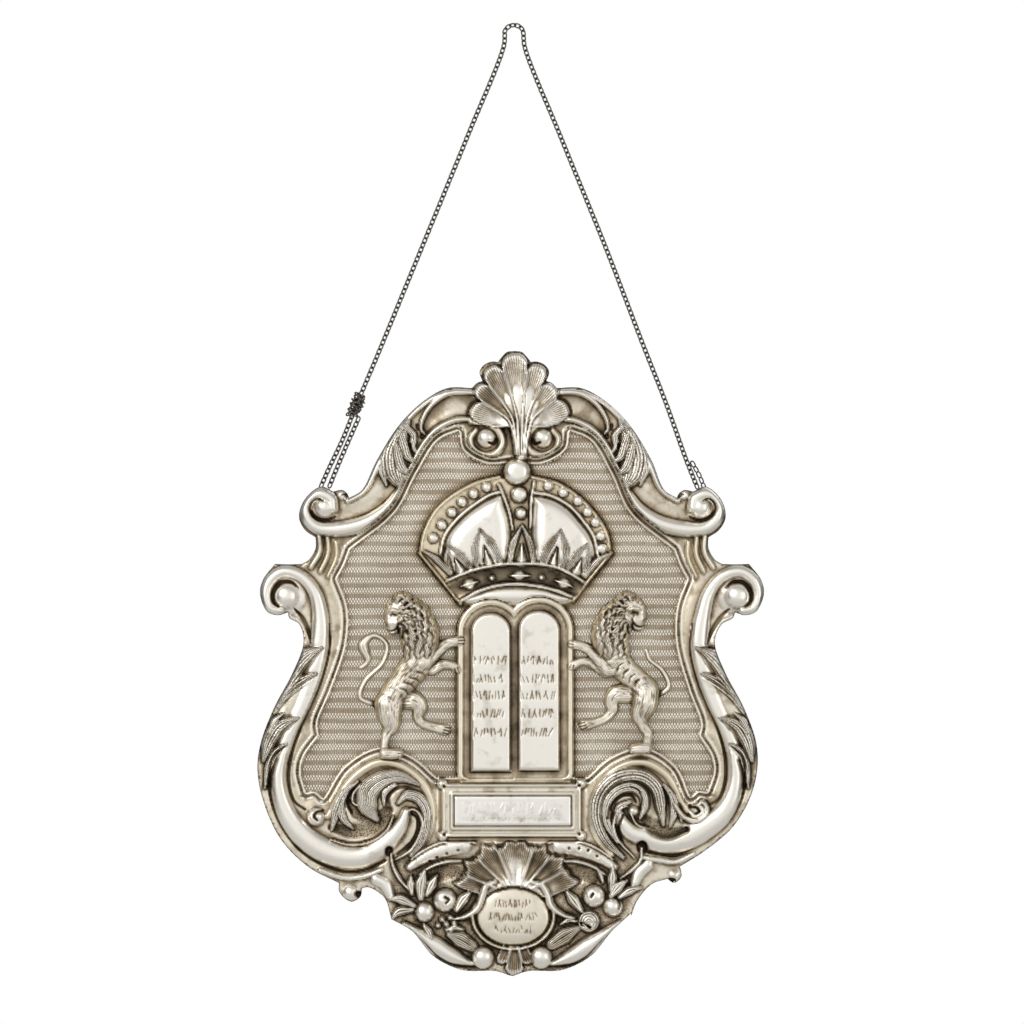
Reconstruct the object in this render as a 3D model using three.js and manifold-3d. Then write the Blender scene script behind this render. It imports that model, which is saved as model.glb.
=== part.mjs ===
// A chased silver torah shield on its hanging chain.
// Millimetres, +Z up. The shield faces -Y and the origin is the apex of the chain.

import * as THREE from 'three';
import { mergeVertices } from 'three/addons/utils/BufferGeometryUtils.js';
import Module from 'manifold-3d';

// Driving dimensions
const APEX = [1, 318];              // chain apex in the shield's own frame (x, z)
const CHAIN_BEHIND = 2.9;           // the chain hangs this far behind the shield's back plane
const WALL = 1.2;                   // sheet thickness, measured along the depth
const GAP = 0.3;                    // clearance between touching pieces

// Depth levels over the back plane
const EDGE_LEVEL = 1.3;             // cut edge of the sheet
const GROUND_LEVEL = 3;             // engine-turned ground of the panel
const BORDER_LEVEL = 4.2;           // hollows of the border
const EDGE_ROLL = 4;                // the border rolls down to the edge over this width
const EDGE_RISE = 9.5;              // most that the border can rise over that width
const ROLL_LEVEL = 9.5;             // crest of the main scroll rolls
const BALL_LEVEL = 11.5;            // crest of the volute balls
const LEAF_LEVEL = 8.2;             // crest of leaves and shell lobes
const RIDGE_LEVEL = 7;              // crest of the narrow ridges
const TABLET_LEVEL = 6.4;
const FRAME_LEVEL = 6;
const PLAQUE_LEVEL = 5.2;
const PLAQUE_THICKNESS = 1.1;
const TABLET_BEVEL = 1.6;
const FRAME_BEVEL = 2;
const WINDOW_BEVEL = 0.7;

// Mesh fineness
const EDGE_STEP = 3.2;              // spacing of points along the outline
const GRID_STEP = 2;                // spacing of the places where a point may be set
const EDGE_CLEAR = 1.5;             // inner points keep this far from the outline
const CRISP_STEP = 7;               // spacing of points along crisp straight edges
const ROW_STEP = 1.7;               // spacing of points along a roll, in half-widths
const POINT_CLEAR = 2.1;            // least distance between two points of the front
const BACK_CLEAR = 8;               // the same for the plainer back
const SPARE_POINTS = 260;           // points set last, where the relief departs most from the facets
const POINTS_PER_PASS = 65;
const BACK_PASSES = 3;              // rounds of lowering the back clear of the front

// The right half is drawn in and its lower lobe sits higher than the left one
const SIDE_DRAW_IN = 3;
const LOBE_DRAW_IN = 2.5;
const LOBE_LIFT = 8;
const TOP_LEAN = 2.4;

// Chain
const CHAIN_DIAMETER = 2.6;
const CHAIN_SIDES = 8;
const EYE_RADIUS = 2.2;
const EYE_WIRE = 0.65;
const TAB = { width: 5, depth: 1, height: 8 };

const SILVER = { color: 0xcfc9bd, metalness: 1, roughness: 0.32 };
const GILT_SILVER = { color: 0xcdbf9f, metalness: 1, roughness: 0.36 };
const PALE_SILVER = { color: 0xe2ded4, metalness: 1, roughness: 0.3 };
const DARK_SILVER = { color: 0x4d4338, metalness: 1, roughness: 0.45 };

// Outline of the left half from the top down, as smooth runs that meet at corners
const SHELL_RUNS = [
  [[1.5, 154.5], [-2.5, 154], [-5.5, 151], [-7, 149]],
  [[-7, 149], [-10, 149.2], [-14, 147.5], [-16.2, 144], [-14.8, 139.5]],
  [[-14.8, 139.5], [-17.5, 138.5], [-20, 136]],
];
const SIDE_RUNS = [
  [[-20, 136], [-32, 136], [-43.5, 130], [-56, 118], [-67.5, 100], [-75, 85], [-81.5, 81]],
  [[-81.5, 81], [-82.5, 83.3], [-85, 85], [-89.5, 84.2]],
  [[-89.5, 84.2], [-95.5, 86.7], [-103.5, 80.5], [-106.5, 71.5], [-103.5, 65], [-98.2, 61.3]],
  [[-98.2, 61.3], [-98.2, 56], [-101.5, 50.2], [-105, 48]],
  [[-105, 48], [-112, 47.8], [-118.5, 48]],
  [[-118.5, 48], [-124.3, 40.5], [-126, 33.5], [-122.5, 24.3], [-117, 22.4], [-112, 23.8]],
  [[-112, 23.8], [-111.3, 21], [-106.3, 17.8], [-104.2, 9], [-109.5, -6], [-119, -24], [-125.5, -41],
    [-127.3, -54], [-124.8, -69], [-116, -89], [-102, -103.3], [-86.5, -111.5]],
];
const LEFT_HOOK_RUNS = [
  [[-86.5, -111.5], [-86.3, -116], [-80.5, -120.8], [-75.8, -118.3], [-75.1, -114.2]],
  [[-75.1, -114.2], [-72, -113.6], [-63.8, -118.8], [-60.2, -129.7]],
];
const RIGHT_HOOK_RUNS = [
  [[84.2, -103.6], [84.6, -108.5], [81, -111.4], [77.6, -109.4]],
  [[77.6, -109.4], [70, -112], [62.5, -120.5], [59.6, -128]],
];
const FOOT_RUNS = [
  [[-60.2, -129.7], [-50, -135.5], [-39, -148.3], [-25, -155], [-8, -155.6], [-0.5, -158]],
];

// Edge of the engine-turned panel, left half from the top down
const PANEL_RUNS = [
  [[1.5, 98.5], [-13, 97.8], [-25, 105], [-26.8, 114]],
  [[-26.8, 114], [-36.5, 109.5], [-47, 93.5], [-58, 73.5], [-80.5, 54.8]],
  [[-80.5, 54.8], [-83.5, 47], [-87, 40.5]],
  [[-87, 40.5], [-82, 26], [-82.5, 8], [-90, -15], [-96.8, -32], [-96, -38]],
  [[-96, -38], [-103.5, -48.5], [-105.2, -56], [-102.8, -66]],
  [[-102.8, -66], [-98.5, -65.3], [-94.3, -68.8]],
  [[-94.3, -68.8], [-83.5, -52.5], [-66, -43.3], [-49.5, -48.2], [-37.5, -58.3]],
  [[-37.5, -58.3], [0, -58.3]],
];

// Rolls of the left half: route, half-widths along it and crest level
const SIDE_ROLLS = [
  // outer rim of the shoulder
  { route: [[-21, 133], [-32, 133.2], [-44, 126.5], [-57, 112], [-66, 97], [-74, 83.5], [-81, 78.8]],
    widths: [2.6], level: RIDGE_LEVEL + 0.8 },
  // inner ridge of the shoulder, round to the top volute
  { route: [[-8, 103], [-20, 106.5], [-24, 113], [-20, 119.5], [-29, 119.6], [-38, 115.5], [-50.5, 97], [-56, 86]],
    widths: [2, 2.2, 2.4], level: RIDGE_LEVEL },
  // lower roll of the ear
  { route: [[-57, 84], [-64, 75.5], [-76, 67.5], [-90, 65], [-99, 67.5], [-103.5, 74], [-101, 81.5], [-94, 83.5]],
    widths: [3, 4, 4.4, 4, 3.4], level: ROLL_LEVEL - 0.7 },
  // neck between the ear and the volute
  { route: [[-94.5, 61], [-94, 54], [-98, 45]], widths: [3.4], level: RIDGE_LEVEL },
  { route: [[-88.5, 59.5], [-88.5, 51], [-91.5, 43]], widths: [1.8], level: RIDGE_LEVEL },
  // volute roll, then the long side roll down to the lobe and into the swirl
  { route: [[-116.5, 25], [-121.8, 28], [-122.5, 36], [-118.5, 42.5], [-111, 44.6], [-102, 39.5], [-95.5, 26],
    [-93.8, 10], [-95.5, -10], [-103.5, -30], [-114.5, -46], [-117.5, -60], [-112.5, -78], [-98.5, -94],
    [-84, -99.3], [-68, -97.3], [-56, -87], [-51, -76]],
  widths: [2.6, 3.2, 3.6, 4, 4.2, 4, 3.4, 3, 3, 3.4, 4.4, 5, 5.6, 6, 5.8, 5.4, 4.6, 2.6], level: ROLL_LEVEL },
  // rim of the lobe
  { route: [[-123.5, -44], [-124.3, -57], [-118.5, -78], [-106, -97.4], [-90, -106.4], [-72, -107.6]],
    widths: [1.6, 2, 2.4], level: RIDGE_LEVEL - 0.5 },
  // ring of the lower swirl
  { route: [[-95, -76.5], [-88.5, -64], [-77, -52.5], [-62, -48.6], [-47.5, -54], [-38.8, -68], [-39.5, -84], [-50, -98]],
    widths: [2.6, 3.2], level: RIDGE_LEVEL + 0.3 },
  // drop stem
  { route: [[-60.5, -97], [-59, -104.5], [-51.5, -115.5]], widths: [1.4], level: RIDGE_LEVEL },
  // dotted bracket and the strap under it
  { route: [[-49.5, -101.5], [-36, -94], [-24, -92.5]], widths: [3.6, 4.2, 3.6], level: RIDGE_LEVEL },
  { route: [[-45, -106.5], [-36, -101.8], [-27, -100.8]], widths: [1.6], level: RIDGE_LEVEL },
  // crescent along the foot
  { route: [[-44, -138], [-37, -146], [-27, -151.2], [-18, -152]], widths: [3.2, 4, 3.4, 2.2], level: LEAF_LEVEL - 1 },
  // strap of the cartouche corner
  { route: [[-9.5, -111.5], [-15, -116], [-19.5, -125], [-29, -128.5]], widths: [2, 2.2, 1.6], level: RIDGE_LEVEL },
];

// Leaves of the left half: route, half-widths along it and crest level
const SIDE_LEAVES = [
  // shoulder leaf with three curled lobes and a side leaflet
  { route: [[-49, 122.5], [-55.5, 111], [-58, 99], [-55, 87.5]], widths: [2.6, 4.6, 5.2, 2.4], level: LEAF_LEVEL + 0.6 },
  { route: [[-52, 116], [-47.5, 115], [-45.5, 113.5]], widths: [2.4, 1.6], level: LEAF_LEVEL },
  { route: [[-54, 109], [-50, 106]], widths: [2.4, 1.6], level: LEAF_LEVEL },
  { route: [[-64.5, 99], [-63.5, 92], [-62, 87.5]], widths: [1.6, 2.2, 1.4], level: LEAF_LEVEL - 0.6 },
  // side leaves
  { route: [[-103, 9], [-102.5, 2], [-98.8, -6.5]], widths: [2, 3.6, 2], level: LEAF_LEVEL - 0.6 },
  { route: [[-108.5, -5], [-107, -11], [-112.5, -16]], widths: [2, 3, 1.6], level: LEAF_LEVEL - 1.2 },
  { route: [[-120, -31], [-115, -29.5], [-108, -28.5]], widths: [2.4, 3, 1.6], level: LEAF_LEVEL - 0.4 },
  { route: [[-123, -44], [-119.5, -40.5], [-113.5, -41]], widths: [2.2, 2.8, 1.4], level: LEAF_LEVEL - 0.8 },
  // fronds of the lower swirl
  { route: [[-80, -85], [-82, -75], [-77.5, -63], [-66, -56], [-53, -58.5], [-44.5, -69], [-44.5, -83]],
    widths: [2, 3.4, 3.4, 3, 2.8, 2.6, 2.2], level: LEAF_LEVEL - 1 },
  { route: [[-69, -80], [-72, -72], [-67, -63.5], [-57.5, -62]], widths: [2.4, 4, 3.4, 2], level: LEAF_LEVEL },
  { route: [[-61.5, -73], [-56.5, -66.5], [-49, -69]], widths: [2, 2.6, 2], level: LEAF_LEVEL },
  // fruit leaves
  { route: [[-45.5, -118], [-45, -112], [-43.5, -107]], widths: [2, 2.6, 1.2], level: LEAF_LEVEL - 1 },
  { route: [[-60, -119.5], [-55.5, -120], [-50.5, -122]], widths: [1.2, 2.4, 1.6], level: LEAF_LEVEL - 1 },
  { route: [[-25, -124.5], [-23.5, -120.5], [-21.5, -117]], widths: [2, 2.4, 1.2], level: LEAF_LEVEL - 1 },
  { route: [[-22, -137], [-27, -138], [-32, -135.5]], widths: [3.4, 3, 2], level: LEAF_LEVEL - 1 },
];

// Balls, buds and fruit of the left half: place, radius and crest level
const SIDE_BALLS = [
  { place: [-94.5, 77.5], radius: 5.6, level: BALL_LEVEL - 0.3 },
  { place: [-85.4, 82.3], radius: 2.4, level: RIDGE_LEVEL - 1 },
  { place: [-112.5, 33], radius: 6.4, level: BALL_LEVEL },
  { place: [-108, 20.6], radius: 2.2, level: RIDGE_LEVEL - 1.4 },
  { place: [-98, -78], radius: 5.2, level: ROLL_LEVEL - 0.4 },
  { place: [-33.5, -120], radius: 5.9, level: ROLL_LEVEL },
  { place: [-43.8, -126], radius: 4.8, level: ROLL_LEVEL - 0.8 },
  { place: [-31.5, -130.5], radius: 3.6, level: LEAF_LEVEL - 0.6 },
  { place: [-14.5, -149], radius: 5.8, level: ROLL_LEVEL },
  { place: [-12.5, 110.5], radius: 4.6, level: ROLL_LEVEL },
];
const HOOK_BALLS = [
  { place: [-80.6, -116.4], radius: 4, level: RIDGE_LEVEL },
  { place: [80.8, -107.6], radius: 3.2, level: RIDGE_LEVEL - 0.5 },
];

// Hollows sunk into the left half: route, half-widths and floor level
const SIDE_HOLLOWS = [
  { route: [[-22, 126.3], [-33, 126.4], [-41, 120.5], [-45.8, 112]], widths: [4.4, 4, 3, 1.4], level: 3.2 },
  { route: [[-63, 84], [-72, 76.5], [-84, 73]], widths: [3.4, 3.6, 2.4], level: 4 },
  { route: [[-60.5, -95.8], [-60.4, -96.6]], widths: [2.3], level: 3 },
  { route: [[-88.5, -85.5], [-76, -87], [-65, -82]], widths: [1.8, 3, 2.2], level: 3.4 },
  { route: [[-38, -107.5], [-29, -105.5]], widths: [2.6, 3.2], level: 3 },
];

// Shells: lobes fan out from a stem to their tips
const TOP_SHELL = {
  stem: [4, 105],
  lobes: [
    { tip: [1.4, 150.5], width: 7 },
    { tip: [-10.6, 143.5], width: 5.2 }, { tip: [13.4, 143.5], width: 5.2 },
    { tip: [-17, 133.8], width: 4.2 }, { tip: [20.4, 133.6], width: 4.2 },
    { tip: [-18.6, 125], width: 4.4 }, { tip: [24.2, 125.6], width: 4.4 },
  ],
};
const FOOT_SHELL = {
  stem: [2, -119],
  lobes: [
    { tip: [1.6, -93], width: 6.6 },
    { tip: [-14.6, -99.5], width: 6.2 }, { tip: [17.4, -98.8], width: 6.2 },
    { tip: [-21, -109.5], width: 5 }, { tip: [25, -110], width: 5 },
  ],
};
const FOOT_FAN = {
  stem: [1.5, -140],
  lobes: [
    { tip: [1.2, -153.5], width: 3.4 },
    { tip: [-5, -152.4], width: 2.8 }, { tip: [7.4, -152.2], width: 2.8 },
  ],
};

// Crown
const CROWN_EDGE = [[-47, 54], [-45.5, 63], [-37.5, 78], [-19.5, 89.5], [2, 92.5], [24, 89],
  [40, 77], [48.5, 64], [50.5, 55], [42, 43], [30.5, 28], [2, 26.5], [-26, 27.8], [-37, 42]];
const CROWN_GORES = [
  { place: [-17, 68], radii: [15.5, 13], turn: 0.62, level: 9.6 },
  { place: [21.5, 68], radii: [15.5, 13], turn: -0.62, level: 9.6 },
];
const CROWN_BANDS = [
  { route: [[-42, 57], [-34.5, 71], [-22, 82.5], [-8, 88.5]], widths: [2.8], level: 7.6 },
  { route: [[12, 88.5], [27, 82], [39, 70.5], [46.5, 57]], widths: [2.8], level: 7.6 },
  { route: [[-33, 41.5], [-15, 46.5], [3.5, 48], [20, 46.5], [36.5, 42]], widths: [1.7], level: 8.6 },
  { route: [[-26, 31.5], [-12, 36.5], [3.5, 38], [17, 36.5], [30.5, 32.5]], widths: [1.7], level: 8.6 },
  { route: [[-24, 28.6], [3, 28], [29, 29]], widths: [1.7], level: 7.6 },
  { route: [[2, 87], [4.2, 66]], widths: [4, 3], level: 8 },
];
const CROWN_LEAF_TIPS = [[-43, 54], [-31.5, 58], [-15.5, 65], [4.5, 68], [24.5, 64.5], [37.5, 58.5], [47, 54.5]];
const CROWN_LEAF_FEET = [[-34, 43], [-24, 45], [-10.5, 48], [4, 49.5], [18, 48], [29, 45.5], [37.5, 44]];
const CROWN_BEADS = [
  { place: [2, 93.5], radius: 6.4, level: 10.5 },
  { place: [3.5, 82.5], radius: 4.2, level: 10 },
  { place: [4.5, 73], radius: 2.9, level: 9.6 },
];

// Tablets and the plaque's frame: left, right, bottom and top edges
const TABLETS = [
  { left: -21.2, right: 0, bottom: -56.3, shoulder: 13.6 },
  { left: 2.5, right: 24.5, bottom: -56, shoulder: 14.4 },
];
const TABLET_SURROUND = { left: -27, right: 28, bottom: -57.5, shoulder: 14 };
const PLAQUE_FRAME = { left: -35, right: 34.6, bottom: -88.4, top: -61.6 };
const PLAQUE_WINDOW = { left: -29.4, right: 30, bottom: -83.4, top: -67.4 };
const CARTOUCHE = { place: [0.5, -128], radii: [18.4, 15], ring: 2.2 };

// Lions: each limb is a list of [x, z, radius, depth of its middle over the ground]
const LEFT_LION = {
  name: 'lion_left',
  limbs: [
    [[-54.5, 29.6, 6, 2.4], [-50, 19, 9.4, 2.6], [-45.5, 9, 8.4, 2.6], [-46, 1, 5.4, 2.2]],
    [[-55, 27.5, 6, 2.8], [-59, 22.5, 5, 2.8], [-61.6, 18.4, 3, 2.4]],
    [[-47, -1, 7.2, 2], [-54, -8.5, 6.4, 2], [-61, -16, 5.6, 2], [-64.6, -22, 5.8, 2]],
    [[-42, 3, 4, 2.4], [-35, 7, 3, 2.2], [-30, 9, 2.3, 1.8], [-25.8, 9.4, 2, 1.8]],
    [[-40, -1, 4, 1.8], [-34, -1, 2.8, 1.6], [-29, -1.6, 2.3, 1.6], [-26.8, -4, 2, 1.6]],
    [[-64, -22, 5.8, 2], [-59, -29, 4.6, 2.2], [-61, -35, 3, 2.4], [-63.6, -40, 2.4, 4], [-63, -46.4, 2.6, 6.6]],
    [[-64.5, -47, 2.5, 6.8], [-60, -46.8, 2.6, 6.8], [-56, -46.4, 2.2, 6.8]],
    [[-53, -18, 5, 1.6], [-47, -22, 4.5, 1.8], [-47, -29, 3.2, 1.6], [-42, -32, 2.4, 1.6], [-33, -34.6, 2.4, 1.6]],
    [[-68, -22.5, 1.3, 0.9], [-76, -18.5, 1.2, 0.9], [-73.5, -10.5, 1.2, 0.9], [-64.5, -1, 1.2, 0.9],
      [-63, 8, 1.2, 0.9], [-70, 12.6, 1.2, 0.9], [-74.6, 7, 1.2, 0.9], [-72, 0.6, 2, 1], [-76, -4, 1, 0.9]],
  ],
};
const RIGHT_LION = {
  name: 'lion_right',
  limbs: [
    [[57.5, 29.6, 6, 2.4], [51.5, 20, 9, 2.6], [47, 11, 8.2, 2.6], [50, 3, 5, 2.2]],
    [[59, 28, 6, 2.8], [62.8, 24, 5, 2.8], [65.2, 20, 3, 2.4]],
    [[53, -0.5, 6.6, 2], [58.5, -6.5, 6.4, 2], [64, -12, 5.6, 2], [69.5, -17, 5.6, 2]],
    [[56, -2, 4.8, 2.8], [49.5, -5, 3.8, 2.8], [43, 1, 2.9, 2.4], [36, 6.6, 2.3, 1.8], [29.4, 7.6, 2, 1.8]],
    [[47, -6, 3, 1.6], [41, -2, 2.5, 1.6], [35, 1.2, 2, 1.6], [29, -2.6, 2.2, 1.6]],
    [[69, -17, 5.6, 2], [64, -24, 4.8, 2.2], [63.6, -29, 3.4, 2.2], [67.4, -35, 2.5, 2.8], [66.6, -44, 2.4, 6.4]],
    [[67.4, -44.4, 2.3, 6.8], [63, -44, 2.4, 6.8], [59, -44, 2.1, 6.8]],
    [[60, -15, 5, 1.6], [51, -18, 4.6, 1.8], [48.4, -25, 3, 1.6], [43, -29.5, 2.3, 1.6], [36.5, -31.6, 2.4, 1.6]],
    [[71, -18.6, 1.3, 1], [78.2, -13.5, 1.2, 0.9], [75, -5, 1.1, 0.9], [68.6, 0.5, 1, 0.9], [67, 5, 0.9, 0.9]],
  ],
};
const LIMB_FLATNESS = 0.72;         // depth of a limb's section to its width
const LIMB_SIDES = 7;
const LIMB_STEP = 7.5;              // spacing of a limb's rings
const BEHIND_REACH = 30;            // depth of what is cut away behind a lion

// Chain routes in the shield's frame (x, z)
const LEFT_EYE = [-93.6, 83.4];
const RIGHT_EYE = [94.2, 82.4];
const APEX_BEND = 5;                // radius of the chain's turn at the apex
const LEFT_STRAND = [[-95.4, 87.6], [-92.6, 94], [-84.6, 111], [-78, 127.5], [-66.4, 155], [-45, 207], [-22, 263], [-4, 308]];
const RIGHT_STRAND = [[6.4, 307], [24, 263], [46, 209], [66, 157], [77, 129], [87.6, 99.4], [92.6, 87]];
const LEFT_RETURN = [[-91.2, 87.6], [-88.2, 95], [-82.4, 108.5], [-78.2, 117.8]];
const RIGHT_RETURN = [[96, 87], [94.4, 91.5], [91.5, 97.4]];
const KNOT = { top: [-75.1, 134.1], bottom: [-80.9, 120.9], radius: 3.3 };
const CHAIN_STEP = 3;               // tube steps, in chain diameters

const wasm = await Module();
wasm.setup();

const clamp01 = (value) => Math.min(1, Math.max(0, value));

function smoothstep(from, to, value) {
  const t = clamp01((value - from) / (to - from));
  return t * t * (3 - 2 * t);
}

// A point of the left half carried over to the right half
function toRight([x, z]) {
  const outer = smoothstep(80, 110, -x);
  const drawIn = outer * (SIDE_DRAW_IN * smoothstep(30, 5, z) + LOBE_DRAW_IN * smoothstep(-30, -70, z));
  const lift = LOBE_LIFT * smoothstep(-60, -105, z) * smoothstep(50, 72, -x);
  return [-x - drawIn + TOP_LEAN * smoothstep(60, 110, z), z + lift];
}

const mirrored = (runs) => runs.map((run) => run.map(toRight));

// Points at an even spacing along a smooth curve through [x, z] points, without the last one
function pointsAlong(points, spacing) {
  const curve = new THREE.CatmullRomCurve3(points.map(([x, z]) => new THREE.Vector3(x, 0, z)));
  const count = Math.max(1, Math.round(curve.getLength() / spacing));
  return curve.getSpacedPoints(count).slice(0, -1).map((p) => [p.x, p.z]);
}

function closedLoop(leftRuns, rightRuns, spacing) {
  const back = [...rightRuns].reverse().map((run) => [...run].reverse());
  return [...leftRuns, ...back].flatMap((run) => pointsAlong(run, spacing));
}

function distanceToSegment([ax, az], [bx, bz], x, z) {
  const dx = bx - ax;
  const dz = bz - az;
  const t = clamp01(((x - ax) * dx + (z - az) * dz) / (dx * dx + dz * dz));
  return { distance: Math.hypot(x - ax - t * dx, z - az - t * dz), t };
}

function distanceToLoop(loop, x, z) {
  let nearest = Infinity;
  for (let i = 0; i < loop.length; i += 1) {
    nearest = Math.min(nearest, distanceToSegment(loop[i], loop[(i + 1) % loop.length], x, z).distance);
  }
  return nearest;
}

function isInside(loop, x, z) {
  let inside = false;
  for (let i = 0, j = loop.length - 1; i < loop.length; j = i, i += 1) {
    const [ax, az] = loop[i];
    const [bx, bz] = loop[j];
    if ((az > z) !== (bz > z) && x < ((bx - ax) * (z - az)) / (bz - az) + ax) inside = !inside;
  }
  return inside;
}

// Forms of the relief: each takes the height so far at a place and returns the new one

function sampleStroke({ route, widths }) {
  const places = [...pointsAlong(route, 2), route[route.length - 1]];
  const half = places.map((_, i) => {
    const at = (i / Math.max(1, places.length - 1)) * (widths.length - 1);
    const low = Math.floor(at);
    const high = Math.min(low + 1, widths.length - 1);
    return widths[low] + (widths[high] - widths[low]) * (at - low);
  });
  return { places, half };
}

// Distance from a stroke's middle line, as a share of its half-width there
function acrossStroke(stroke, x, z) {
  let nearest = Infinity;
  for (let i = 0; i + 1 < stroke.places.length; i += 1) {
    const { distance, t } = distanceToSegment(stroke.places[i], stroke.places[i + 1], x, z);
    nearest = Math.min(nearest, distance / (stroke.half[i] + (stroke.half[i + 1] - stroke.half[i]) * t));
  }
  return nearest;
}

function boxOf(places, margin) {
  const xs = places.map((p) => p[0]);
  const zs = places.map((p) => p[1]);
  return [Math.min(...xs) - margin, Math.max(...xs) + margin, Math.min(...zs) - margin, Math.max(...zs) + margin];
}

const rounded = (across) => Math.sqrt(1 - across * across);

// Points in rows along a stroke: its middle line and both of its feet
function strokeRows({ places, half }) {
  const rows = [];
  let walked = Infinity;
  places.forEach(([x, z], i) => {
    const [ax, az] = places[Math.max(0, i - 1)];
    const [bx, bz] = places[Math.min(places.length - 1, i + 1)];
    const length = Math.hypot(bx - ax, bz - az);
    const isLast = i === places.length - 1;
    walked += Math.hypot(x - ax, z - az);
    if (walked < Math.max(ROW_STEP * half[i], POINT_CLEAR) && !isLast) return;
    walked = 0;
    const aside = [(-(bz - az) / length) * half[i], ((bx - ax) / length) * half[i]];
    rows.push([x, z], [x + aside[0], z + aside[1]], [x - aside[0], z - aside[1]]);
  });
  return rows;
}

function roll(spec) {
  const stroke = sampleStroke(spec);
  return {
    box: boxOf(stroke.places, Math.max(...stroke.half)),
    points: strokeRows(stroke),
    apply: (h, x, z) => {
      const across = acrossStroke(stroke, x, z);
      if (across >= 1) return h;
      return Math.max(h, GROUND_LEVEL + (spec.level - GROUND_LEVEL) * rounded(across));
    },
  };
}

function hollow(spec) {
  const stroke = sampleStroke(spec);
  return {
    box: boxOf(stroke.places, Math.max(...stroke.half)),
    points: stroke.places.filter((_, i) => i % 2 === 0),
    apply: (h, x, z) => {
      const across = acrossStroke(stroke, x, z);
      return across >= 1 ? h : Math.min(h, spec.level + (h - spec.level) * across * across);
    },
  };
}

function ball({ place, radius, radii = [radius, radius], turn = 0, level }) {
  const reach = Math.max(...radii);
  const ring = (share, count) => Array.from({ length: count }, (_, k) => {
    const angle = (2 * Math.PI * k) / count;
    const along = share * radii[0] * Math.cos(angle);
    const across = share * radii[1] * Math.sin(angle);
    return [
      place[0] + along * Math.cos(turn) - across * Math.sin(turn),
      place[1] + along * Math.sin(turn) + across * Math.cos(turn),
    ];
  });
  return {
    box: boxOf([place], reach),
    points: [place, ...ring(1, reach > 4 ? 12 : 7), ...(reach > 4 ? ring(0.7, 8) : [])],
    apply: (h, x, z) => {
      const along = (x - place[0]) * Math.cos(turn) + (z - place[1]) * Math.sin(turn);
      const across = (z - place[1]) * Math.cos(turn) - (x - place[0]) * Math.sin(turn);
      const out = Math.hypot(along / radii[0], across / radii[1]);
      return out >= 1 ? h : Math.max(h, GROUND_LEVEL + (level - GROUND_LEVEL) * rounded(out));
    },
  };
}

function field(loop, level, bevel) {
  return {
    box: boxOf(loop, 0),
    points: bevelPoints(loop, bevel),
    apply: (h, x, z) => {
      if (!isInside(loop, x, z)) return h;
      return Math.max(h, GROUND_LEVEL + (level - GROUND_LEVEL) * smoothstep(0, bevel, distanceToLoop(loop, x, z)));
    },
  };
}

function sunk(loop, level, bevel) {
  return {
    box: boxOf(loop, 0),
    points: bevelPoints(loop, bevel),
    apply: (h, x, z) => {
      if (!isInside(loop, x, z)) return h;
      return h + (level - h) * smoothstep(0, bevel, distanceToLoop(loop, x, z));
    },
  };
}

function shell({ stem, lobes }, level) {
  return lobes.map(({ tip, width }) => {
    const middle = [stem[0] + (tip[0] - stem[0]) * 0.55, stem[1] + (tip[1] - stem[1]) * 0.6];
    return roll({ route: [stem, middle, tip], widths: [width * 0.3, width * 0.7, width], level });
  });
}

function rectangle({ left, right, bottom, top }) {
  return [[left, bottom], [right, bottom], [right, top], [left, top]];
}

// A round-headed tablet
function tablet({ left, right, bottom, shoulder }) {
  const radius = (right - left) / 2;
  const arch = new THREE.EllipseCurve((left + right) / 2, shoulder, radius, radius, 0, Math.PI).getPoints(12);
  return [[left, bottom], [right, bottom], ...arch.map((p) => [p.x, p.y])];
}

const onRight = (spec) => ({ ...spec, route: spec.route.map(toRight) });
const ballOnRight = (spec) => ({ ...spec, place: toRight(spec.place) });
const bothSides = (make, specs) => [...specs.map(make), ...specs.map(onRight).map(make)];

const outline = closedLoop(
  [...SHELL_RUNS, ...SIDE_RUNS, ...LEFT_HOOK_RUNS, ...FOOT_RUNS],
  [...mirrored([...SHELL_RUNS, ...SIDE_RUNS]), ...RIGHT_HOOK_RUNS, ...mirrored(FOOT_RUNS)],
  EDGE_STEP,
);
const panel = closedLoop(PANEL_RUNS, mirrored(PANEL_RUNS), EDGE_STEP);

const crownLeaves = CROWN_LEAF_TIPS.map((tip, i) => (
  roll({ route: [CROWN_LEAF_FEET[i], tip], widths: [4.2, 1], level: LEAF_LEVEL + 0.8 })
));

const frameLoop = rectangle(PLAQUE_FRAME);
const windowLoop = rectangle(PLAQUE_WINDOW);
const tabletLoops = TABLETS.map(tablet);

const FORMS = [
  ...bothSides(hollow, SIDE_HOLLOWS),
  ...bothSides(roll, SIDE_ROLLS),
  ...bothSides(roll, SIDE_LEAVES),
  ...[...SIDE_BALLS, ...SIDE_BALLS.map(ballOnRight), ...HOOK_BALLS].map(ball),
  ...shell(TOP_SHELL, LEAF_LEVEL),
  ...shell(FOOT_SHELL, LEAF_LEVEL),
  ...shell(FOOT_FAN, LEAF_LEVEL - 1.5),
  field(CROWN_EDGE, 5, 2.5),
  ...CROWN_GORES.map(ball),
  ...CROWN_BANDS.map(roll),
  ...crownLeaves,
  ...CROWN_BEADS.map(ball),
  field(tablet(TABLET_SURROUND), GROUND_LEVEL + 0.9, 1.5),
  ...tabletLoops.map((loop) => field(loop, TABLET_LEVEL, TABLET_BEVEL)),
  field(frameLoop, FRAME_LEVEL, FRAME_BEVEL),
  sunk(windowLoop, PLAQUE_LEVEL - PLAQUE_THICKNESS - GAP, WINDOW_BEVEL),
  ball({ place: CARTOUCHE.place, radii: CARTOUCHE.radii.map((r) => r + CARTOUCHE.ring), level: 6 }),
  ball({ ...CARTOUCHE, level: ROLL_LEVEL }),
];

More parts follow.
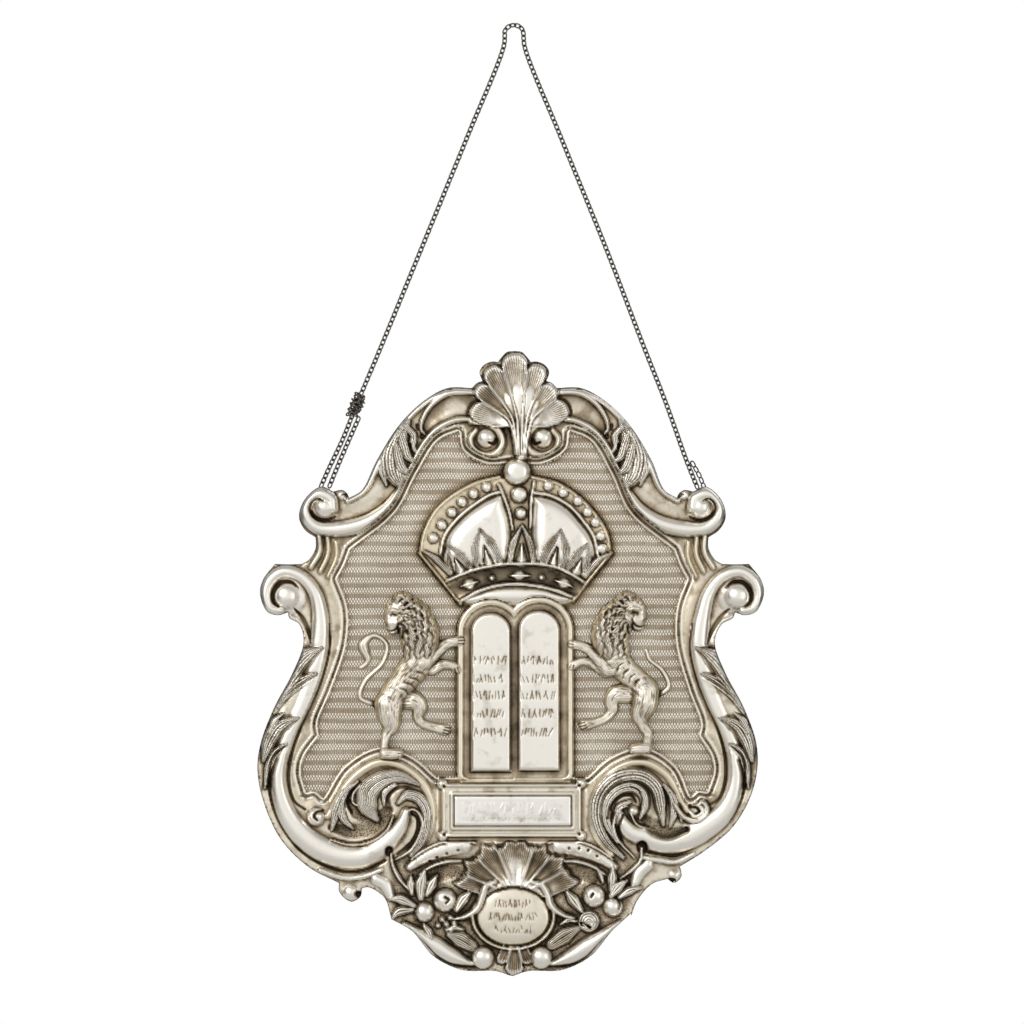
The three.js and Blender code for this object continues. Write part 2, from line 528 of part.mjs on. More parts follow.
function relief(x, z) {
  let h = isInside(panel, x, z) ? GROUND_LEVEL : BORDER_LEVEL;
  for (const { box, apply } of FORMS) {
    if (x > box[0] && x < box[1] && z > box[2] && z < box[3]) h = apply(h, x, z);
  }
  const inward = clamp01(distanceToLoop(outline, x, z) / EDGE_ROLL);
  return Math.min(h, EDGE_LEVEL + EDGE_RISE * Math.sqrt(inward * (2 - inward)));
}

// Delaunay triangulation that grows by one point at a time
class Triangulation {
  constructor(reach) {
    this.points = [[-3 * reach, -2 * reach], [3 * reach, -2 * reach], [0, 3 * reach]];
    this.triangles = [this.triangle(0, 1, 2)];
  }

  triangle(a, b, c) {
    const [ax, az] = this.points[a];
    const bx = this.points[b][0] - ax;
    const bz = this.points[b][1] - az;
    const cx = this.points[c][0] - ax;
    const cz = this.points[c][1] - az;
    const d = 2 * (bx * cz - bz * cx);
    const ux = (cz * (bx * bx + bz * bz) - bz * (cx * cx + cz * cz)) / d;
    const uz = (bx * (cx * cx + cz * cz) - cx * (bx * bx + bz * bz)) / d;
    return { corners: [a, b, c], x: ax + ux, z: az + uz, reach: ux * ux + uz * uz };
  }

  insert(point) {
    const index = this.points.push(point) - 1;
    const holds = (t) => (point[0] - t.x) ** 2 + (point[1] - t.z) ** 2 < t.reach;
    const rim = new Map();
    for (const { corners } of this.triangles.filter(holds)) {
      for (let i = 0; i < 3; i += 1) {
        const edge = [corners[i], corners[(i + 1) % 3]];
        if (!rim.delete(`${edge[1]},${edge[0]}`)) rim.set(`${edge[0]},${edge[1]}`, edge);
      }
    }
    this.triangles = this.triangles.filter((t) => !holds(t));
    for (const [a, b] of rim.values()) this.triangles.push(this.triangle(a, b, index));
    return index;
  }

  hasEdge(a, b) {
    return this.triangles.some(({ corners }) => corners.includes(a) && corners.includes(b));
  }
}

// Points along the foot and the top of a bevel, so that its edge stays crisp
function bevelPoints(loop, bevel) {
  const [x0, x1, z0, z1] = boxOf(loop, 0);
  const shrink = (value, low, high) => {
    const middle = (low + high) / 2;
    return middle + (value - middle) * (1 - (2 * bevel) / (high - low));
  };
  const inner = loop.map(([x, z]) => [shrink(x, x0, x1), shrink(z, z0, z1)]);
  return [loop, inner].flatMap((edge) => edge.flatMap(([ax, az], i) => {
    const [bx, bz] = edge[(i + 1) % edge.length];
    const count = Math.max(1, Math.round(Math.hypot(bx - ax, bz - az) / CRISP_STEP));
    return Array.from({ length: count }, (_, k) => [ax + ((bx - ax) * k) / count, az + ((bz - az) * k) / count]);
  }));
}

// Places inside the outline where a point may be set, nudged off the square grid
function candidatePlaces() {
  const [x0, x1, z0, z1] = boxOf(outline, 0);
  const places = [];
  for (let i = 0; x0 + i * GRID_STEP < x1; i += 1) {
    for (let j = 0; z0 + j * GRID_STEP < z1; j += 1) {
      const x = x0 + (i + 0.3 * Math.sin(3 * i + 7 * j)) * GRID_STEP;
      const z = z0 + (j + 0.3 * Math.cos(5 * i + 2 * j)) * GRID_STEP;
      if (isInside(outline, x, z) && distanceToLoop(outline, x, z) > EDGE_CLEAR) {
        places.push({ x, z, h: relief(x, z), used: false });
      }
    }
  }
  return places;
}

// The place in a triangle where the relief departs most from the flat facet
function worstPlace(points, heights, corners, places) {
  const [[ax, az], [bx, bz], [cx, cz]] = corners.map((i) => points[i]);
  const [ha, hb, hc] = corners.map((i) => heights[i]);
  const area = (bx - ax) * (cz - az) - (bz - az) * (cx - ax);
  let worst = null;
  for (const place of places) {
    const v = ((place.x - ax) * (cz - az) - (place.z - az) * (cx - ax)) / area;
    const w = ((bx - ax) * (place.z - az) - (bz - az) * (place.x - ax)) / area;
    if (v < 0 || w < 0 || v + w > 1) continue;
    const error = Math.abs(place.h - (ha + (hb - ha) * v + (hc - ha) * w));
    if (!worst || error > worst.error) worst = { place, error };
  }
  return worst;
}

// Points of the relief in order of rank: crisp edges first, then the forms that lie on top
function reliefPoints() {
  const crisp = [
    ...tabletLoops.flatMap((edge) => bevelPoints(edge, TABLET_BEVEL)),
    ...bevelPoints(frameLoop, FRAME_BEVEL),
    ...bevelPoints(windowLoop, WINDOW_BEVEL),
  ];
  const isFree = ([x, z]) => isInside(outline, x, z) && distanceToLoop(outline, x, z) > EDGE_CLEAR;
  const kept = crisp;
  for (const { points } of [...FORMS].reverse()) {
    for (const point of points.filter(isFree)) {
      if (isClearOf(kept, point, POINT_CLEAR)) kept.push(point);
    }
  }
  for (const point of panel.filter((_, i) => i % 2 === 0)) {
    if (isFree(point) && isClearOf(kept, point, POINT_CLEAR)) kept.push(point);
  }
  return kept;
}

const isClearOf = (kept, [x, z], reach) => kept.every((p) => Math.hypot(p[0] - x, p[1] - z) >= reach);

const isReal = ({ corners }) => corners.every((i) => i > 2);

// Set points where the relief departs most from the facets
function refine(mesh, heights) {
  const places = candidatePlaces();
  let left = SPARE_POINTS;
  while (left > 0) {
    const found = [];
    for (const { corners } of mesh.triangles.filter(isReal)) {
      const xs = corners.map((i) => mesh.points[i][0]);
      const zs = corners.map((i) => mesh.points[i][1]);
      const near = places.filter(({ x, z, used }) => !used && x > Math.min(...xs) && x < Math.max(...xs)
        && z > Math.min(...zs) && z < Math.max(...zs));
      const worst = worstPlace(mesh.points, heights, corners, near);
      if (worst) found.push(worst);
    }
    found.sort((a, b) => b.error - a.error);
    for (const { place } of found.slice(0, Math.min(POINTS_PER_PASS, left))) {
      place.used = true;
      heights[mesh.insert([place.x, place.z])] = place.h;
    }
    left -= POINTS_PER_PASS;
  }
}

// Triangles inside a closed loop of point numbers
function facesInside(mesh, loop) {
  const rim = loop.map((i) => mesh.points[i]);
  return mesh.triangles.filter(isReal).map((t) => t.corners).filter((corners) => {
    const middle = [0, 1].map((k) => corners.reduce((sum, i) => sum + mesh.points[i][k], 0) / 3);
    return isInside(rim, ...middle);
  });
}

function triangulateFront() {
  const mesh = new Triangulation(400);
  let loop = outline.map((point) => mesh.insert(point));
  reliefPoints().forEach((point) => mesh.insert(point));
  const heights = mesh.points.map(([x, z], i) => (i < 3 ? 0 : relief(x, z)));
  refine(mesh, heights);
  // split outline edges that the triangulation has cut across
  for (let split = true; split;) {
    split = false;
    loop = loop.flatMap((a, i) => {
      const b = loop[(i + 1) % loop.length];
      if (mesh.hasEdge(a, b)) return [a];
      split = true;
      const middle = [0, 1].map((k) => (mesh.points[a][k] + mesh.points[b][k]) / 2);
      const index = mesh.insert(middle);
      heights[index] = relief(...middle);
      return [a, index];
    });
  }
  return { points: mesh.points, heights, loop, faces: facesInside(mesh, loop) };
}

// Lower a facet's inner corners until it lies a wall's thickness behind every point of the front
function sinkBehind(front, points, heights, corners, firstInner) {
  const [[ax, az], [bx, bz], [cx, cz]] = corners.map((i) => points[i]);
  const [ha, hb, hc] = corners.map((i) => heights[i]);
  const area = (bx - ax) * (cz - az) - (bz - az) * (cx - ax);
  let proud = 0;
  front.points.forEach(([x, z], i) => {
    const v = ((x - ax) * (cz - az) - (z - az) * (cx - ax)) / area;
    const w = ((bx - ax) * (z - az) - (bz - az) * (x - ax)) / area;
    if (i < 3 || v < 0 || w < 0 || v + w > 1) return;
    proud = Math.max(proud, ha + (hb - ha) * v + (hc - ha) * w - (front.heights[i] - WALL));
  });
  for (const corner of corners.filter((i) => i >= firstInner)) {
    heights[corner] = Math.max(EDGE_LEVEL - WALL, heights[corner] - proud);
  }
}

// The back keeps the front's outline and some of its points, and follows the relief more softly
function triangulateBack(front) {
  const mesh = new Triangulation(400);
  const loop = front.loop.map((i) => mesh.insert(front.points[i]));
  const heights = [0, 0, 0, ...front.loop.map((i) => front.heights[i] - WALL)];
  const kept = front.loop.map((i) => front.points[i]);
  front.points.forEach((point, i) => {
    if (i < 3 || !isInside(outline, ...point) || !isClearOf(kept, point, BACK_CLEAR)) return;
    kept.push(point);
    const around = front.heights.filter((_, k) => !isClearOf([front.points[k]], point, BACK_CLEAR / 2));
    heights[mesh.insert(point)] = Math.min(...around) - WALL;
  });
  const faces = facesInside(mesh, loop);
  for (let pass = 0; pass < BACK_PASSES; pass += 1) {
    for (const corners of faces) sinkBehind(front, mesh.points, heights, corners, loop.length + 3);
  }
  return { points: mesh.points, heights, loop, faces };
}

// A closed shell between a front and a back relief that share one outline
function shellGeometry(front, back) {
  const places = [front, back].flatMap(({ points, heights }) => points.map(([x, z], i) => [x, -heights[i], z]));
  const behind = front.points.length;
  const index = [];
  const addFaces = ({ points, faces }, offset, facesFront) => {
    for (const [a, b, c] of faces) {
      const [ax, az] = points[a];
      const turn = (points[b][0] - ax) * (points[c][1] - az) - (points[b][1] - az) * (points[c][0] - ax);
      const [p, q] = (turn > 0) === facesFront ? [b, c] : [c, b];
      index.push(a + offset, p + offset, q + offset);
    }
  };
  addFaces(front, 0, true);
  addFaces(back, behind, false);
  front.loop.forEach((a, i) => {
    const next = (i + 1) % front.loop.length;
    const [b, c, d] = [front.loop[next], back.loop[i] + behind, back.loop[next] + behind];
    index.push(a, c, b, b, c, d);
  });
  const geometry = new THREE.BufferGeometry();
  geometry.setAttribute('position', new THREE.Float32BufferAttribute(places.flat(), 3));
  geometry.setIndex(index);
  return compact(geometry);
}

// Drop points that no triangle uses
function compact(geometry) {
  const loose = geometry.toNonIndexed();
  for (const name of Object.keys(loose.attributes)) {
    if (name !== 'position') loose.deleteAttribute(name);
  }
  return mergeVertices(loose, 1e-4);
}

function toSolid(geometry) {
  const merged = compact(geometry.index ? geometry : mergeVertices(geometry));
  return new wasm.Manifold(new wasm.Mesh({
    numProp: 3,
    vertProperties: new Float32Array(merged.attributes.position.array),
    triVerts: new Uint32Array(merged.index.array),
  }));
}

function toGeometry(solid) {
  const mesh = solid.getMesh();
  const geometry = new THREE.BufferGeometry();
  geometry.setAttribute('position', new THREE.Float32BufferAttribute(mesh.vertProperties, 3));
  geometry.setIndex(new THREE.Uint32BufferAttribute(mesh.triVerts, 1));
  return geometry;
}

// A tapering limb through [x, z, radius, depth] points, flatter than it is wide
function limbGeometry(points) {
  const middle = (p) => new THREE.Vector3(p[0], -(GROUND_LEVEL + p[3]), p[1]);
  const curve = new THREE.CatmullRomCurve3(points.map(middle));
  const steps = Math.max(points.length - 1, Math.round(curve.getLength() / LIMB_STEP));
  const positions = [];
  for (let i = 0; i <= steps; i += 1) {
    const at = i / steps;
    const centre = curve.getPoint(at);
    const tangent = curve.getTangent(at);
    const run = at * (points.length - 1);
    const low = Math.min(Math.floor(run), points.length - 2);
    const radius = points[low][2] + (points[low + 1][2] - points[low][2]) * (run - low);
    const flat = Math.hypot(tangent.x, tangent.z);
    for (let k = 0; k < LIMB_SIDES; k += 1) {
      const angle = (2 * Math.PI * k) / LIMB_SIDES;
      const aside = radius * Math.cos(angle);
      positions.push(
        centre.x - (aside * tangent.z) / flat,
        centre.y - radius * LIMB_FLATNESS * Math.sin(angle),
        centre.z + (aside * tangent.x) / flat,
      );
    }
  }
  const tip = (at, radius) => curve.getPoint(at).addScaledVector(curve.getTangent(at), radius);
  positions.push(...tip(0, -0.6 * points[0][2]).toArray(), ...tip(1, 0.6 * points[points.length - 1][2]).toArray());
  const start = (steps + 1) * LIMB_SIDES;
  const index = [];
  for (let k = 0; k < LIMB_SIDES; k += 1) {
    const next = (k + 1) % LIMB_SIDES;
    for (let i = 0; i < steps; i += 1) {
      const row = i * LIMB_SIDES;
      const above = row + LIMB_SIDES;
      index.push(row + k, row + next, above + k, row + next, above + next, above + k);
    }
    index.push(start, next, k, start + 1, steps * LIMB_SIDES + k, steps * LIMB_SIDES + next);
  }
  const geometry = new THREE.BufferGeometry();
  geometry.setAttribute('position', new THREE.Float32BufferAttribute(positions, 3));
  geometry.setIndex(index);
  return geometry;
}

// A lion: its limbs joined, with the back cut to lie just in front of the plate
function lionGeometry({ limbs }, front) {
  const whole = limbs.map(limbGeometry).map(toSolid).reduce((a, b) => a.add(b));
  const farBack = { ...front, heights: front.heights.map((h) => h - BEHIND_REACH) };
  const behind = shellGeometry(front, farBack).translate(0, -GAP, 0);
  return toGeometry(whole.subtract(toSolid(behind)));
}

function plaqueGeometry() {
  const { left, right, bottom, top } = PLAQUE_WINDOW;
  const inset = 1.6;
  const shape = new THREE.Shape(rectangle({
    left: left + inset, right: right - inset, bottom: bottom + inset, top: top - inset,
  }).map(([x, z]) => new THREE.Vector2(x, z)));
  return new THREE.ExtrudeGeometry(shape, { depth: PLAQUE_THICKNESS, bevelEnabled: false })
    .rotateX(Math.PI / 2)
    .translate(0, -(PLAQUE_LEVEL - PLAQUE_THICKNESS), 0);
}

// A ring on a soldered tab behind the ear; the chain is linked through the ring
function eyeGeometry([x, z]) {
  const ring = new THREE.TorusGeometry(EYE_RADIUS, EYE_WIRE, 5, 10).rotateY(Math.PI / 2).translate(x, CHAIN_BEHIND, z);
  const tab = new THREE.BoxGeometry(TAB.width, TAB.depth, TAB.height)
    .translate(x, GAP + TAB.depth / 2, z - TAB.height / 2 + EYE_RADIUS);
  return toGeometry(toSolid(ring).add(toSolid(tab)));
}

function chainGeometry(points) {
  const curve = new THREE.CatmullRomCurve3(points.map(([x, z]) => new THREE.Vector3(x, CHAIN_BEHIND, z)));
  const section = new THREE.Shape().absarc(0, 0, CHAIN_DIAMETER / 2, 0, 2 * Math.PI);
  return new THREE.ExtrudeGeometry(section, {
    steps: 2 * Math.ceil(curve.getLength() / (2 * CHAIN_STEP * CHAIN_DIAMETER)),
    curveSegments: CHAIN_SIDES / 2,
    extrudePath: curve,
    bevelEnabled: false,
  });
}

// The turn of the chain over its apex, from the left strand to the right one
function apexTurn() {
  const arc = new THREE.EllipseCurve(APEX[0], APEX[1] - APEX_BEND, APEX_BEND, APEX_BEND, 0.85 * Math.PI, 0.15 * Math.PI, true);
  return arc.getPoints(4).map((p) => [p.x, p.y]);
}

// The wound knot: a sleeve round the main strand
function knotGeometry() {
  const { top, bottom, radius } = KNOT;
  const length = Math.hypot(top[0] - bottom[0], top[1] - bottom[1]);
  const bore = (CHAIN_DIAMETER / 2 + GAP) / Math.cos(Math.PI / CHAIN_SIDES) / radius;
  const profile = [[bore, 0], [0.8, 0], [1, 0.25], [0.86, 0.5], [1, 0.75], [0.7, 1], [bore, 1], [bore, 0]];
  return new THREE.LatheGeometry(profile.map(([r, t]) => new THREE.Vector2(r * radius, (t - 0.5) * length)), 8)
    .rotateX(Math.PI / 2)
    .rotateY(Math.atan2(top[0] - bottom[0], top[1] - bottom[1]))
    .translate((top[0] + bottom[0]) / 2, CHAIN_BEHIND, (top[1] + bottom[1]) / 2);
}

const shield = new THREE.Group();
shield.position.set(-APEX[0], -CHAIN_BEHIND, -APEX[1]);

function addPiece(name, geometry, finish) {
  const mesh = new THREE.Mesh(geometry, new THREE.MeshStandardMaterial(finish));
  mesh.name = name;
  shield.add(mesh);
}

const front = triangulateFront();
addPiece('shield_plate', shellGeometry(front, triangulateBack(front)), SILVER);
for (const lion of [LEFT_LION, RIGHT_LION]) addPiece(lion.name, lionGeometry(lion, front), GILT_SILVER);
addPiece('festival_plaque', plaqueGeometry(), PALE_SILVER);
addPiece('chain_eye_left', eyeGeometry(LEFT_EYE), DARK_SILVER);
addPiece('chain_eye_right', eyeGeometry(RIGHT_EYE), DARK_SILVER);
addPiece('chain_main', chainGeometry([...LEFT_STRAND, ...apexTurn(), ...RIGHT_STRAND]), DARK_SILVER);
addPiece('chain_return_left', chainGeometry(LEFT_RETURN), DARK_SILVER);
addPiece('chain_return_right', chainGeometry(RIGHT_RETURN), DARK_SILVER);
addPiece('chain_knot', knotGeometry(), DARK_SILVER);

const part = new THREE.Group();
part.add(shield);

export default part;
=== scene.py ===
"""A chased silver torah shield on its hanging chain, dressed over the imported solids.

The plate's relief is worked out as a height map in millimetres, in the shield's own frame:
x to the right, z up and h towards the viewer from the back plane. place() carries it to the part's frame.
"""

import math

import bpy
import numpy as np
from bpy.props import FloatProperty, FloatVectorProperty, PointerProperty
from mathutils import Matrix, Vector
from mathutils.geometry import delaunay_2d_cdt


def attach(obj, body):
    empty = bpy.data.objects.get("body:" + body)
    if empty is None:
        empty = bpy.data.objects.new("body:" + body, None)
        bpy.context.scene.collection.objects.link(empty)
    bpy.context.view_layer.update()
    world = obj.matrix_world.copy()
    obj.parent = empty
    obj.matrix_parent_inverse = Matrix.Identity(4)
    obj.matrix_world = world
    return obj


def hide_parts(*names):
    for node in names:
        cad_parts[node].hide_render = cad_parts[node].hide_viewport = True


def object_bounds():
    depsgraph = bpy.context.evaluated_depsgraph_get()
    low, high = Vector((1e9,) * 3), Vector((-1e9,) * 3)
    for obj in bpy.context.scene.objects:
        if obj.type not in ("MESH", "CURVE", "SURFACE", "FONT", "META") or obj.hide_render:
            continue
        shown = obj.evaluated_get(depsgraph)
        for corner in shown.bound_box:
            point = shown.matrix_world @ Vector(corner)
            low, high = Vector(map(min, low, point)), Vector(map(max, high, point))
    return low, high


bl_info = {
    "name": "Torah shield",
    "version": (1, 0, 0),
    "blender": (4, 5, 0),
    "location": "View3D > Sidebar > Shield",
    "description": "Builds a chased silver torah shield with lions, tablets, crown and chain",
    "category": "Add Mesh",
}

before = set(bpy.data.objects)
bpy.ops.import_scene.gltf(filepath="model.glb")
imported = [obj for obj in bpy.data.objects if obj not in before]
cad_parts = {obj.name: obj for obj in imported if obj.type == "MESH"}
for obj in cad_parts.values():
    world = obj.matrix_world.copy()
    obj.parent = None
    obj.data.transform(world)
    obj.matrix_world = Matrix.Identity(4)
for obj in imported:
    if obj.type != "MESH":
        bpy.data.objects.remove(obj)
CAD_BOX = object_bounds()

MM = 0.001
APEX = (1.0, 318.0)
CHAIN_BEHIND = 2.9

# Levels over the back plane, in millimetres
WALL = 0.9
EDGE_LEVEL = 1.3
GROUND = 3.0
BORDER_RISE = 1.1
BORDER_COVE = 0.7
EDGE_ROLL = 3.6
EDGE_RISE = 9.0
FOOT_SINK = 1.3
LION_GAP = 0.3

# The right half is drawn in and its lower lobe sits higher than the left one
SIDE_DRAW_IN = 3.0
LOBE_DRAW_IN = 2.5
LOBE_LIFT = 8.0
TOP_LEAN = 2.4
# Where each of these sets in: out from the middle, or along the height
DRAW_OUT = (72, 100)
SIDE_SPAN = (30, 5)
LOBE_SPAN = (-30, -70)
LIFT_OUT = (50, 72)
LIFT_SPAN = (-60, -105)
LEAN_SPAN = (60, 110)

# Outline of the left half from the top down, as smooth runs that meet at corners
SHELL_RUNS = [
    [(1.5, 154.5), (-2.5, 154), (-5.5, 151), (-7, 149)],
    [(-7, 149), (-10, 149.2), (-14, 147.5), (-16.2, 144), (-14.8, 139.5)],
    [(-14.8, 139.5), (-17.5, 138.5), (-20, 136)],
]
SIDE_RUNS = [
    [(-20, 136), (-32, 136), (-43.5, 130), (-56, 118), (-67.5, 100), (-75, 85), (-81.5, 81)],
    [(-81.5, 81), (-82.5, 83.3), (-85, 85), (-89.5, 84.2)],
    [(-89.5, 84.2), (-95.5, 86.7), (-103.5, 80.5), (-106.5, 71.5), (-103.5, 65), (-98.2, 61.3)],
    [(-98.2, 61.3), (-98.2, 56), (-101.5, 50.2), (-105, 48)],
    [(-105, 48), (-112, 47.8), (-118.5, 48)],
    [(-118.5, 48), (-124.3, 40.5), (-126, 33.5), (-122.5, 24.3), (-117, 22.4), (-112, 23.8)],
    [(-112, 23.8), (-111.3, 21), (-106.3, 17.8), (-104.2, 9), (-109.5, -6), (-119, -24), (-125.5, -41),
     (-127.3, -54), (-124.8, -69), (-116, -89), (-102, -103.3), (-86.5, -111.5)],
]
LEFT_HOOK_RUNS = [
    [(-86.5, -111.5), (-86.3, -116), (-80.5, -120.8), (-75.8, -118.3), (-75.1, -114.2)],
    [(-75.1, -114.2), (-72, -113.6), (-63.8, -118.8), (-60.2, -129.7)],
]
RIGHT_HOOK_RUNS = [
    [(84.2, -103.6), (84.6, -108.5), (81, -111.4), (77.6, -109.4)],
    [(77.6, -109.4), (70, -112), (62.5, -120.5), (59.6, -128)],
]
FOOT_RUNS = [
    [(-60.2, -129.7), (-50, -135.5), (-39, -148.3), (-25, -155), (-8, -155.6), (-0.5, -158)],
]
# Edge of the engine-turned panel, left half from the top down
PANEL_RUNS = [
    [(1.5, 98.5), (-13, 97.8), (-25, 105), (-26.8, 114)],
    [(-26.8, 114), (-36.5, 109.5), (-47, 93.5), (-58, 73.5), (-80.5, 54.8)],
    [(-80.5, 54.8), (-83.5, 47), (-87, 40.5)],
    [(-87, 40.5), (-82, 26), (-82.5, 8), (-90, -15), (-96.8, -32), (-96, -38)],
    [(-96, -38), (-103.5, -48.5), (-105.2, -56), (-102.8, -66)],
    [(-102.8, -66), (-98.5, -65.3), (-94.3, -68.8)],
    [(-94.3, -68.8), (-83.5, -52.5), (-66, -43.3), (-49.5, -48.2), (-37.5, -58.3)],
    [(-37.5, -58.3), (0, -58.3)],
]

# Side leaves and shoulder lobes also give the painted shade on the sunk edge round them
SIDE_LEAF = {"lines": 6, "dark": 0.22, "stipple": 0.8, "halo": 0.45}
SMALL_SIDE_LEAF = {"lines": 4, "dark": 0.2, "stipple": 0.8, "halo": 0.45}
SHOULDER_LOBE = {"lines": 4, "dark": 0.16, "stipple": 0.7, "halo": 0.3}
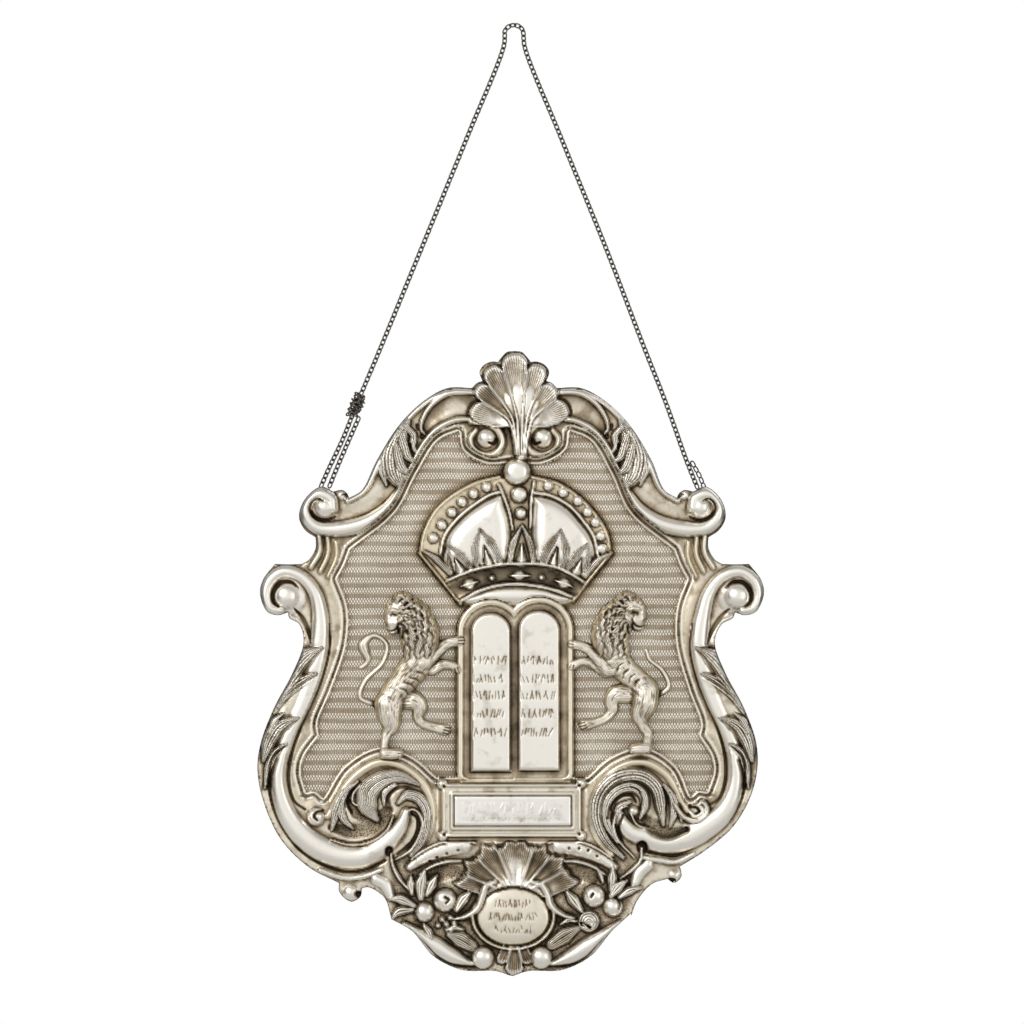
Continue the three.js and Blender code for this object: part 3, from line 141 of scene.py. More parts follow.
# Forms of the border, left half: kind, route, half-widths along it, level and finish.
# For a groove the level is its depth. The finish says how many lines are chased along a form, and how dark,
# gilt and stippled it is; for a leaf it also gives the painted shade on the sunk edge round it.
SIDE_FORMS = [
    # shoulder: hollow pocket, outer rim and inner ridge
    ("hollow", [(-21, 126.8), (-33, 126), (-40.4, 120), (-45, 111.6)], [5.6, 5.4, 4.2, 1.4], 3.2, {}),
    ("roll", [(-19, 133.8), (-32, 133.2), (-41, 126.6), (-45, 119.6), (-45.4, 115), (-44, 113.4)],
     [1.6, 1.8, 1.6, 1.4, 1.2, 0.8], 7.8, {}),
    ("roll", [(-33, 134.2), (-45, 127.4), (-57.6, 113.4), (-66.4, 98), (-74, 85), (-82, 79.8)],
     [1, 1.8, 1.8, 2, 2.2, 2], 7.2, {}),
    ("roll", [(-20, 120.6), (-29, 119.8), (-37.6, 115.4), (-45, 106.5), (-50.6, 95.5), (-56.4, 86)],
     [1.5, 1.9, 1.9], 7.4, {}),
    # neck flutes
    ("roll", [(-96.4, 62), (-96.2, 54), (-100.4, 46.5)], [1.9], 6.6, {"dark": 0.36, "gilt": 0.5}),
    ("roll", [(-92.2, 61), (-92, 53), (-95.8, 44.5)], [1.7], 6.6, {"dark": 0.3, "gilt": 0.7}),
    ("roll", [(-88, 59), (-87.8, 51.6), (-91.6, 42)], [1.6], 6.2, {"gilt": 0.8}),
    # ear: hollow, lower roll that turns up, over and down into the ball
    ("hollow", [(-60, 87), (-68, 79), (-78, 74.5), (-87, 73.6)], [3.4, 4, 3.8, 2.4], 4.2, {"dark": 0.15}),
    ("roll", [(-56, 84.5), (-63, 75.6), (-74, 68.4), (-88, 65.4), (-97.5, 66.5), (-102.6, 72), (-101.8, 79),
              (-96.5, 83), (-90.5, 80.6), (-89.6, 76)],
     [2.4, 3.2, 3.9, 4.4, 4.6, 4, 3.6, 3.6, 3.8, 3.4], 8.8, {}),
    ("ball", [(-94.4, 75.6)], [9], 6.8, {"dark": 0.15}),
    ("ball", [(-93.6, 76.4)], [5.8], 9.2, {}),
    ("groove", [(-94.4, 79.4), (-97, 80.7), (-99.8, 79), (-101, 75.4), (-98.8, 71.6), (-93.6, 69.9),
                (-88.4, 71.4)],
     [0.3, 0.6, 0.9, 1.1, 1, 0.8, 0.4], 2, {"dark": 0.35}),
    ("ball", [(-85.2, 82.4)], [2.7], 6.4, {}),
    ("groove", [(-82.4, 81.4), (-83.6, 82.9), (-85, 82.6)], [0.6, 0.7, 0.4], 1.4, {"dark": 0.7}),
    # volute roll and the long side roll down to the lobe
    ("roll", [(-115.5, 24.8), (-120.6, 26.2), (-123, 32), (-121.2, 39.3), (-114.5, 44.2), (-105.5, 42),
              (-98.6, 34), (-95.8, 22), (-96.2, 8), (-100, -9), (-105.6, -24), (-111.8, -37),
              (-115.4, -47.5)],
     [2.6, 3.2, 3.4, 3.6, 3.8, 4.4, 5.2, 5.6, 5.8, 5.6, 5.4, 5, 4.6], 8.2, {}),
    ("ball", [(-112.8, 32.6)], [11.6], 7.2, {"dark": 0.2}),
    ("ball", [(-112.6, 32)], [7.2], 9.8, {}),
    ("groove", [(-116.6, 26.6), (-119.2, 29.6), (-119, 34.6), (-115.4, 38.8), (-110.4, 39), (-107, 36.4)],
     [0.4, 0.9, 1.2, 1.3, 1, 0.4], 2.4, {"dark": 0.4}),
    ("groove", [(-108.6, 25.6), (-104.6, 21), (-101.6, 14), (-100.4, 8)],
     [0.6, 1.4, 1.3, 0.5], 1.5, {"dark": 0.15}),
    ("roll", [(-111, 21.4), (-107, 19.6), (-105, 15), (-103.6, 8)], [1.4, 1.4, 1.1, 0.8], 6.2, {}),
    # body under the side leaves, and the leaves: a broad lobe with a smaller one under it, twice
    ("roll", [(-101, -4), (-107.4, -16), (-113.4, -27), (-117.4, -38)], [3, 6.4, 6, 3], 7.4,
     {"dark": 0.12, "gilt": 0.4}),
    ("leaf", [(-120, -26), (-113.4, -17.2), (-107, -11), (-102, -8.2), (-97.8, -6.8)],
     [0.7, 1.9, 2.7, 2.6, 0.9], 8.8, SMALL_SIDE_LEAF),
    ("leaf", [(-117.6, -21), (-111.8, -10.4), (-106, -1.8), (-101.2, 2.8), (-94.8, 6.2)],
     [1, 3.2, 4.7, 4.2, 0.8], 9.2, SIDE_LEAF),
    ("roll", [(-98.6, -9.2), (-105.6, -13.4), (-112.4, -19), (-119, -27)], [0.6, 0.7, 0.7, 0.4], 8.6, {}),
    ("leaf", [(-123.4, -64), (-121.8, -54), (-118.8, -46.8), (-115.8, -43.8), (-112.4, -41.8)],
     [0.6, 1.5, 2.4, 2.3, 0.8], 8.8, SMALL_SIDE_LEAF),
    ("leaf", [(-124, -50), (-121, -40.6), (-116.8, -33.8), (-112, -30.6), (-106.8, -28.8)],
     [1.2, 3.4, 4.3, 3.5, 0.8], 9.2, SIDE_LEAF),
    ("leaf", [(-121.4, -36), (-118.2, -30), (-113.8, -26.4)], [1, 1.9, 0.6], 9, {"lines": 4, "dark": 0.1}),
    ("groove", [(-113.6, -43.2), (-118.6, -47.5), (-121.4, -57), (-120.4, -69), (-115.6, -82), (-107, -93.6),
                (-96.6, -101), (-84, -105.6), (-72.5, -104.6), (-63.4, -100)],
     [0.5, 0.7, 0.8, 0.8, 0.8, 0.9, 0.9, 0.9, 0.8, 0.7], 2, {"dark": 0.4}),
    # lobe: broad polished roll with a fine inner rim, ending in the tongue
    ("roll", [(-114, -46.5), (-116.6, -58), (-115, -70), (-110, -81), (-101, -90.4), (-89, -96.8),
              (-76, -98.2), (-66.4, -94), (-59, -87.4), (-54.6, -80.4), (-53, -75.6)],
     [2.8, 4.2, 4.8, 5.6, 6.4, 6.9, 6.6, 6.2, 5.6, 4.6, 2.6], 8.4, {}),
    ("roll", [(-90.6, -89.6), (-80, -92.2), (-69.6, -90.2), (-62.4, -84.6), (-59.4, -78)],
     [0.5, 0.8, 0.9, 0.8, 0.5], 8.6, {"gilt": 0.5}),
    ("groove", [(-91.2, 18), (-91.2, 6), (-94.8, -9), (-100.4, -23), (-106.6, -36), (-110.4, -48),
                (-111.6, -60),
                (-108.8, -70.5), (-103.4, -74.6)],
     [0.4, 0.7, 0.8, 0.8, 0.9, 0.9, 0.9, 0.9, 0.6], 1.3, {"dark": 0.35}),
    ("ball", [(-98, -78.4)], [5], 8.4, {}),
    ("groove", [(-94.6, -75.4), (-97.4, -75.8), (-98.8, -78), (-97, -80)],
     [0.8, 0.9, 1, 0.6], 2.4, {"dark": 0.6}),
    # ring of the swirl
    ("roll", [(-92, -78), (-88, -71.4), (-83.4, -63.6), (-76.8, -56.6), (-67.6, -51.4), (-59.4, -51.4),
              (-51.6, -55.2), (-44.8, -61.4), (-40.8, -69.6), (-40, -79), (-43.2, -89), (-49.2, -96.6)],
     [2, 2.5, 2.7, 2.7, 2.6], 6.4, {"gilt": 0.7}),
    # rim below the lobe, and the waist
    ("roll", [(-96, -104.8), (-84, -108.8), (-74, -108), (-65, -104.6)],
     [1.4, 1.6, 1.8, 1.4], 6.4, {"stipple": 0.5}),
    ("roll", [(-68, -109.5), (-63.5, -112), (-60.6, -118)], [3.4, 3.6, 2.4], 6.6, {}),
    # dotted bracket with its two bright rims, and the recess under it
    ("roll", [(-51, -103.4), (-43, -98), (-33, -94.4), (-23.5, -93)], [2.4, 3.8, 4.6, 4.2], 6.2,
     {"dark": 0.15, "stipple": 0.2}),
    ("roll", [(-50.6, -99.6), (-42, -93.8), (-32, -90.2), (-22.5, -89.6), (-18, -91.6)],
     [0.5, 0.7, 0.8, 0.9, 0.7], 7.6, {}),
    ("roll", [(-46.4, -107), (-40, -103), (-32.5, -100.7), (-25.6, -100.4)], [0.6, 1, 1.1, 0.9], 7.6, {}),
    ("hollow", [(-41, -109.5), (-34, -106.4), (-28, -106)],
     [3, 4.2, 3.4], 2.6, {"dark": 0.42, "gilt": 1, "stipple": 1}),
    # crescent along the foot and its rim
    ("roll", [(-54, -131.6), (-46, -137.6), (-38, -142.8), (-30, -147.6), (-20, -151.6)],
     [1.2, 3.8, 4.9, 4, 1.2], 8.2, {}),
    ("groove", [(-51, -133.4), (-44, -140.6), (-37, -148), (-28, -152.6), (-16, -153.4)],
     [0.5, 0.6, 0.7, 0.7, 0.6], 1.6, {"dark": 0.5}),
    ("ball", [(-14.6, -148.6)], [5.8], 8.2, {}),
    # top volute with its wrapped mouldings
    ("roll", [(-20.5, 119), (-13, 118.6), (-6.4, 114), (-5, 107.6), (-9, 103), (-15, 102.2), (-19.6, 105.4),
              (-20.8, 110.6), (-18, 115)], [1.7, 2.2, 2.4, 2.4, 2.3, 2.3, 2.2, 2, 1.6], 7.8, {"gilt": 0.5}),
    ("roll", [(-24.4, 112), (-22.6, 104.4), (-16, 99.9), (-8, 99.4), (-2, 100.4)], [1.3], 6.2, {"gilt": 0.8}),
    ("ball", [(-12.9, 111)], [5.3], 8.8, {}),
    ("groove", [(-11.6, 108.8), (-9.4, 108.2), (-8, 110.4)], [0.9, 1, 0.6], 2.2, {"dark": 0.9}),
    # shoulder leaf: long hatched lobes with hooked tips
    ("leaf", [(-64.4, 101), (-65, 95), (-62.6, 87.2)], [0.8, 2, 0.6], 7.4, {"lines": 4}),
    ("leaf", [(-51.6, 119.6), (-56.6, 109.6), (-58.6, 100), (-57.4, 92), (-54.2, 86)],
     [1, 4.8, 6.8, 6.2, 1.2], 8, {"lines": 8, "dark": 0.16, "stipple": 0.8}),
    ("leaf", [(-53, 117), (-49.2, 112), (-49.6, 107.4), (-48.4, 104.6)],
     [1.4, 1.9, 1.9, 1], 8.2, SHOULDER_LOBE),
    ("leaf", [(-56, 114), (-53.6, 107), (-52, 101.6), (-47.8, 98.6)],
     [1.6, 2.4, 2.4, 0.7], 8.4, SHOULDER_LOBE),
    ("leaf", [(-58, 108), (-56.6, 101), (-54.4, 95.6), (-49.2, 92.4)],
     [1.4, 2.4, 2.4, 0.7], 8.6, SHOULDER_LOBE),
    ("hollow", [(-47.4, 117.2), (-47, 115.4)], [1.2, 0.9], 3.8, {"dark": 0.7}),
    ("hollow", [(-51, 107.6), (-50.6, 105.8)], [1, 0.8], 4.4, {"dark": 0.7}),
]

LEFT_SWIRL = [
    ("hollow", [(-90, -83.6), (-80, -85.4), (-69, -82), (-62, -75)], [2.2, 4.4, 5.6, 3], 3,
     {"dark": 0.42, "stipple": 1}),
    ("hollow", [(-81, -71), (-78.4, -76.4), (-74, -80)],
     [1.8, 3, 2.4], 3.2, {"dark": 0.42, "gilt": 0.6, "stipple": 1}),
    ("leaf", [(-77, -60.6), (-83.8, -67), (-87.4, -75), (-90, -85)], [0.8, 2.4, 3, 0.8], 6.6,
     {"stipple": 1, "lines": 5}),
    ("leaf", [(-85, -72), (-84.4, -79), (-79.6, -84)], [1.4, 2.2, 0.7], 6.6, {"stipple": 1, "lines": 4}),
    ("leaf", [(-46.5, -62), (-55.5, -58.2), (-65, -59.8), (-71.8, -65.6), (-72, -73), (-67.4, -79.8)],
     [1, 3, 4.6, 5.8, 5, 1.2], 7.8, {"lines": 12, "dark": 0.15, "stipple": 0.7}),
    ("leaf", [(-58.5, -62.6), (-63, -66.6), (-64, -72.6)], [1.6, 2.4, 0.7], 7.2, {"lines": 4}),
    ("groove", [(-75.6, -60.8), (-80.8, -66), (-82.2, -71.4), (-80, -76.4)],
     [0.4, 0.9, 0.9, 0.6], 2.2, {"dark": 0.5}),
    ("roll", [(-76, -62.2), (-79.2, -66.6), (-79.6, -71), (-77.6, -72.6)], [0.5, 0.6, 0.5], 7.4, {}),
    ("hollow", [(-61.6, -73), (-62, -68.6), (-58.6, -64.6), (-53, -63.4), (-47.6, -65.6)],
     [1.5, 1.3, 1.1, 0.9, 0.5], 4, {"dark": 0.5}),
    ("leaf", [(-50.5, -97.5), (-44.8, -90), (-42.4, -81), (-43.2, -73.6), (-47, -68.6), (-52.4, -67.4),
              (-57, -71.4)],
     [1.2, 2.2, 2.4, 2.7, 3, 2.9, 1], 7.4, {"lines": 6, "dark": 0.15, "stipple": 0.8}),
    ("groove", [(-57.4, -97), (-50.4, -91.4), (-47, -84.6), (-47.2, -79), (-50, -76.6)],
     [0.6, 1.1, 1.2, 1, 0.5], 1.8, {"dark": 0.3}),
    ("roll", [(-58, -99.6), (-51, -95.2), (-46.6, -88.5), (-44.8, -81.8), (-46.4, -76.6), (-49.6, -74.4),
              (-52.2, -75.6)],
     [0.5, 0.8, 0.8, 0.8, 0.8, 0.8, 0.6], 8.2, {}),
    ("hollow", [(-61.3, -94.8), (-61.5, -96)], [2.3], 3.4, {"dark": 0.7}),
    ("roll", [(-60.5, -96.6), (-59.6, -102), (-56.6, -108.5), (-51.8, -114.6)], [0.7, 1, 1.2, 0.4], 7.6, {}),
]

RIGHT_SWIRL = [
    ("hollow", [(87, -84.4), (78, -86.4), (71, -83), (66, -79)],
     [1.8, 3.4, 5, 2.6], 3.4, {"dark": 0.3, "stipple": 1}),
    ("leaf", [(75.6, -62), (80, -68), (81.4, -74), (79, -83.4)], [0.8, 2.2, 2.8, 0.7], 6.6,
     {"stipple": 1, "lines": 5}),
    ("leaf", [(82, -72.5), (84, -77), (84.8, -81)], [1.4, 1.6, 0.6], 6.4, {"stipple": 1, "lines": 3}),
    ("leaf", [(55.5, -98.5), (47, -90), (42.6, -79), (43.8, -68.4), (49.6, -60.8), (58, -57.4), (66.4, -58.4),
              (72.4, -64), (74.4, -72), (75.6, -82.5)],
     [1.2, 2.4, 3.2, 3.8, 4, 4, 3.8, 3.6, 3.2, 0.8], 7.2, {"stipple": 0.9, "lines": 5, "dark": 0.15}),
    ("leaf", [(52.6, -91), (47.2, -80), (48, -70.6), (53.6, -64.6), (60.4, -63.4), (65.4, -67), (66.4, -73),
              (64, -79)],
     [0.8, 2.2, 2.6, 2.9, 2.9, 2.8, 2.4, 0.8], 7.8, {"lines": 5, "stipple": 0.7, "dark": 0.1}),
    ("groove", [(47.6, -79), (49.6, -72.4), (54.6, -67.6), (59.6, -67.4), (62, -71)],
     [0.7, 1, 1.1, 1, 0.6], 1.6, {"dark": 0.35}),
    ("groove", [(59, -63), (63.2, -65), (64.8, -70), (63.6, -75)], [0.4, 0.6, 0.7, 0.5], 1.4, {"dark": 0.35}),
    ("leaf", [(51.6, -81), (53.4, -73.6), (59, -70.6)], [1, 1.9, 1.2], 7.2, {"lines": 4}),
    ("groove", [(75.2, -63.4), (77.4, -69), (76.8, -76)], [0.4, 0.9, 0.6], 2.2, {"dark": 0.5}),
    ("ball", [(60.6, -75.4)], [3.2], 7.4, {"dark": 0.3}),
    ("groove", [(58.5, -97), (54.6, -90), (53.2, -83), (55.6, -77.4)],
     [0.5, 0.9, 1, 0.7], 1.8, {"dark": 0.3}),
    ("roll", [(61, -98.6), (52.6, -89), (50.8, -80.8), (53, -75.2), (57.4, -72.8)],
     [0.5, 0.8, 0.9, 0.8, 0.6], 8.2, {}),
    ("hollow", [(65, -92.8), (65.1, -93.8)], [3], 3, {"dark": 1}),
    ("roll", [(64.8, -93.6), (64.2, -99.6), (59.8, -104.8), (54, -109.2)], [0.9, 1, 1, 0.4], 7.6, {}),
    ("roll", [(81.4, -72.4), (85.6, -78), (91, -80.4), (96, -78), (97.4, -73.6), (95, -70.8), (92.6, -72.6)],
     [1, 1.4, 1.6, 1.6, 1.5, 1.4, 0.9], 8.6, {}),
    ("groove", [(90, -70), (89, -73.6), (91.4, -76.6), (94, -75.4)], [0.8, 1, 1, 0.6], 1.4, {"dark": 0.3}),
]

FOOT_FORMS = [
    # hooks at the waist
    ("ball", [(-80.6, -116.2)], [4.4], 7, {}),
    ("hollow", [(-77, -116.6), (-76.6, -117.4)], [1.5], 2.4, {"dark": 1}),
    ("ball", [(81, -107.6)], [3.4], 6, {"dark": 0.3}),
    ("hollow", [(79, -109.6), (81, -109.8)], [0.9], 2.4, {"dark": 1}),
    # leaves among the fruit
    ("leaf", [(-45.6, -118.5), (-45.4, -112.5), (-43.6, -104.6)], [1.8, 3.3, 0.6], 8, {"lines": 4}),
    ("leaf", [(-42.4, -117), (-40, -111.6), (-37.6, -107.4)], [1.4, 2.7, 0.6], 7.6, {"lines": 3}),
    ("leaf", [(-50, -116.6), (-50.6, -111.4), (-50.4, -107.6)], [1.2, 2.2, 0.5], 7.4, {"lines": 3}),
    ("leaf", [(-61, -119.4), (-56, -119.4), (-49, -122.6)], [0.6, 2.7, 1.4], 7.6, {"lines": 4}),
    ("leaf", [(-60, -129), (-56.6, -125.6), (-50, -124.6)], [0.8, 2.6, 1.4], 7, {"lines": 3, "dark": 0.3}),
    ("leaf", [(-27.6, -124.6), (-24.4, -119.4), (-20.4, -115.4)], [1.6, 2.8, 0.6], 7.6, {"lines": 3}),
    ("leaf", [(-26, -113), (-24, -109), (-23, -106)], [1.2, 1.8, 0.6], 7, {"lines": 3}),
    ("leaf", [(-44, -132.4), (-41.4, -136), (-40, -139.6)], [1, 2, 0.6], 7, {"lines": 3}),
    ("leaf", [(-20, -143), (-25.6, -139.6), (-31.6, -137)], [3, 4, 1.4], 6.8, {"lines": 7, "dark": 0.4}),
    ("leaf", [(-33, -134.8), (-29, -133.6), (-24.4, -134.4)], [0.8, 1.6, 0.8], 7, {"lines": 3}),
    ("leaf", [(50.4, -103), (50.2, -109), (49.6, -115)], [0.6, 2.6, 1.2], 7.6, {"lines": 3}),
    ("leaf", [(57.4, -110), (53.6, -113), (49.4, -117.8)], [0.6, 3, 1.4], 7.8, {"lines": 4}),
    ("leaf", [(64.6, -113.6), (59, -115), (53.6, -118.4)], [0.6, 2.4, 1.2], 7.6, {"lines": 3}),
    ("leaf", [(26.6, -114.6), (30.4, -119.6), (34.6, -125)], [0.6, 2.9, 1.4], 7.6, {"lines": 3}),
    ("leaf", [(24, -132), (27.6, -130), (32, -130.4)], [0.6, 1.4, 0.8], 7, {"lines": 3}),
    ("leaf", [(20, -142), (26, -138), (33, -134)], [3, 4, 1.6], 6.4, {"lines": 7, "dark": 0.5}),
    ("leaf", [(45.4, -110.8), (44, -106.6), (42, -103.4)], [0.9, 1.4, 0.5], 7, {"lines": 3}),
    # fruit
    ("ball", [(-44, -126)], [5.3], 8, {}),
    ("groove", [(-46.6, -121.6), (-48.6, -126), (-46.8, -130)], [0.4, 0.6, 0.4], 1.2, {"dark": 0.8}),
    ("ball", [(-33.5, -120)], [6.1], 8.6, {}),
    ("ball", [(41, -118)], [5.8], 8.4, {}),
    ("ball", [(50.4, -123.4)], [5.1], 7.8, {}),
    ("groove", [(53, -119.4), (54, -122.4), (53, -125)], [0.4, 0.7, 0.4], 1.4, {"dark": 0.8}),
    ("ball", [(38.4, -130.6)], [5.7], 8, {"lines": 8}),
    ("hollow", [(34.6, -131.6), (38.6, -133.6)], [1, 1.2], 4, {"dark": 0.9}),
    ("roll", [(35.4, -131.8), (38.4, -134.2)], [0.5], 7.4, {}),
    ("hollow", [(-33.6, -118), (-31.6, -119.6), (-33, -121.4)], [0.6, 0.8, 0.5], 6.6, {"dark": 1}),
    ("hollow", [(40.4, -116.6), (39.4, -118.2)], [0.8, 0.6], 6.6, {"dark": 1}),
]
BERRIES = [(-35, -129.4), (-30.8, -128.6), (-32.8, -131.8), (-28.8, -131.4), (-37, -132.6), (-30.4, -134.4)]
BERRY_RADIUS = 1.6
BERRY_LEVEL = 7.5
BRACKET_DOTS = [(-41, -100.5), (-37.5, -98.5), (-32.5, -96.5), (-27, -95),
                (28.5, -94), (33.5, -94), (38, -95), (42.5, -98)]
DOT_RADIUS = 0.9

# Shells: foot of the ribs, way up, level, shade, bearings of the ribs, reach and ruffles of each lobe.
# The shade deepens the flutes and sets the painted shade in them.
TOP_SHELL = ((4.5, 117), 1, 8.6, 0.26, [-95, -58, -38.6, -18, 6, 27, 52, 95],
             [27, 30, 34, 37, 32.5, 26.4, 25.6], [0, 0, 0, 0, 0, 0, 0])
FOOT_SHELL = ((2.4, -118), 1, 8.6, 0.6, [-90, -67, -46, -22.4, 19.2, 40, 61, 92],
              [32, 31.6, 31.6, 29.6, 29.6, 31, 32], [2, 2, 2, 3, 2, 2, 2])
FOOT_FAN = ((1.5, -136), -1, 7, 0.5, [-44, -15, 13, 42], [17.6, 21.4, 17.6], [0, 0, 0])
SHELL_LINE = 0.0135
SHELL_HATCH = 0.6
SHELL_STIPPLE = 0.35
# Stem of the top shell: route, half-widths and level
STEM = ([(4.6, 129), (4.6, 120), (4.8, 111), (4.6, 102.6)], [12, 8.4, 4.8, 3.6], 8.9)
# Ribs of the top shell where they run down into its stem: reach aside, height over the shell's foot,
# and whether that height follows the fan of the ribs
STEM_STATIONS = [(15, 15, 1), (7.2, 5, 1), (4.4, -5, 0), (3, -14, 0)]
STEM_RIB_WIDTHS = [0.4, 0.9, 1, 0.9]
STEM_RIB_LEVEL = 9.8
STEM_GROOVE = 0.7

# Crown
STAR_WIDTHS = [0.2, 1.1, 2.9, 1.1, 0.2]
CROWN_TOP = [(-47, 54), (-45.5, 63), (-37.5, 78), (-19.5, 89.5), (2, 92.5), (24, 89), (40, 77), (48.5, 64),
             (50.5, 55)]
CROWN_SIDES = [(50.5, 55), (42, 43), (30.5, 28), (17, 26.6), (2, 26), (-12, 26.6), (-26, 27.8), (-37, 42),
               (-47, 54)]
CROWN_GORES = [
    [(-34, 52), (-32.4, 61.5), (-26, 69.8), (-17.6, 76.8), (-10, 81.2), (-5.8, 82.4), (-3.2, 76),
     (-1.2, 69), (-0.6, 58), (-3, 49), (-17, 46), (-29, 43)],
    [(10.6, 82), (18.6, 80.8), (27.6, 75.8), (35.2, 67.4), (39.4, 61), (41.4, 52), (35, 43), (20, 46),
     (11, 49), (9.8, 58), (9.8, 70)],
]
GORE_ROUND = 8.0
CROWN_RIMS = [
    ("roll", [(-35.8, 53), (-33.8, 62), (-27.2, 70.8), (-18.4, 78), (-10.4, 82.8), (-5, 84.2)],
     [1.1], 7.4, {}),
    ("roll", [(11.4, 83.6), (18.9, 82.3), (28.5, 77.2), (36.5, 68.4), (40.8, 61.9), (43, 52)],
     [1.1], 7.4, {}),
    ("roll", [(-45.6, 55), (-43.6, 64), (-36.4, 76.4), (-20, 87.6), (-6, 91.6)], [1], 6.4, {"gilt": 0.8}),
    ("roll", [(10, 91.4), (24, 87.6), (38.4, 76.4), (47, 64), (48.8, 56)], [1], 6.4, {"gilt": 0.8}),
]
CROWN_STRAP = [
    ("roll", [(-6.6, 87.6), (-3.6, 80.6), (-1.2, 73.4), (0.4, 65)], [1.1, 1, 0.9, 0.7], 8.4, {}),
    ("roll", [(11, 89), (9.5, 79), (9, 66)], [1.1, 1, 0.7], 8.4, {}),
    ("hollow", [(3, 88), (4.6, 68)], [3.6, 2.8], 5.2, {"dark": 0.15, "gilt": 0.5}),
]
CROWN_LEAVES = [((-31.7, 57.8), (-30.6, 43.6), (-20.8, 46)), ((-16.1, 65.8), (-17.6, 47.4), (-5.6, 49)),
                ((5, 67.6), (-1.2, 49), (10.8, 49)), ((24.6, 65.4), (15, 49), (25.8, 46.6)),
                ((37.7, 58.1), (28.2, 46), (36, 42.6))]
CROWN_BASE = [
    ("leaf", [(-44, 54.4), (-38, 50.6), (-31, 43.4)], [0.6, 1.8, 1.4], 8, {"lines": 4, "dark": 0.25}),
    ("leaf", [(48, 53), (42.6, 49.6), (36.6, 42)], [0.6, 2, 1.4], 8, {"lines": 4, "dark": 0.25}),
    ("roll", [(-46, 53.4), (-36, 41), (-25.6, 28)], [0.9], 7, {"gilt": 0.9}),
    ("roll", [(49.6, 53.6), (40, 42), (30.6, 29.6)], [0.9], 7, {"gilt": 0.9}),
    ("hollow", [(-28.6, 35), (-18, 39.4), (-6.5, 42), (4, 42.8), (14.6, 42), (24, 39.4), (32.4, 35.6)],
     [4, 4.4, 4.6, 4.4, 4], 4.2, {"dark": 0.75}),
    ("roll", [(-23, 29.6), (-10, 32), (3, 32.4), (16, 32), (27.4, 30.4)], [1.2, 4, 4.6, 4, 1.2], 6.6, {}),
    ("roll", [(-32.3, 39.8), (-22, 44.2), (-7.4, 47.5), (4.3, 48.3), (18.1, 47.3), (27.5, 44.2),
              (35.6, 39.2)],
     [1.2], 9, {}),
    ("roll", [(-25.5, 29.8), (-16, 34.8), (-7.4, 37.3), (1.4, 38.1), (14.5, 36.8), (21.7, 34.9),
              (29.8, 31.8)],
     [1.15], 8.4, {}),
    ("keel", [(-26, 36.8), (-23.4, 37.5), (-21.2, 38.1), (-19, 38.7), (-16.4, 39.6)], STAR_WIDTHS, 7.8, {}),
    ("keel", [(-1.4, 42.2), (1.4, 42.2), (3.9, 42.2), (6.4, 42.2), (9.2, 42.2)], STAR_WIDTHS, 7.8, {}),
    ("keel", [(20.8, 40.2), (23.4, 39.2), (25.7, 38.5), (28, 37.7), (30.6, 36.4)], STAR_WIDTHS, 7.8, {}),
    ("ball", [(-10.1, 41)], [1.9], 7.4, {}),
    ("ball", [(14.8, 41.3)], [1.9], 7.4, {}),
]
CROWN_PEARLS = [(-39.4, 61), (-35, 67.5), (-30, 73.8), (-25, 79.1), (-19.2, 83.1), (-12.7, 86.4),
                (18.1, 87.2), (25.6, 83.8), (32.9, 79.6), (37.7, 74.1), (41.7, 69), (44.4, 62.1), (45, 55.8)]
PEARL_RADIUS = 2.8
PEARL_LEVEL = 7.4
CROWN_BEADS = [((2.5, 94), 6.9, 9.4), ((3.5, 82.7), 4.3, 8.8), ((4.4, 73.3), 3.1, 8.6)]
# Groove round a pearl and round a bead: extra half-width, depth and finish
PEARL_SEAT = (0.7, 0.9, {"dark": 0.25, "gilt": 0.9})
BEAD_SEAT = (0.9, 1.2, {"dark": 0.4, "gilt": 0.5})
CROWN_LEVEL = 5.2
CROWN_BEVEL = 2.2
CROWN_GILT = 0.8
CROWN_GLOW = (3.6, 1)       # the gilding round the crown fades out over this distance
GORE_FOOT = 4.4
GORE_RISE = 5
CROWN_LEAF = ([0.5, 2.1, 1.7], 8.4, {"lines": 5, "dark": 0.36, "stipple": 0.6})
CROWN_LEAF_WAIST = (0.45, 0.55)     # shares of the tip and of the foot in the place of a leaf's waist
CROWN_LEAF_BOW = 1.3
CROWN_KEEL = ([0.3, 2.9], 8.2, {})

# Tablets, plaque frame and window: left, right, bottom and shoulder or top
TABLETS = [(-21.2, 0, -56.3, 13.6), (2.5, 24.5, -56, 14.4)]
TABLET_LEVEL = 6.6
TABLET_BEVEL = 1.5
TABLET_ROWS = [0, -9.2, -17.5, -26.5, -36]
TABLET_MARGINS = (2.2, 3.2)
# Strokes of an inscription: height, depth and darkness
TABLET_STROKES = (4, 0.4, 0.8)
CARTOUCHE_STROKES = (3.6, 0.35, 0.8)
CARTOUCHE_SEED = 50
# Rows of the plaque: margins, height over its middle, strokes and seed
PLAQUE_ROWS = [((5, 6), 1.2, (5.6, -0.3, 0), 71), ((4, 5), -4.4, (2, 0.12, 0.15), 72)]
SURROUND_WIDTH = 6.4
SURROUND_RISE = 0.7
SURROUND_GILT = 0.55
SURROUND_SHADOWS = [(0.4, (1.6, 0.3)), (0.12, (3.4, 2.6))]     # darkness and where it fades out
SURROUND_RIDGE = 4.7        # distance of the surround's ridge from the tablets
SURROUND_RIDGE_HALF = 1.7   # its half-width and its rise
PLAQUE_ZONE = (-37, 36.6, -90.4, -59.6)
PLAQUE_FRAME = (-35, 34.6, -88.4, -61.6)
PLAQUE_WINDOW = (-29.4, 30, -83.4, -67.4)
PLAQUE_INSET = 0.8
PLAQUE_LEVEL = 5.2
PLAQUE_THICKNESS = 1.1
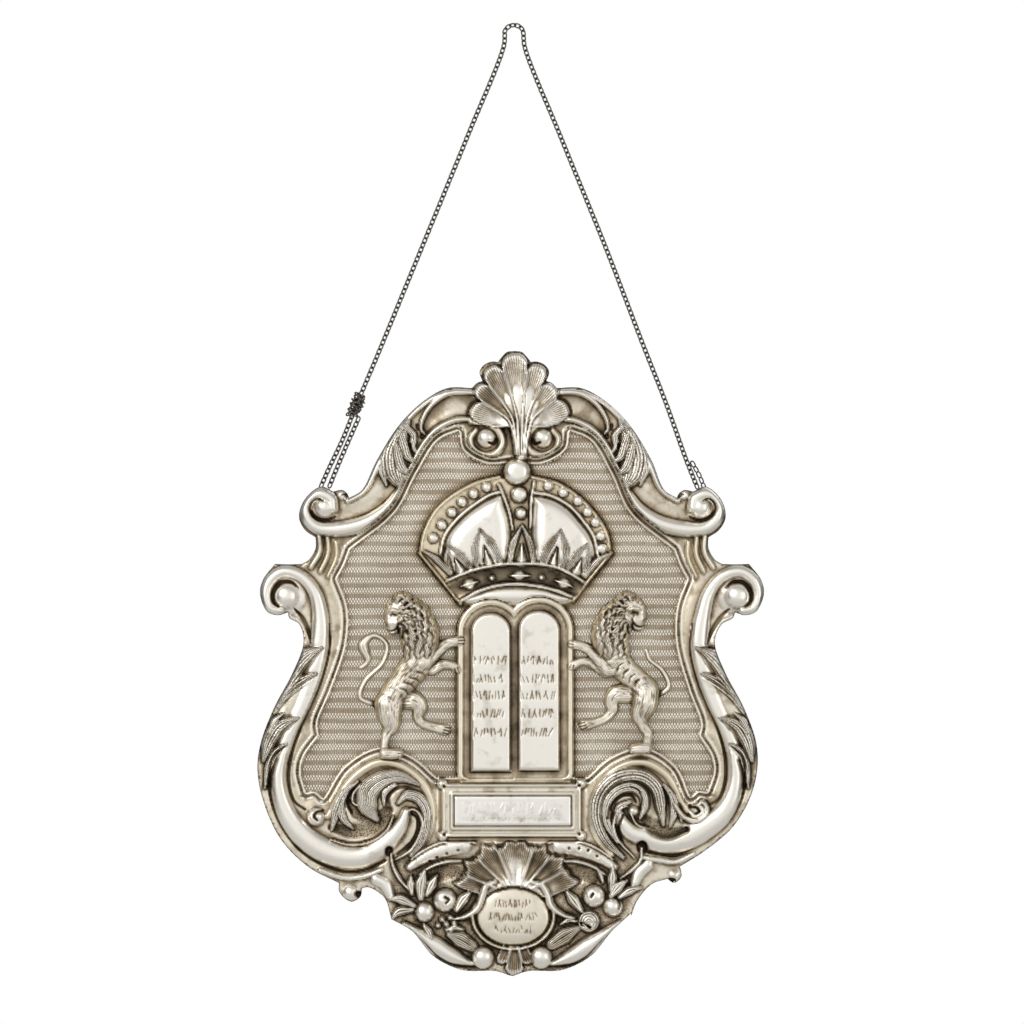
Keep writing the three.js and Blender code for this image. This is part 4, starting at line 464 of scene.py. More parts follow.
PLAQUE_EDGE = (0.8, 0.35)   # width and drop of the loose plaque's rounded edge
PLAQUE_CELL = 0.25
FRAME_LEVEL = 5.8
FRAME_BEVEL = 0.8
FRAME_FLAT = FRAME_LEVEL - 0.8
FRAME_GILT = 0.35
FRAME_RIDGES = (0.9, 0.8)   # half-widths of the ridges along the outer edge and round the window
ZONE_RISE = 1.2             # most that anything rises over the ground round the frame
ZONE_GILT = 0.8
WINDOW_LEVEL = 3.9
WINDOW_BEVEL = 0.7
EAR_RADIUS = 2.9
EAR_RISE = 0.9
EAR_SEAT = (3.6, 0.8)       # half-width and depth of the groove round an ear
FRAME_DOT_LEVEL = 4
FRAME_EARS = [(-35, -62), (34.6, -61.6), (-34.8, -88), (34.6, -87.8)]
FRAME_DOTS = [(-34, -63), (33.6, -62.6), (33.6, -86.8), (-33.8, -87)]
CARTOUCHE = ((0.6, -128), (18.2, 14.6))
# Radii of the cartouche's ring, seat and edge, as shares of its half-axes
CARTOUCHE_RING = 1.115
CARTOUCHE_RING_HALF = 0.06
CARTOUCHE_SEAT = 1.03
CARTOUCHE_CLEAR = 1.05
CARTOUCHE_EDGE = 0.98
CARTOUCHE_RING_RISE = 4.8
CARTOUCHE_RING_TOP = (-118, -124)   # the ring fades out under the shell between these heights
CARTOUCHE_SEAT_RISE = 0.6
CARTOUCHE_FIELD = (1.2, 3)          # rise of the oval field at its edge, and from there to its middle
CARTOUCHE_GILT = 0.4
CARTOUCHE_STRAP = ([1.6, 2.3, 2.3, 2.1, 1.6, 0.7], 9, {})
CARTOUCHE_STRAPS = [
    [(-8.6, -110.6), (-13, -112.6), (-15, -118), (-17.4, -124), (-23, -127.8), (-29, -129.2)],
    [(9.6, -110.6), (15, -112.4), (17.8, -117), (19.6, -122.6), (25, -127), (31, -128.6)],
]
CARTOUCHE_ROWS = [(-121.5, 9), (-128, 12), (-134.5, 9)]

# Lions: limbs as [x, z, radius, depth of its middle over the ground]
LIMB_FLATNESS = 0.72
LEFT_LION = {
    "name": "lion_left",
    "limbs": [
        [(-68, -22.5, 1.4, 0.9), (-76, -18.5, 1.3, 0.9), (-73.5, -10.5, 1.3, 0.9), (-64.5, -1, 1.3, 0.9),
         (-62.8, 8, 1.3, 0.9), (-69, 12.4, 1.3, 0.9), (-74.4, 8, 1.2, 0.9), (-73.4, 4, 1.4, 0.9),
         (-72, 0.4, 2.7, 0.9), (-73.6, -2.4, 1.7, 0.9), (-76, -4, 0.7, 0.9)],
        [(-55, -20, 4.6, 1.6), (-48.6, -20.2, 5.2, 1.8), (-46, -23.4, 4, 1.6), (-47, -28, 2.8, 1.6),
         (-45, -31.4, 2.4, 1.6), (-39.6, -33.4, 2.5, 1.6), (-33.4, -34.8, 3.1, 1.6)],
        [(-40, -4, 4, 1.8), (-34, -2, 2.8, 1.6), (-29.6, -2.8, 2.4, 1.6), (-27.2, -5, 2.1, 1.6)],
        [(-46, 0, 7.8, 2), (-51.5, -7, 7.4, 2), (-57, -14.5, 7, 2), (-61.6, -22, 7.2, 2)],
        [(-61.6, -22, 7.2, 2.6), (-61.2, -28, 6.4, 2.8), (-60.4, -32.6, 4.5, 2.8), (-62.6, -37, 2.7, 2.8),
         (-63.7, -42.5, 2.1, 4.6), (-63.4, -46.4, 2.4, 6.6)],
        [(-63.6, -46.6, 2.8, 6.8), (-60, -46.6, 3, 6.8), (-56.4, -46.4, 2.6, 6.8)],
        [(-54.6, 28.6, 5.8, 2.4), (-48.6, 20, 9.6, 2.6), (-45.8, 10.6, 10, 2.6), (-46.6, 2, 7.6, 2.2)],
        [(-43, 0, 4.6, 2.8), (-37.6, 4.4, 3.5, 2.4), (-31.8, 8.4, 2.9, 1.9), (-26, 9.7, 2.7, 1.9)],
        [(-54, 20.4, 5.6, 2.4), (-59.4, 15.9, 3.4, 2.4)],
        [(-54.4, 28.4, 6.2, 2.8), (-58, 24.2, 5.6, 3), (-60.4, 19.8, 3.5, 2.8)],
    ],
    "face": 1,
    "nose": (-63.2, 17.6),
    "eye": (-59.9, 22.6),
    "mane_foot": -4,
    "ribs": [((-47.4, -5.6), (-42.8, -8.9)), ((-51, -8.6), (-45.4, -11.8)), ((-53.8, -11), (-48.4, -14.4)),
             ((-56, -14), (-52, -16.8))],
    "paws": [(-25.4, 9.8), (-26.8, -5), (-55.4, -46.4), (-32.6, -35.2)],
    "paw_turns": [0, -1.2, 0, -0.3],
}
RIGHT_LION = {
    "name": "lion_right",
    "limbs": [
        [(71, -18.6, 1.4, 1), (78.2, -13.5, 1.3, 0.9), (75, -5, 1.2, 0.9), (68.6, 0.5, 1.1, 0.9),
         (67, 5, 0.9, 0.9)],
        [(58, -17, 5, 1.6), (52, -17.2, 5, 1.8), (49.8, -20.6, 3.9, 1.6), (50.2, -25, 2.8, 1.6),
         (47, -29, 2.4, 1.6), (41, -31.4, 2.5, 1.6), (36.2, -32.4, 3.1, 1.6)],
        [(47, -6, 3.2, 1.6), (41, -2.6, 2.7, 1.6), (35.4, -0.6, 2.3, 1.6), (29.6, -3, 2.4, 1.6)],
        [(52.5, -0.5, 6.8, 2), (57.6, -6, 6.4, 2), (62.6, -10.4, 6, 2), (67, -15, 6.6, 2)],
        [(67, -15.6, 6.6, 2.6), (66.4, -21.5, 6.7, 2.8), (64.2, -27, 5.2, 2.8), (65.4, -32.6, 3, 2.8),
         (68, -37, 2.5, 3.2), (67.2, -42.4, 2.3, 6.2)],
        [(67.2, -44, 2.8, 6.8), (63.6, -44, 3, 6.8), (60.6, -44.2, 2.6, 6.8)],
        [(57.6, 28.2, 5.6, 2.4), (52, 20.5, 9, 2.6), (48.8, 11.4, 9.6, 2.6), (52.4, 3, 7, 2.2)],
        [(54, -1.6, 4.6, 3), (48.6, -4.6, 3.7, 3), (43, 1, 3.1, 2.5), (36.8, 6.2, 2.7, 1.9),
         (30, 8, 2.5, 1.8)],
        [(57.4, 22.2, 5.6, 2.4), (63, 17.6, 3.4, 2.4)],
        [(57.6, 28.6, 6.2, 2.8), (61.2, 25.4, 5.8, 3), (63.6, 21.2, 3.7, 2.8)],
    ],
    "face": -1,
    "nose": (66.6, 19.7),
    "eye": (61.8, 23.6),
    "mane_foot": 0,
    "ribs": [((55.4, -1.4), (52.4, -6)), ((58.6, -4.2), (55.2, -9.2)), ((61.2, -7), (58.4, -11.4)),
             ((63.6, -9.6), (61.6, -13))],
    "paws": [(29.4, 8), (29, -3.4), (59.4, -44.2), (35.6, -32.8)],
    "paw_turns": [math.pi, math.pi + 1.2, math.pi, math.pi + 0.3],
}

# Chain routes in the shield's frame (x, z)
LEFT_EYE = (-93.6, 83.4)
RIGHT_EYE = (94.2, 82.4)
EYE_RADIUS = 2.2
EYE_WIRE = 0.65
TAB_SIZE = (5.0, 1.0, 8.0)
TAB_LEVELS = [(0.0, 0.55), (0.12, 0.85), (0.3, 1), (0.9, 1), (1, 0.9)]     # height and width as shares
TAB_NEAR = -0.3
RING_STEPS = 28
RING_SIDES = 10
APEX_BEND = 5.0
APEX_SPAN = (0.85, 0.15)    # half turns at which the bend over the apex starts and ends
APEX_POINTS = 7
LEFT_STRAND = [(-95.4, 87.6), (-92.6, 94), (-84.6, 111), (-78, 127.5), (-66.4, 155), (-45, 207), (-22, 263),
               (-4, 308)]
RIGHT_STRAND = [(6.4, 307), (24, 263), (46, 209), (66, 157), (77, 129), (87.6, 99.4), (92.6, 87)]
LEFT_RETURN = [(-91.2, 87.6), (-88.2, 95), (-82.4, 108.5), (-77.2, 120.2)]
RIGHT_RETURN = [(96, 87), (94, 92), (90.7, 98)]
KNOT_ENDS = ((-80.9, 120.9), (-75.1, 134.1))
KNOT_RADIUS = 2.3
KNOT_TURNS = 6
KNOT_STEPS = 150
KNOT_SWELL = (0.75, 0.25)   # shares of the coil's radius at its ends, and more at its middle
KNOT_SPAN = (0.12, 0.76)    # where the coil starts along the knot and how much of it it takes
STRAND_STEP = 1.5
RETURN_STEP = 1.0

# Camera: the photograph's frame is this wide at the shield, and its middle is this point of the shield
FRAME_WIDTH = 512.0
FRAME_MIDDLE = (0.0, 74.0)
CAMERA_DISTANCE = 2500.0
SENSOR = 36.0


def place(x, z, h):
    """A point of the shield's own frame, in the part's frame and in metres."""
    return ((x - APEX[0]) * MM, (-h - CHAIN_BEHIND) * MM, (z - APEX[1]) * MM)


def smoothstep(start, end, value):
    """0 before the start, 1 past the end and a smooth rise or fall between them."""
    t = np.clip((value - start) / (end - start), 0, 1)
    return t * t * (3 - 2 * t)


def to_right(point):
    """A point of the left half carried over to the right half."""
    x, z = point
    outer = smoothstep(*DRAW_OUT, -x)
    draw_in = outer * (SIDE_DRAW_IN * smoothstep(*SIDE_SPAN, z) + LOBE_DRAW_IN * smoothstep(*LOBE_SPAN, z))
    lift = LOBE_LIFT * smoothstep(*LIFT_SPAN, z) * smoothstep(*LIFT_OUT, -x)
    return (-x - draw_in + TOP_LEAN * smoothstep(*LEAN_SPAN, z), z + lift)


def mirrored_runs(runs):
    return [[to_right(point) for point in run] for run in runs]


def mirrored_form(form):
    kind, route, widths, level, look = form
    return (kind, [to_right(point) for point in route], widths, level, look)


def blend(t, start, end, a, b):
    """Straight from a at the start to b at the end."""
    return (end - t) / (end - start) * a + (t - start) / (end - start) * b


def smooth_path(points, step):
    """Points along a smooth curve through the given ones."""
    p = np.array(points, float)
    if len(p) == 1:
        p = np.vstack([p, p + (0.01, 0)])
    if len(p) == 2:
        count = max(2, int(np.hypot(*(p[1] - p[0])) / step) + 1)
        return p[0] + np.linspace(0, 1, count)[:, None] * (p[1] - p[0])
    longer = np.vstack([2 * p[0] - p[1], p, 2 * p[-1] - p[-2]])
    parts = []
    for a, b, c, d in zip(longer, longer[1:], longer[2:], longer[3:]):
        t1 = np.hypot(*(b - a)) ** 0.5
        t2 = t1 + np.hypot(*(c - b)) ** 0.5
        t3 = t2 + np.hypot(*(d - c)) ** 0.5
        count = max(2, int(np.hypot(*(c - b)) / step) + 1)
        t = np.linspace(t1, t2, count, endpoint=False)[:, None]
        first, second, third = blend(t, 0, t1, a, b), blend(t, t1, t2, b, c), blend(t, t2, t3, c, d)
        parts.append(blend(t, t1, t2, blend(t, 0, t2, first, second), blend(t, t1, t3, second, third)))
    return np.vstack(parts + [p[-1:]])


def closed_loop(left_runs, right_runs, step):
    """One loop down the left runs and back up the right ones."""
    back = [run[::-1] for run in right_runs[::-1]]
    return np.vstack([smooth_path(run, step)[:-1] for run in left_runs + back])


def box_blur(values, reach):
    """Mean over a square of cells, done twice for a soft result."""
    for axis in (0, 1, 0, 1):
        pad = [(reach + 1, reach) if k == axis else (0, 0) for k in (0, 1)]
        total = np.cumsum(np.pad(values, pad, mode="edge"), axis)
        size = total.shape[axis]
        ahead = np.take(total, range(2 * reach + 1, size), axis)
        behind = np.take(total, range(size - 2 * reach - 1), axis)
        values = (ahead - behind) / (2 * reach + 1)
    return values


MAPS = ("height", "gilt", "dark", "stipple", "lined", "line", "ground")
TRACE_STEP = 0.7        # spacing of points along a route
TRACE_REACH = 1.35      # how far aside a route is traced, in half-widths
FAR = 9.0               # stands for any place that is farther aside
BUTTON_POWER = 4
ROLL_POWERS = (2.3, 0.6)
LEAF_POWERS = (2.4, 0.6)
LEAF_EDGE = 0.35        # share of a leaf's rise that its edge has
KEEL_SHARES = (0.55, 0.45)      # shares of a keel's rise at its edge and from there to its ridge
VEIN_WIDTH = 0.13
VEIN_DEPTH = 0.6
VEIN_START = 2.5
VEIN_FADE = 0.6         # share of a leaf's length from which its vein fades
HALO_INNER = (0.95, 1.08)       # the sunk edge round a leaf, which carries painted shade, sets in and fades out over these half-widths
HALO_OUTER = (1.32, 1.08)
HALO_DEPTH = 0.4
# painted shade on the sunk edge round a leaf, where its finish gives none of its own
SHADED_EDGE_DARK = 0.15
HOLLOW_POWER = 2.2
GROOVE_POWER = 1.2
# Patina: reach of a hollow, its full depth, and its share in the dark tone and in the bright crests
PATINA = [(0.7, 0.8, 0.45, 0.5), (1.6, 1.5, 0.5, 0.3), (3.6, 2.8, 0.4, 0.3)]
DARK_SHARE = 0.7
# Shells: dips of a lobe's edge beside the ends, between the ribs and in the ruffles
SHELL_END_DIP = 0.45
SHELL_NOTCH = 0.13
SHELL_RUFFLE = 0.08
SHELL_FLUTE = (1.6, 1.4)    # depth of a lobe's flute, plain and for its shade
SHELL_LIP = 1.3
SHELL_RIB = (1.2, 0.9)      # rise and width of the ribs
SHELL_EDGE_POWER = 14
SHELL_SHADOW = (1.05, 0.5, 0.4)     # reach, depth and darkness of the sunk edge round a shell
# Where along a lobe, as a share of its reach, its flute opens, its lip rises and its finish, painted shade in
# the flute included, sets in or ends
SHELL_OPEN = (0.15, 0.5)
SHELL_LIP_SPAN = (0.84, 0.98)
SHELL_SHADE_SPANS = ((0.45, 0.85), (1, 0.91))
SHELL_STIPPLE_SPAN = (0.5, 0.85)
SHELL_HATCH_SPANS = ((0.5, 0.75), (1, 0.96))
SHELL_END_SPAN = (0.5, 1.1)


def between_cells(values, u, v):
    """Values of a map at columns u and rows v that lie between its cells."""
    u = np.clip(u, 0, values.shape[1] - 1.001)
    v = np.clip(v, 0, values.shape[0] - 1.001)
    i, j = u.astype(int), v.astype(int)
    a, b = u - i, v - j
    low = values[j, i] * (1 - a) + values[j, i + 1] * a
    high = values[j + 1, i] * (1 - a) + values[j + 1, i + 1] * a
    return low * (1 - b) + high * b


def from_segment(x, z, start, way):
    """Share along a segment of the point nearest to a place, and how far the place lies from that point."""
    t = np.clip(((x - start[0]) * way[0] + (z - start[1]) * way[1]) / max(way @ way, 1e-9), 0, 1)
    return t, x - start[0] - t * way[0], z - start[1] - t * way[1]


def half_round(off):
    """Section of a half-round ridge: 1 on its line and 0 from one half-width aside."""
    return np.sqrt(np.clip(1 - off ** 2, 0, 1))


class Relief:
    """A height map over the shield's frame, with maps of what the finish follows."""

    def __init__(self, low, high, cell, level):
        self.cell = cell
        self.low = np.array(low, float)
        count = np.ceil((np.array(high) - low) / cell).astype(int) + 1
        self.xs = low[0] + cell * np.arange(count[0])
        self.zs = low[1] + cell * np.arange(count[1])
        for name in MAPS:
            setattr(self, name, np.zeros((count[1], count[0])))
        self.fine = np.zeros((count[1], count[0]), bool)
        self.height += level

    def window(self, points, pad):
        """Slices of the cells within pad of the points."""
        low = np.floor((points.min(0) - pad - self.low) / self.cell).astype(int)
        high = np.ceil((points.max(0) + pad - self.low) / self.cell).astype(int) + 1
        low = np.maximum(low, 0)
        high = np.minimum(high, [len(self.xs), len(self.zs)])
        return slice(low[1], max(high[1], low[1])), slice(low[0], max(high[0], low[0]))

    def grid(self, at):
        return np.meshgrid(self.xs[at[1]], self.zs[at[0]])

    def trace(self, route, widths):
        """Signed distance from a route in half-widths, and the way along it, near the route."""
        path = smooth_path(route, TRACE_STEP)
        half = np.interp(np.linspace(0, 1, len(path)), np.linspace(0, 1, len(widths)), widths)
        steps = np.hypot(*np.diff(path, axis=0).T)
        gone = np.concatenate([[0], np.cumsum(steps)])
        at = self.window(path, half.max() * TRACE_REACH + 1)
        across = np.full((at[0].stop - at[0].start, at[1].stop - at[1].start), FAR)
        along = np.zeros(across.shape)
        for i in range(len(path) - 1):
            a, d = path[i], path[i + 1] - path[i]
            near = self.window(path[i:i + 2], max(half[i], half[i + 1]) * TRACE_REACH + self.cell)
            x, z = self.grid(near)
            here = (slice(near[0].start - at[0].start, near[0].stop - at[0].start),
                    slice(near[1].start - at[1].start, near[1].stop - at[1].start))
            t, ox, oz = from_segment(x, z, a, d)
            off = np.hypot(ox, oz) / (half[i] + (half[i + 1] - half[i]) * t)
            nearer = off < np.abs(across[here])
            side = np.where(d[0] * oz - d[1] * ox >= 0, 1.0, -1.0)
            across[here] = np.where(nearer, off * side, across[here])
            along[here] = np.where(nearer, gone[i] + t * steps[i], along[here])
        return at, across, along, gone[-1]

    def dress(self, at, share, look, across, sunk=False):
        """Lay a form's finish over what is under it."""
        for name in ("gilt", "stipple", "dark", "lined"):
            value = float(bool(look.get("lines"))) if name == "lined" else look.get(name, 0)
            values = getattr(self, name)
            if not (sunk and value == 0):
                values[at] = values[at] * (1 - share) + value * share
        if not sunk:
            self.ground[at] = self.ground[at] * (1 - share)
        if look.get("lines"):
            self.line[at] = np.where(share > 0.02, across * look["lines"] / 2, self.line[at])

    def add(self, kind, route, widths, level, look):
        """Lay a form along a route; returns where it is traced and the distance from its route there."""
        at, across, along, length = self.trace(route, widths)
        off = np.abs(across)
        getattr(self, "add_" + kind)(at, across, off, np.clip(off, 0, 1), along, length, level, look)
        return at, off

    def add_over(self, at, rise, off, look, across):
        """Lay a rounded form over what is lower than it."""
        on = (off < 1) & (rise > self.height[at])
        self.height[at] = np.where(on, rise, self.height[at])
        self.dress(at, on * smoothstep(1, 0.8, off), look, across)

    def add_ball(self, at, across, off, within, along, length, level, look):
        self.add_over(at, GROUND + (level - GROUND) * np.sqrt(1 - within * within), off, look, across)

    def add_button(self, at, across, off, within, along, length, level, look):
        self.add_over(at, GROUND + (level - GROUND) * np.sqrt(1 - within ** BUTTON_POWER), off, look, across)

    def add_roll(self, at, across, off, within, along, length, level, look):
        fall, swell = ROLL_POWERS
        self.add_over(at, GROUND + (level - GROUND) * (1 - within ** fall) ** swell, off, look, across)

    def add_leaf(self, at, across, off, within, along, length, level, look):
        """A swelling blade with a sunk vein and a sunk edge round it, darkened with painted shade."""
        fall, swell = LEAF_POWERS
        body = (1 - within ** fall) ** swell
        vein = np.exp(-(across / VEIN_WIDTH) ** 2) * smoothstep(0, VEIN_START, along)
        vein = vein * smoothstep(length, length * VEIN_FADE, along)
        rise = GROUND + (level - GROUND) * (LEAF_EDGE + (1 - LEAF_EDGE) * body) - VEIN_DEPTH * vein
        halo = smoothstep(*HALO_OUTER, off) * smoothstep(*HALO_INNER, off)
        self.height[at] -= HALO_DEPTH * halo
        # painted shade along the sunk edge round the leaf
        self.dark[at] = np.maximum(self.dark[at], look.get("halo", SHADED_EDGE_DARK) * halo)
        on = off < 1
        self.height[at] = np.where(on, np.maximum(rise, self.height[at]), self.height[at])
        self.dress(at, on * smoothstep(1, 0.75, off), look, across)

    def add_hollow(self, at, across, off, within, along, length, level, look):
        floor = level + (self.height[at] - level) * within ** HOLLOW_POWER
        self.height[at] = np.where(off < 1, np.minimum(self.height[at], floor), self.height[at])
        self.dress(at, smoothstep(1, 0.7, off), look, across, sunk=True)

    def add_groove(self, at, across, off, within, along, length, level, look):
        self.height[at] -= level * (1 - within * within) ** GROOVE_POWER
        self.dress(at, smoothstep(1, 0.6, off), look, across, sunk=True)

    def add_keel(self, at, across, off, within, along, length, level, look):
        """A form with a sharp ridge that replaces what is under it."""
        rise = GROUND + (level - GROUND) * (KEEL_SHARES[0] + KEEL_SHARES[1] * (1 - within))
        on = off < 1
        self.height[at] = np.where(on, rise, self.height[at])
        self.dress(at, on * 1.0, look, across)

    def add_shell(self, shell):
        """Hollow lobes between raised ribs that fan out from one point."""
        (cx, cz), way, level, shade, ribs, reaches, ruffles = shell
        x, z = np.meshgrid(self.xs, self.zs)
        radius = np.hypot(x - cx, z - cz)
        bearing = np.degrees(np.arctan2(x - cx, way * (z - cz)))
        for start, end, reach, ruffle in zip(ribs, ribs[1:], reaches, ruffles):
            u = (bearing - start) / (end - start)
            outer = {ribs[0]: 1 - u, ribs[-2]: u}.get(start, 0 * u)
            scallop = 1 - SHELL_END_DIP * smoothstep(*SHELL_END_SPAN, outer)
            scallop = scallop - SHELL_NOTCH * np.abs(2 * u - 1) ** 3
            scallop = scallop - SHELL_RUFFLE * (1 - np.cos(2 * math.pi * ruffle * u)) / 2
            out = radius / (reach * scallop)
            lobe = (u >= 0) & (u < 1)
            on = lobe & (out < 1)
            flute = 1 - (2 * u - 1) ** 2
            opened = smoothstep(*SHELL_OPEN, out)
            rise = level - (SHELL_FLUTE[0] + SHELL_FLUTE[1] * shade) * np.clip(flute, 0, 1) ** 0.8 * opened
            rise = rise + SHELL_LIP * smoothstep(*SHELL_LIP_SPAN, out)
            rib = (1 - np.abs(2 * u - 1)) * math.radians(end - start) * radius / 2
            rise = rise + SHELL_RIB[0] * np.exp(-(rib / SHELL_RIB[1]) ** 2) * opened
            rise = GROUND + (rise - GROUND) * np.sqrt(np.clip(1 - out ** SHELL_EDGE_POWER, 0, 1))
            beside = lobe & (out >= 1) & (out < SHELL_SHADOW[0])
            self.height = np.where(on, rise, np.where(beside, self.height - SHELL_SHADOW[1], self.height))
            self.wipe(on)
            # painted shade in the flute, darker towards the lobe's outer edge and fading at the lip
            flute_shade = shade * smoothstep(*SHELL_SHADE_SPANS[0], out) * np.clip(flute, 0, 1) ** 0.7
            flute_shade = flute_shade * smoothstep(*SHELL_SHADE_SPANS[1], out)
            self.stipple = np.where(on, SHELL_STIPPLE * smoothstep(*SHELL_STIPPLE_SPAN, out), self.stipple)
            self.dark = np.where(on, flute_shade, np.where(beside, SHELL_SHADOW[2], self.dark))
            hatch = SHELL_HATCH * smoothstep(*SHELL_HATCH_SPANS[0], out)
            hatch = hatch * smoothstep(*SHELL_HATCH_SPANS[1], out)
            self.lined = np.where(on, hatch, self.lined)
            self.line = np.where(on, u * (end - start) * reach * SHELL_LINE, self.line)

    def distance(self, loop, reach):
        """Distance to a closed loop, up to reach."""
        out = np.full(self.height.shape, float(reach))
        for a, b in zip(loop, np.roll(loop, -1, 0)):
            at = self.window(np.array([a, b]), reach)
            x, z = self.grid(at)
            _, ox, oz = from_segment(x, z, a, b - a)
            out[at] = np.minimum(out[at], np.hypot(ox, oz))
        return out

    def inside(self, loop):
        """Whether each cell lies inside a closed loop."""
        out = np.zeros(self.height.shape, bool)
        a, b = loop, np.roll(loop, -1, 0)
        for k, z in enumerate(self.zs):
            cross = (a[:, 1] > z) != (b[:, 1] > z)
            p, q = a[cross], b[cross]
            xs = np.sort(p[:, 0] + (z - p[:, 1]) / (q[:, 1] - p[:, 1]) * (q[:, 0] - p[:, 0]))
            out[k] = np.searchsorted(xs, self.xs) % 2 == 1
        return out

    def depth_inside(self, loop, reach):
        return np.where(self.inside(loop), self.distance(loop, reach), 0)

    def depth_outside(self, loop, reach):
        return np.where(self.inside(loop), 0, self.distance(loop, reach))

    def raise_field(self, loop, level, bevel):
        """A flat field with bevelled edges; returns the depth inside it."""
        depth = self.depth_inside(loop, bevel + 1)
        rise = GROUND + (level - GROUND) * smoothstep(0, bevel, depth)
        self.height = np.where(depth > 0, np.maximum(self.height, rise), self.height)
        return depth

    def wipe(self, where):
        """Bare polished metal there."""
        for name in ("dark", "gilt", "stipple", "lined", "ground"):
            getattr(self, name)[where] = 0

    def sample(self, values, x, z):
        """Values of a map at points, between the cells."""
        return between_cells(values, (x - self.low[0]) / self.cell, (z - self.low[1]) / self.cell)

    def looks(self):
        """The maps that the finish reads, with the patina worked out from the hollows."""
        depth = crest = 0
        for reach, full, dark_share, crest_share in PATINA:
            hollow = np.clip((box_blur(self.height, int(reach / self.cell)) - self.height) / full, -1, 1)
            depth = depth + dark_share * np.clip(hollow, 0, 1)
            crest = crest - crest_share * hollow
        # the dark map in the tone holds patina and also painted shade round leaves, in shell flutes and at
        # limb edges
        tone = np.clip(depth + DARK_SHARE * box_blur(self.dark, 1), 0, 1)
        return {"tone": tone, "crest": np.clip(crest, 0, 1), "gilt": self.gilt, "stipple": self.stipple,
                "lined": self.lined, "line": self.line, "ground": box_blur(self.ground, 1)}


def tablet_loop(left, right, bottom, shoulder):
    """Outline of a tablet with a round head."""
    radius = (right - left) / 2
    turn = np.linspace(0, math.pi, 40)
    arch = np.stack([(left + right) / 2 + radius * np.cos(turn), shoulder + radius * np.sin(turn)], 1)
    return np.vstack([[(left, bottom), (right, bottom)], arch])


def rectangle(left, right, bottom, top):
    return np.array([(left, bottom), (right, bottom), (right, top), (left, top)], float)


# Strokes: half-width, and as shares of their height how far they lean, how tall they are and their spacing
STROKE_WIDTH = 0.32
STROKE_LEAN = 0.3
STROKE_HEIGHTS = [0.5, 0.75, 1.0]
STROKE_SPACING = (0.28, 0.5)


def stroke_row(relief, start, end, z, strokes, seed):
    """A row of short shallow strokes that stand for an inscription and aren't letters."""
    height, depth, dark = strokes
    rng = np.random.default_rng(seed)
    x = start
    while x < end:
        lean = rng.uniform(-STROKE_LEAN, STROKE_LEAN) * height
        tall = height * rng.choice(STROKE_HEIGHTS)
        low = z - height / 2 + rng.choice([0, height - tall])
        ends = [(x, low), (x + lean, low + tall)]
        at, off = relief.add("groove", ends, [STROKE_WIDTH], depth, {"dark": dark})
        relief.fine[at] |= off < TRACE_REACH
        x += height * rng.uniform(*STROKE_SPACING)


def add_seated(relief, spot, radius, level, seat):
    """A pearl in a groove."""
    margin, depth, look = seat
    relief.add("groove", [spot], [radius + margin], depth, look)
    relief.add("button", [spot], [radius], level, {})


def add_crown(relief):
    """The crown's gilt field, its two domed gores, rims, pearls, strap, leaves and base."""
    edge = np.vstack([smooth_path(CROWN_TOP, 1)[:-1], smooth_path(CROWN_SIDES, 1)[:-1]])
    on = relief.raise_field(edge, CROWN_LEVEL, CROWN_BEVEL) > 0
    around = relief.distance(edge, 4)
    relief.gilt = np.maximum(relief.gilt, smoothstep(*CROWN_GLOW, around))
    relief.gilt[on] = CROWN_GILT
    relief.dark[on] = 0
    relief.ground[on] = 0
    for gore in CROWN_GORES:
        t = np.clip(relief.depth_inside(smooth_path(gore, 1), GORE_ROUND) / GORE_ROUND, 0, 1)
        dome = GORE_FOOT + GORE_RISE * np.sqrt(t * (2 - t))
        relief.height = np.where(t > 0, np.maximum(relief.height, dome), relief.height)
        relief.wipe(t > 0)
    for form in CROWN_RIMS:
        relief.add(*form)
    for pearl in CROWN_PEARLS:
        add_seated(relief, pearl, PEARL_RADIUS, PEARL_LEVEL, PEARL_SEAT)
    for form in CROWN_STRAP:
        relief.add(*form)
    for bead, radius, level in CROWN_BEADS:
        add_seated(relief, bead, radius, level, BEAD_SEAT)
    up, down = CROWN_LEAF_WAIST
    for tip, *feet in CROWN_LEAVES:
        for side, foot in zip((-1, 1), feet):
            waist = (tip[0] * up + foot[0] * down + side * CROWN_LEAF_BOW, tip[1] * up + foot[1] * down)
            relief.add("leaf", [tip, waist, foot], *CROWN_LEAF)
        base = tuple((a + b) / 2 for a, b in zip(*feet))
        apex = tuple(t * 0.5 + b * 0.5 for t, b in zip(tip, base))
        relief.add("keel", [apex, base], *CROWN_KEEL)
    for form in CROWN_BASE:
        relief.add(*form)


def add_tablets(relief):
    """The two tablets with their rows of strokes, in a ridged surround."""
    loops = [tablet_loop(*sides) for sides in TABLETS]
    away = np.minimum(*[relief.depth_outside(loop, SURROUND_WIDTH + 1) for loop in loops])
    beside = away > 0
    ridge = half_round((away - SURROUND_RIDGE) / SURROUND_RIDGE_HALF) * beside
    around = (away < SURROUND_WIDTH) & beside
    relief.height = np.where(around, GROUND + SURROUND_RISE + SURROUND_RIDGE_HALF * ridge, relief.height)
    relief.ground[away < SURROUND_WIDTH] = 0
    relief.gilt = np.where(around, SURROUND_GILT, relief.gilt)
    shadow = sum(dark * smoothstep(*span, away) for dark, span in SURROUND_SHADOWS)
    relief.dark = np.where(around, shadow, relief.dark)
    for number, loop in enumerate(loops):
        relief.wipe(relief.raise_field(loop, TABLET_LEVEL, TABLET_BEVEL) > 0.5)
        start, end = TABLETS[number][0] + TABLET_MARGINS[0], TABLETS[number][1] - TABLET_MARGINS[1]
        for row, z in enumerate(TABLET_ROWS):
            stroke_row(relief, start, end, z, TABLET_STROKES, 10 * number + row)


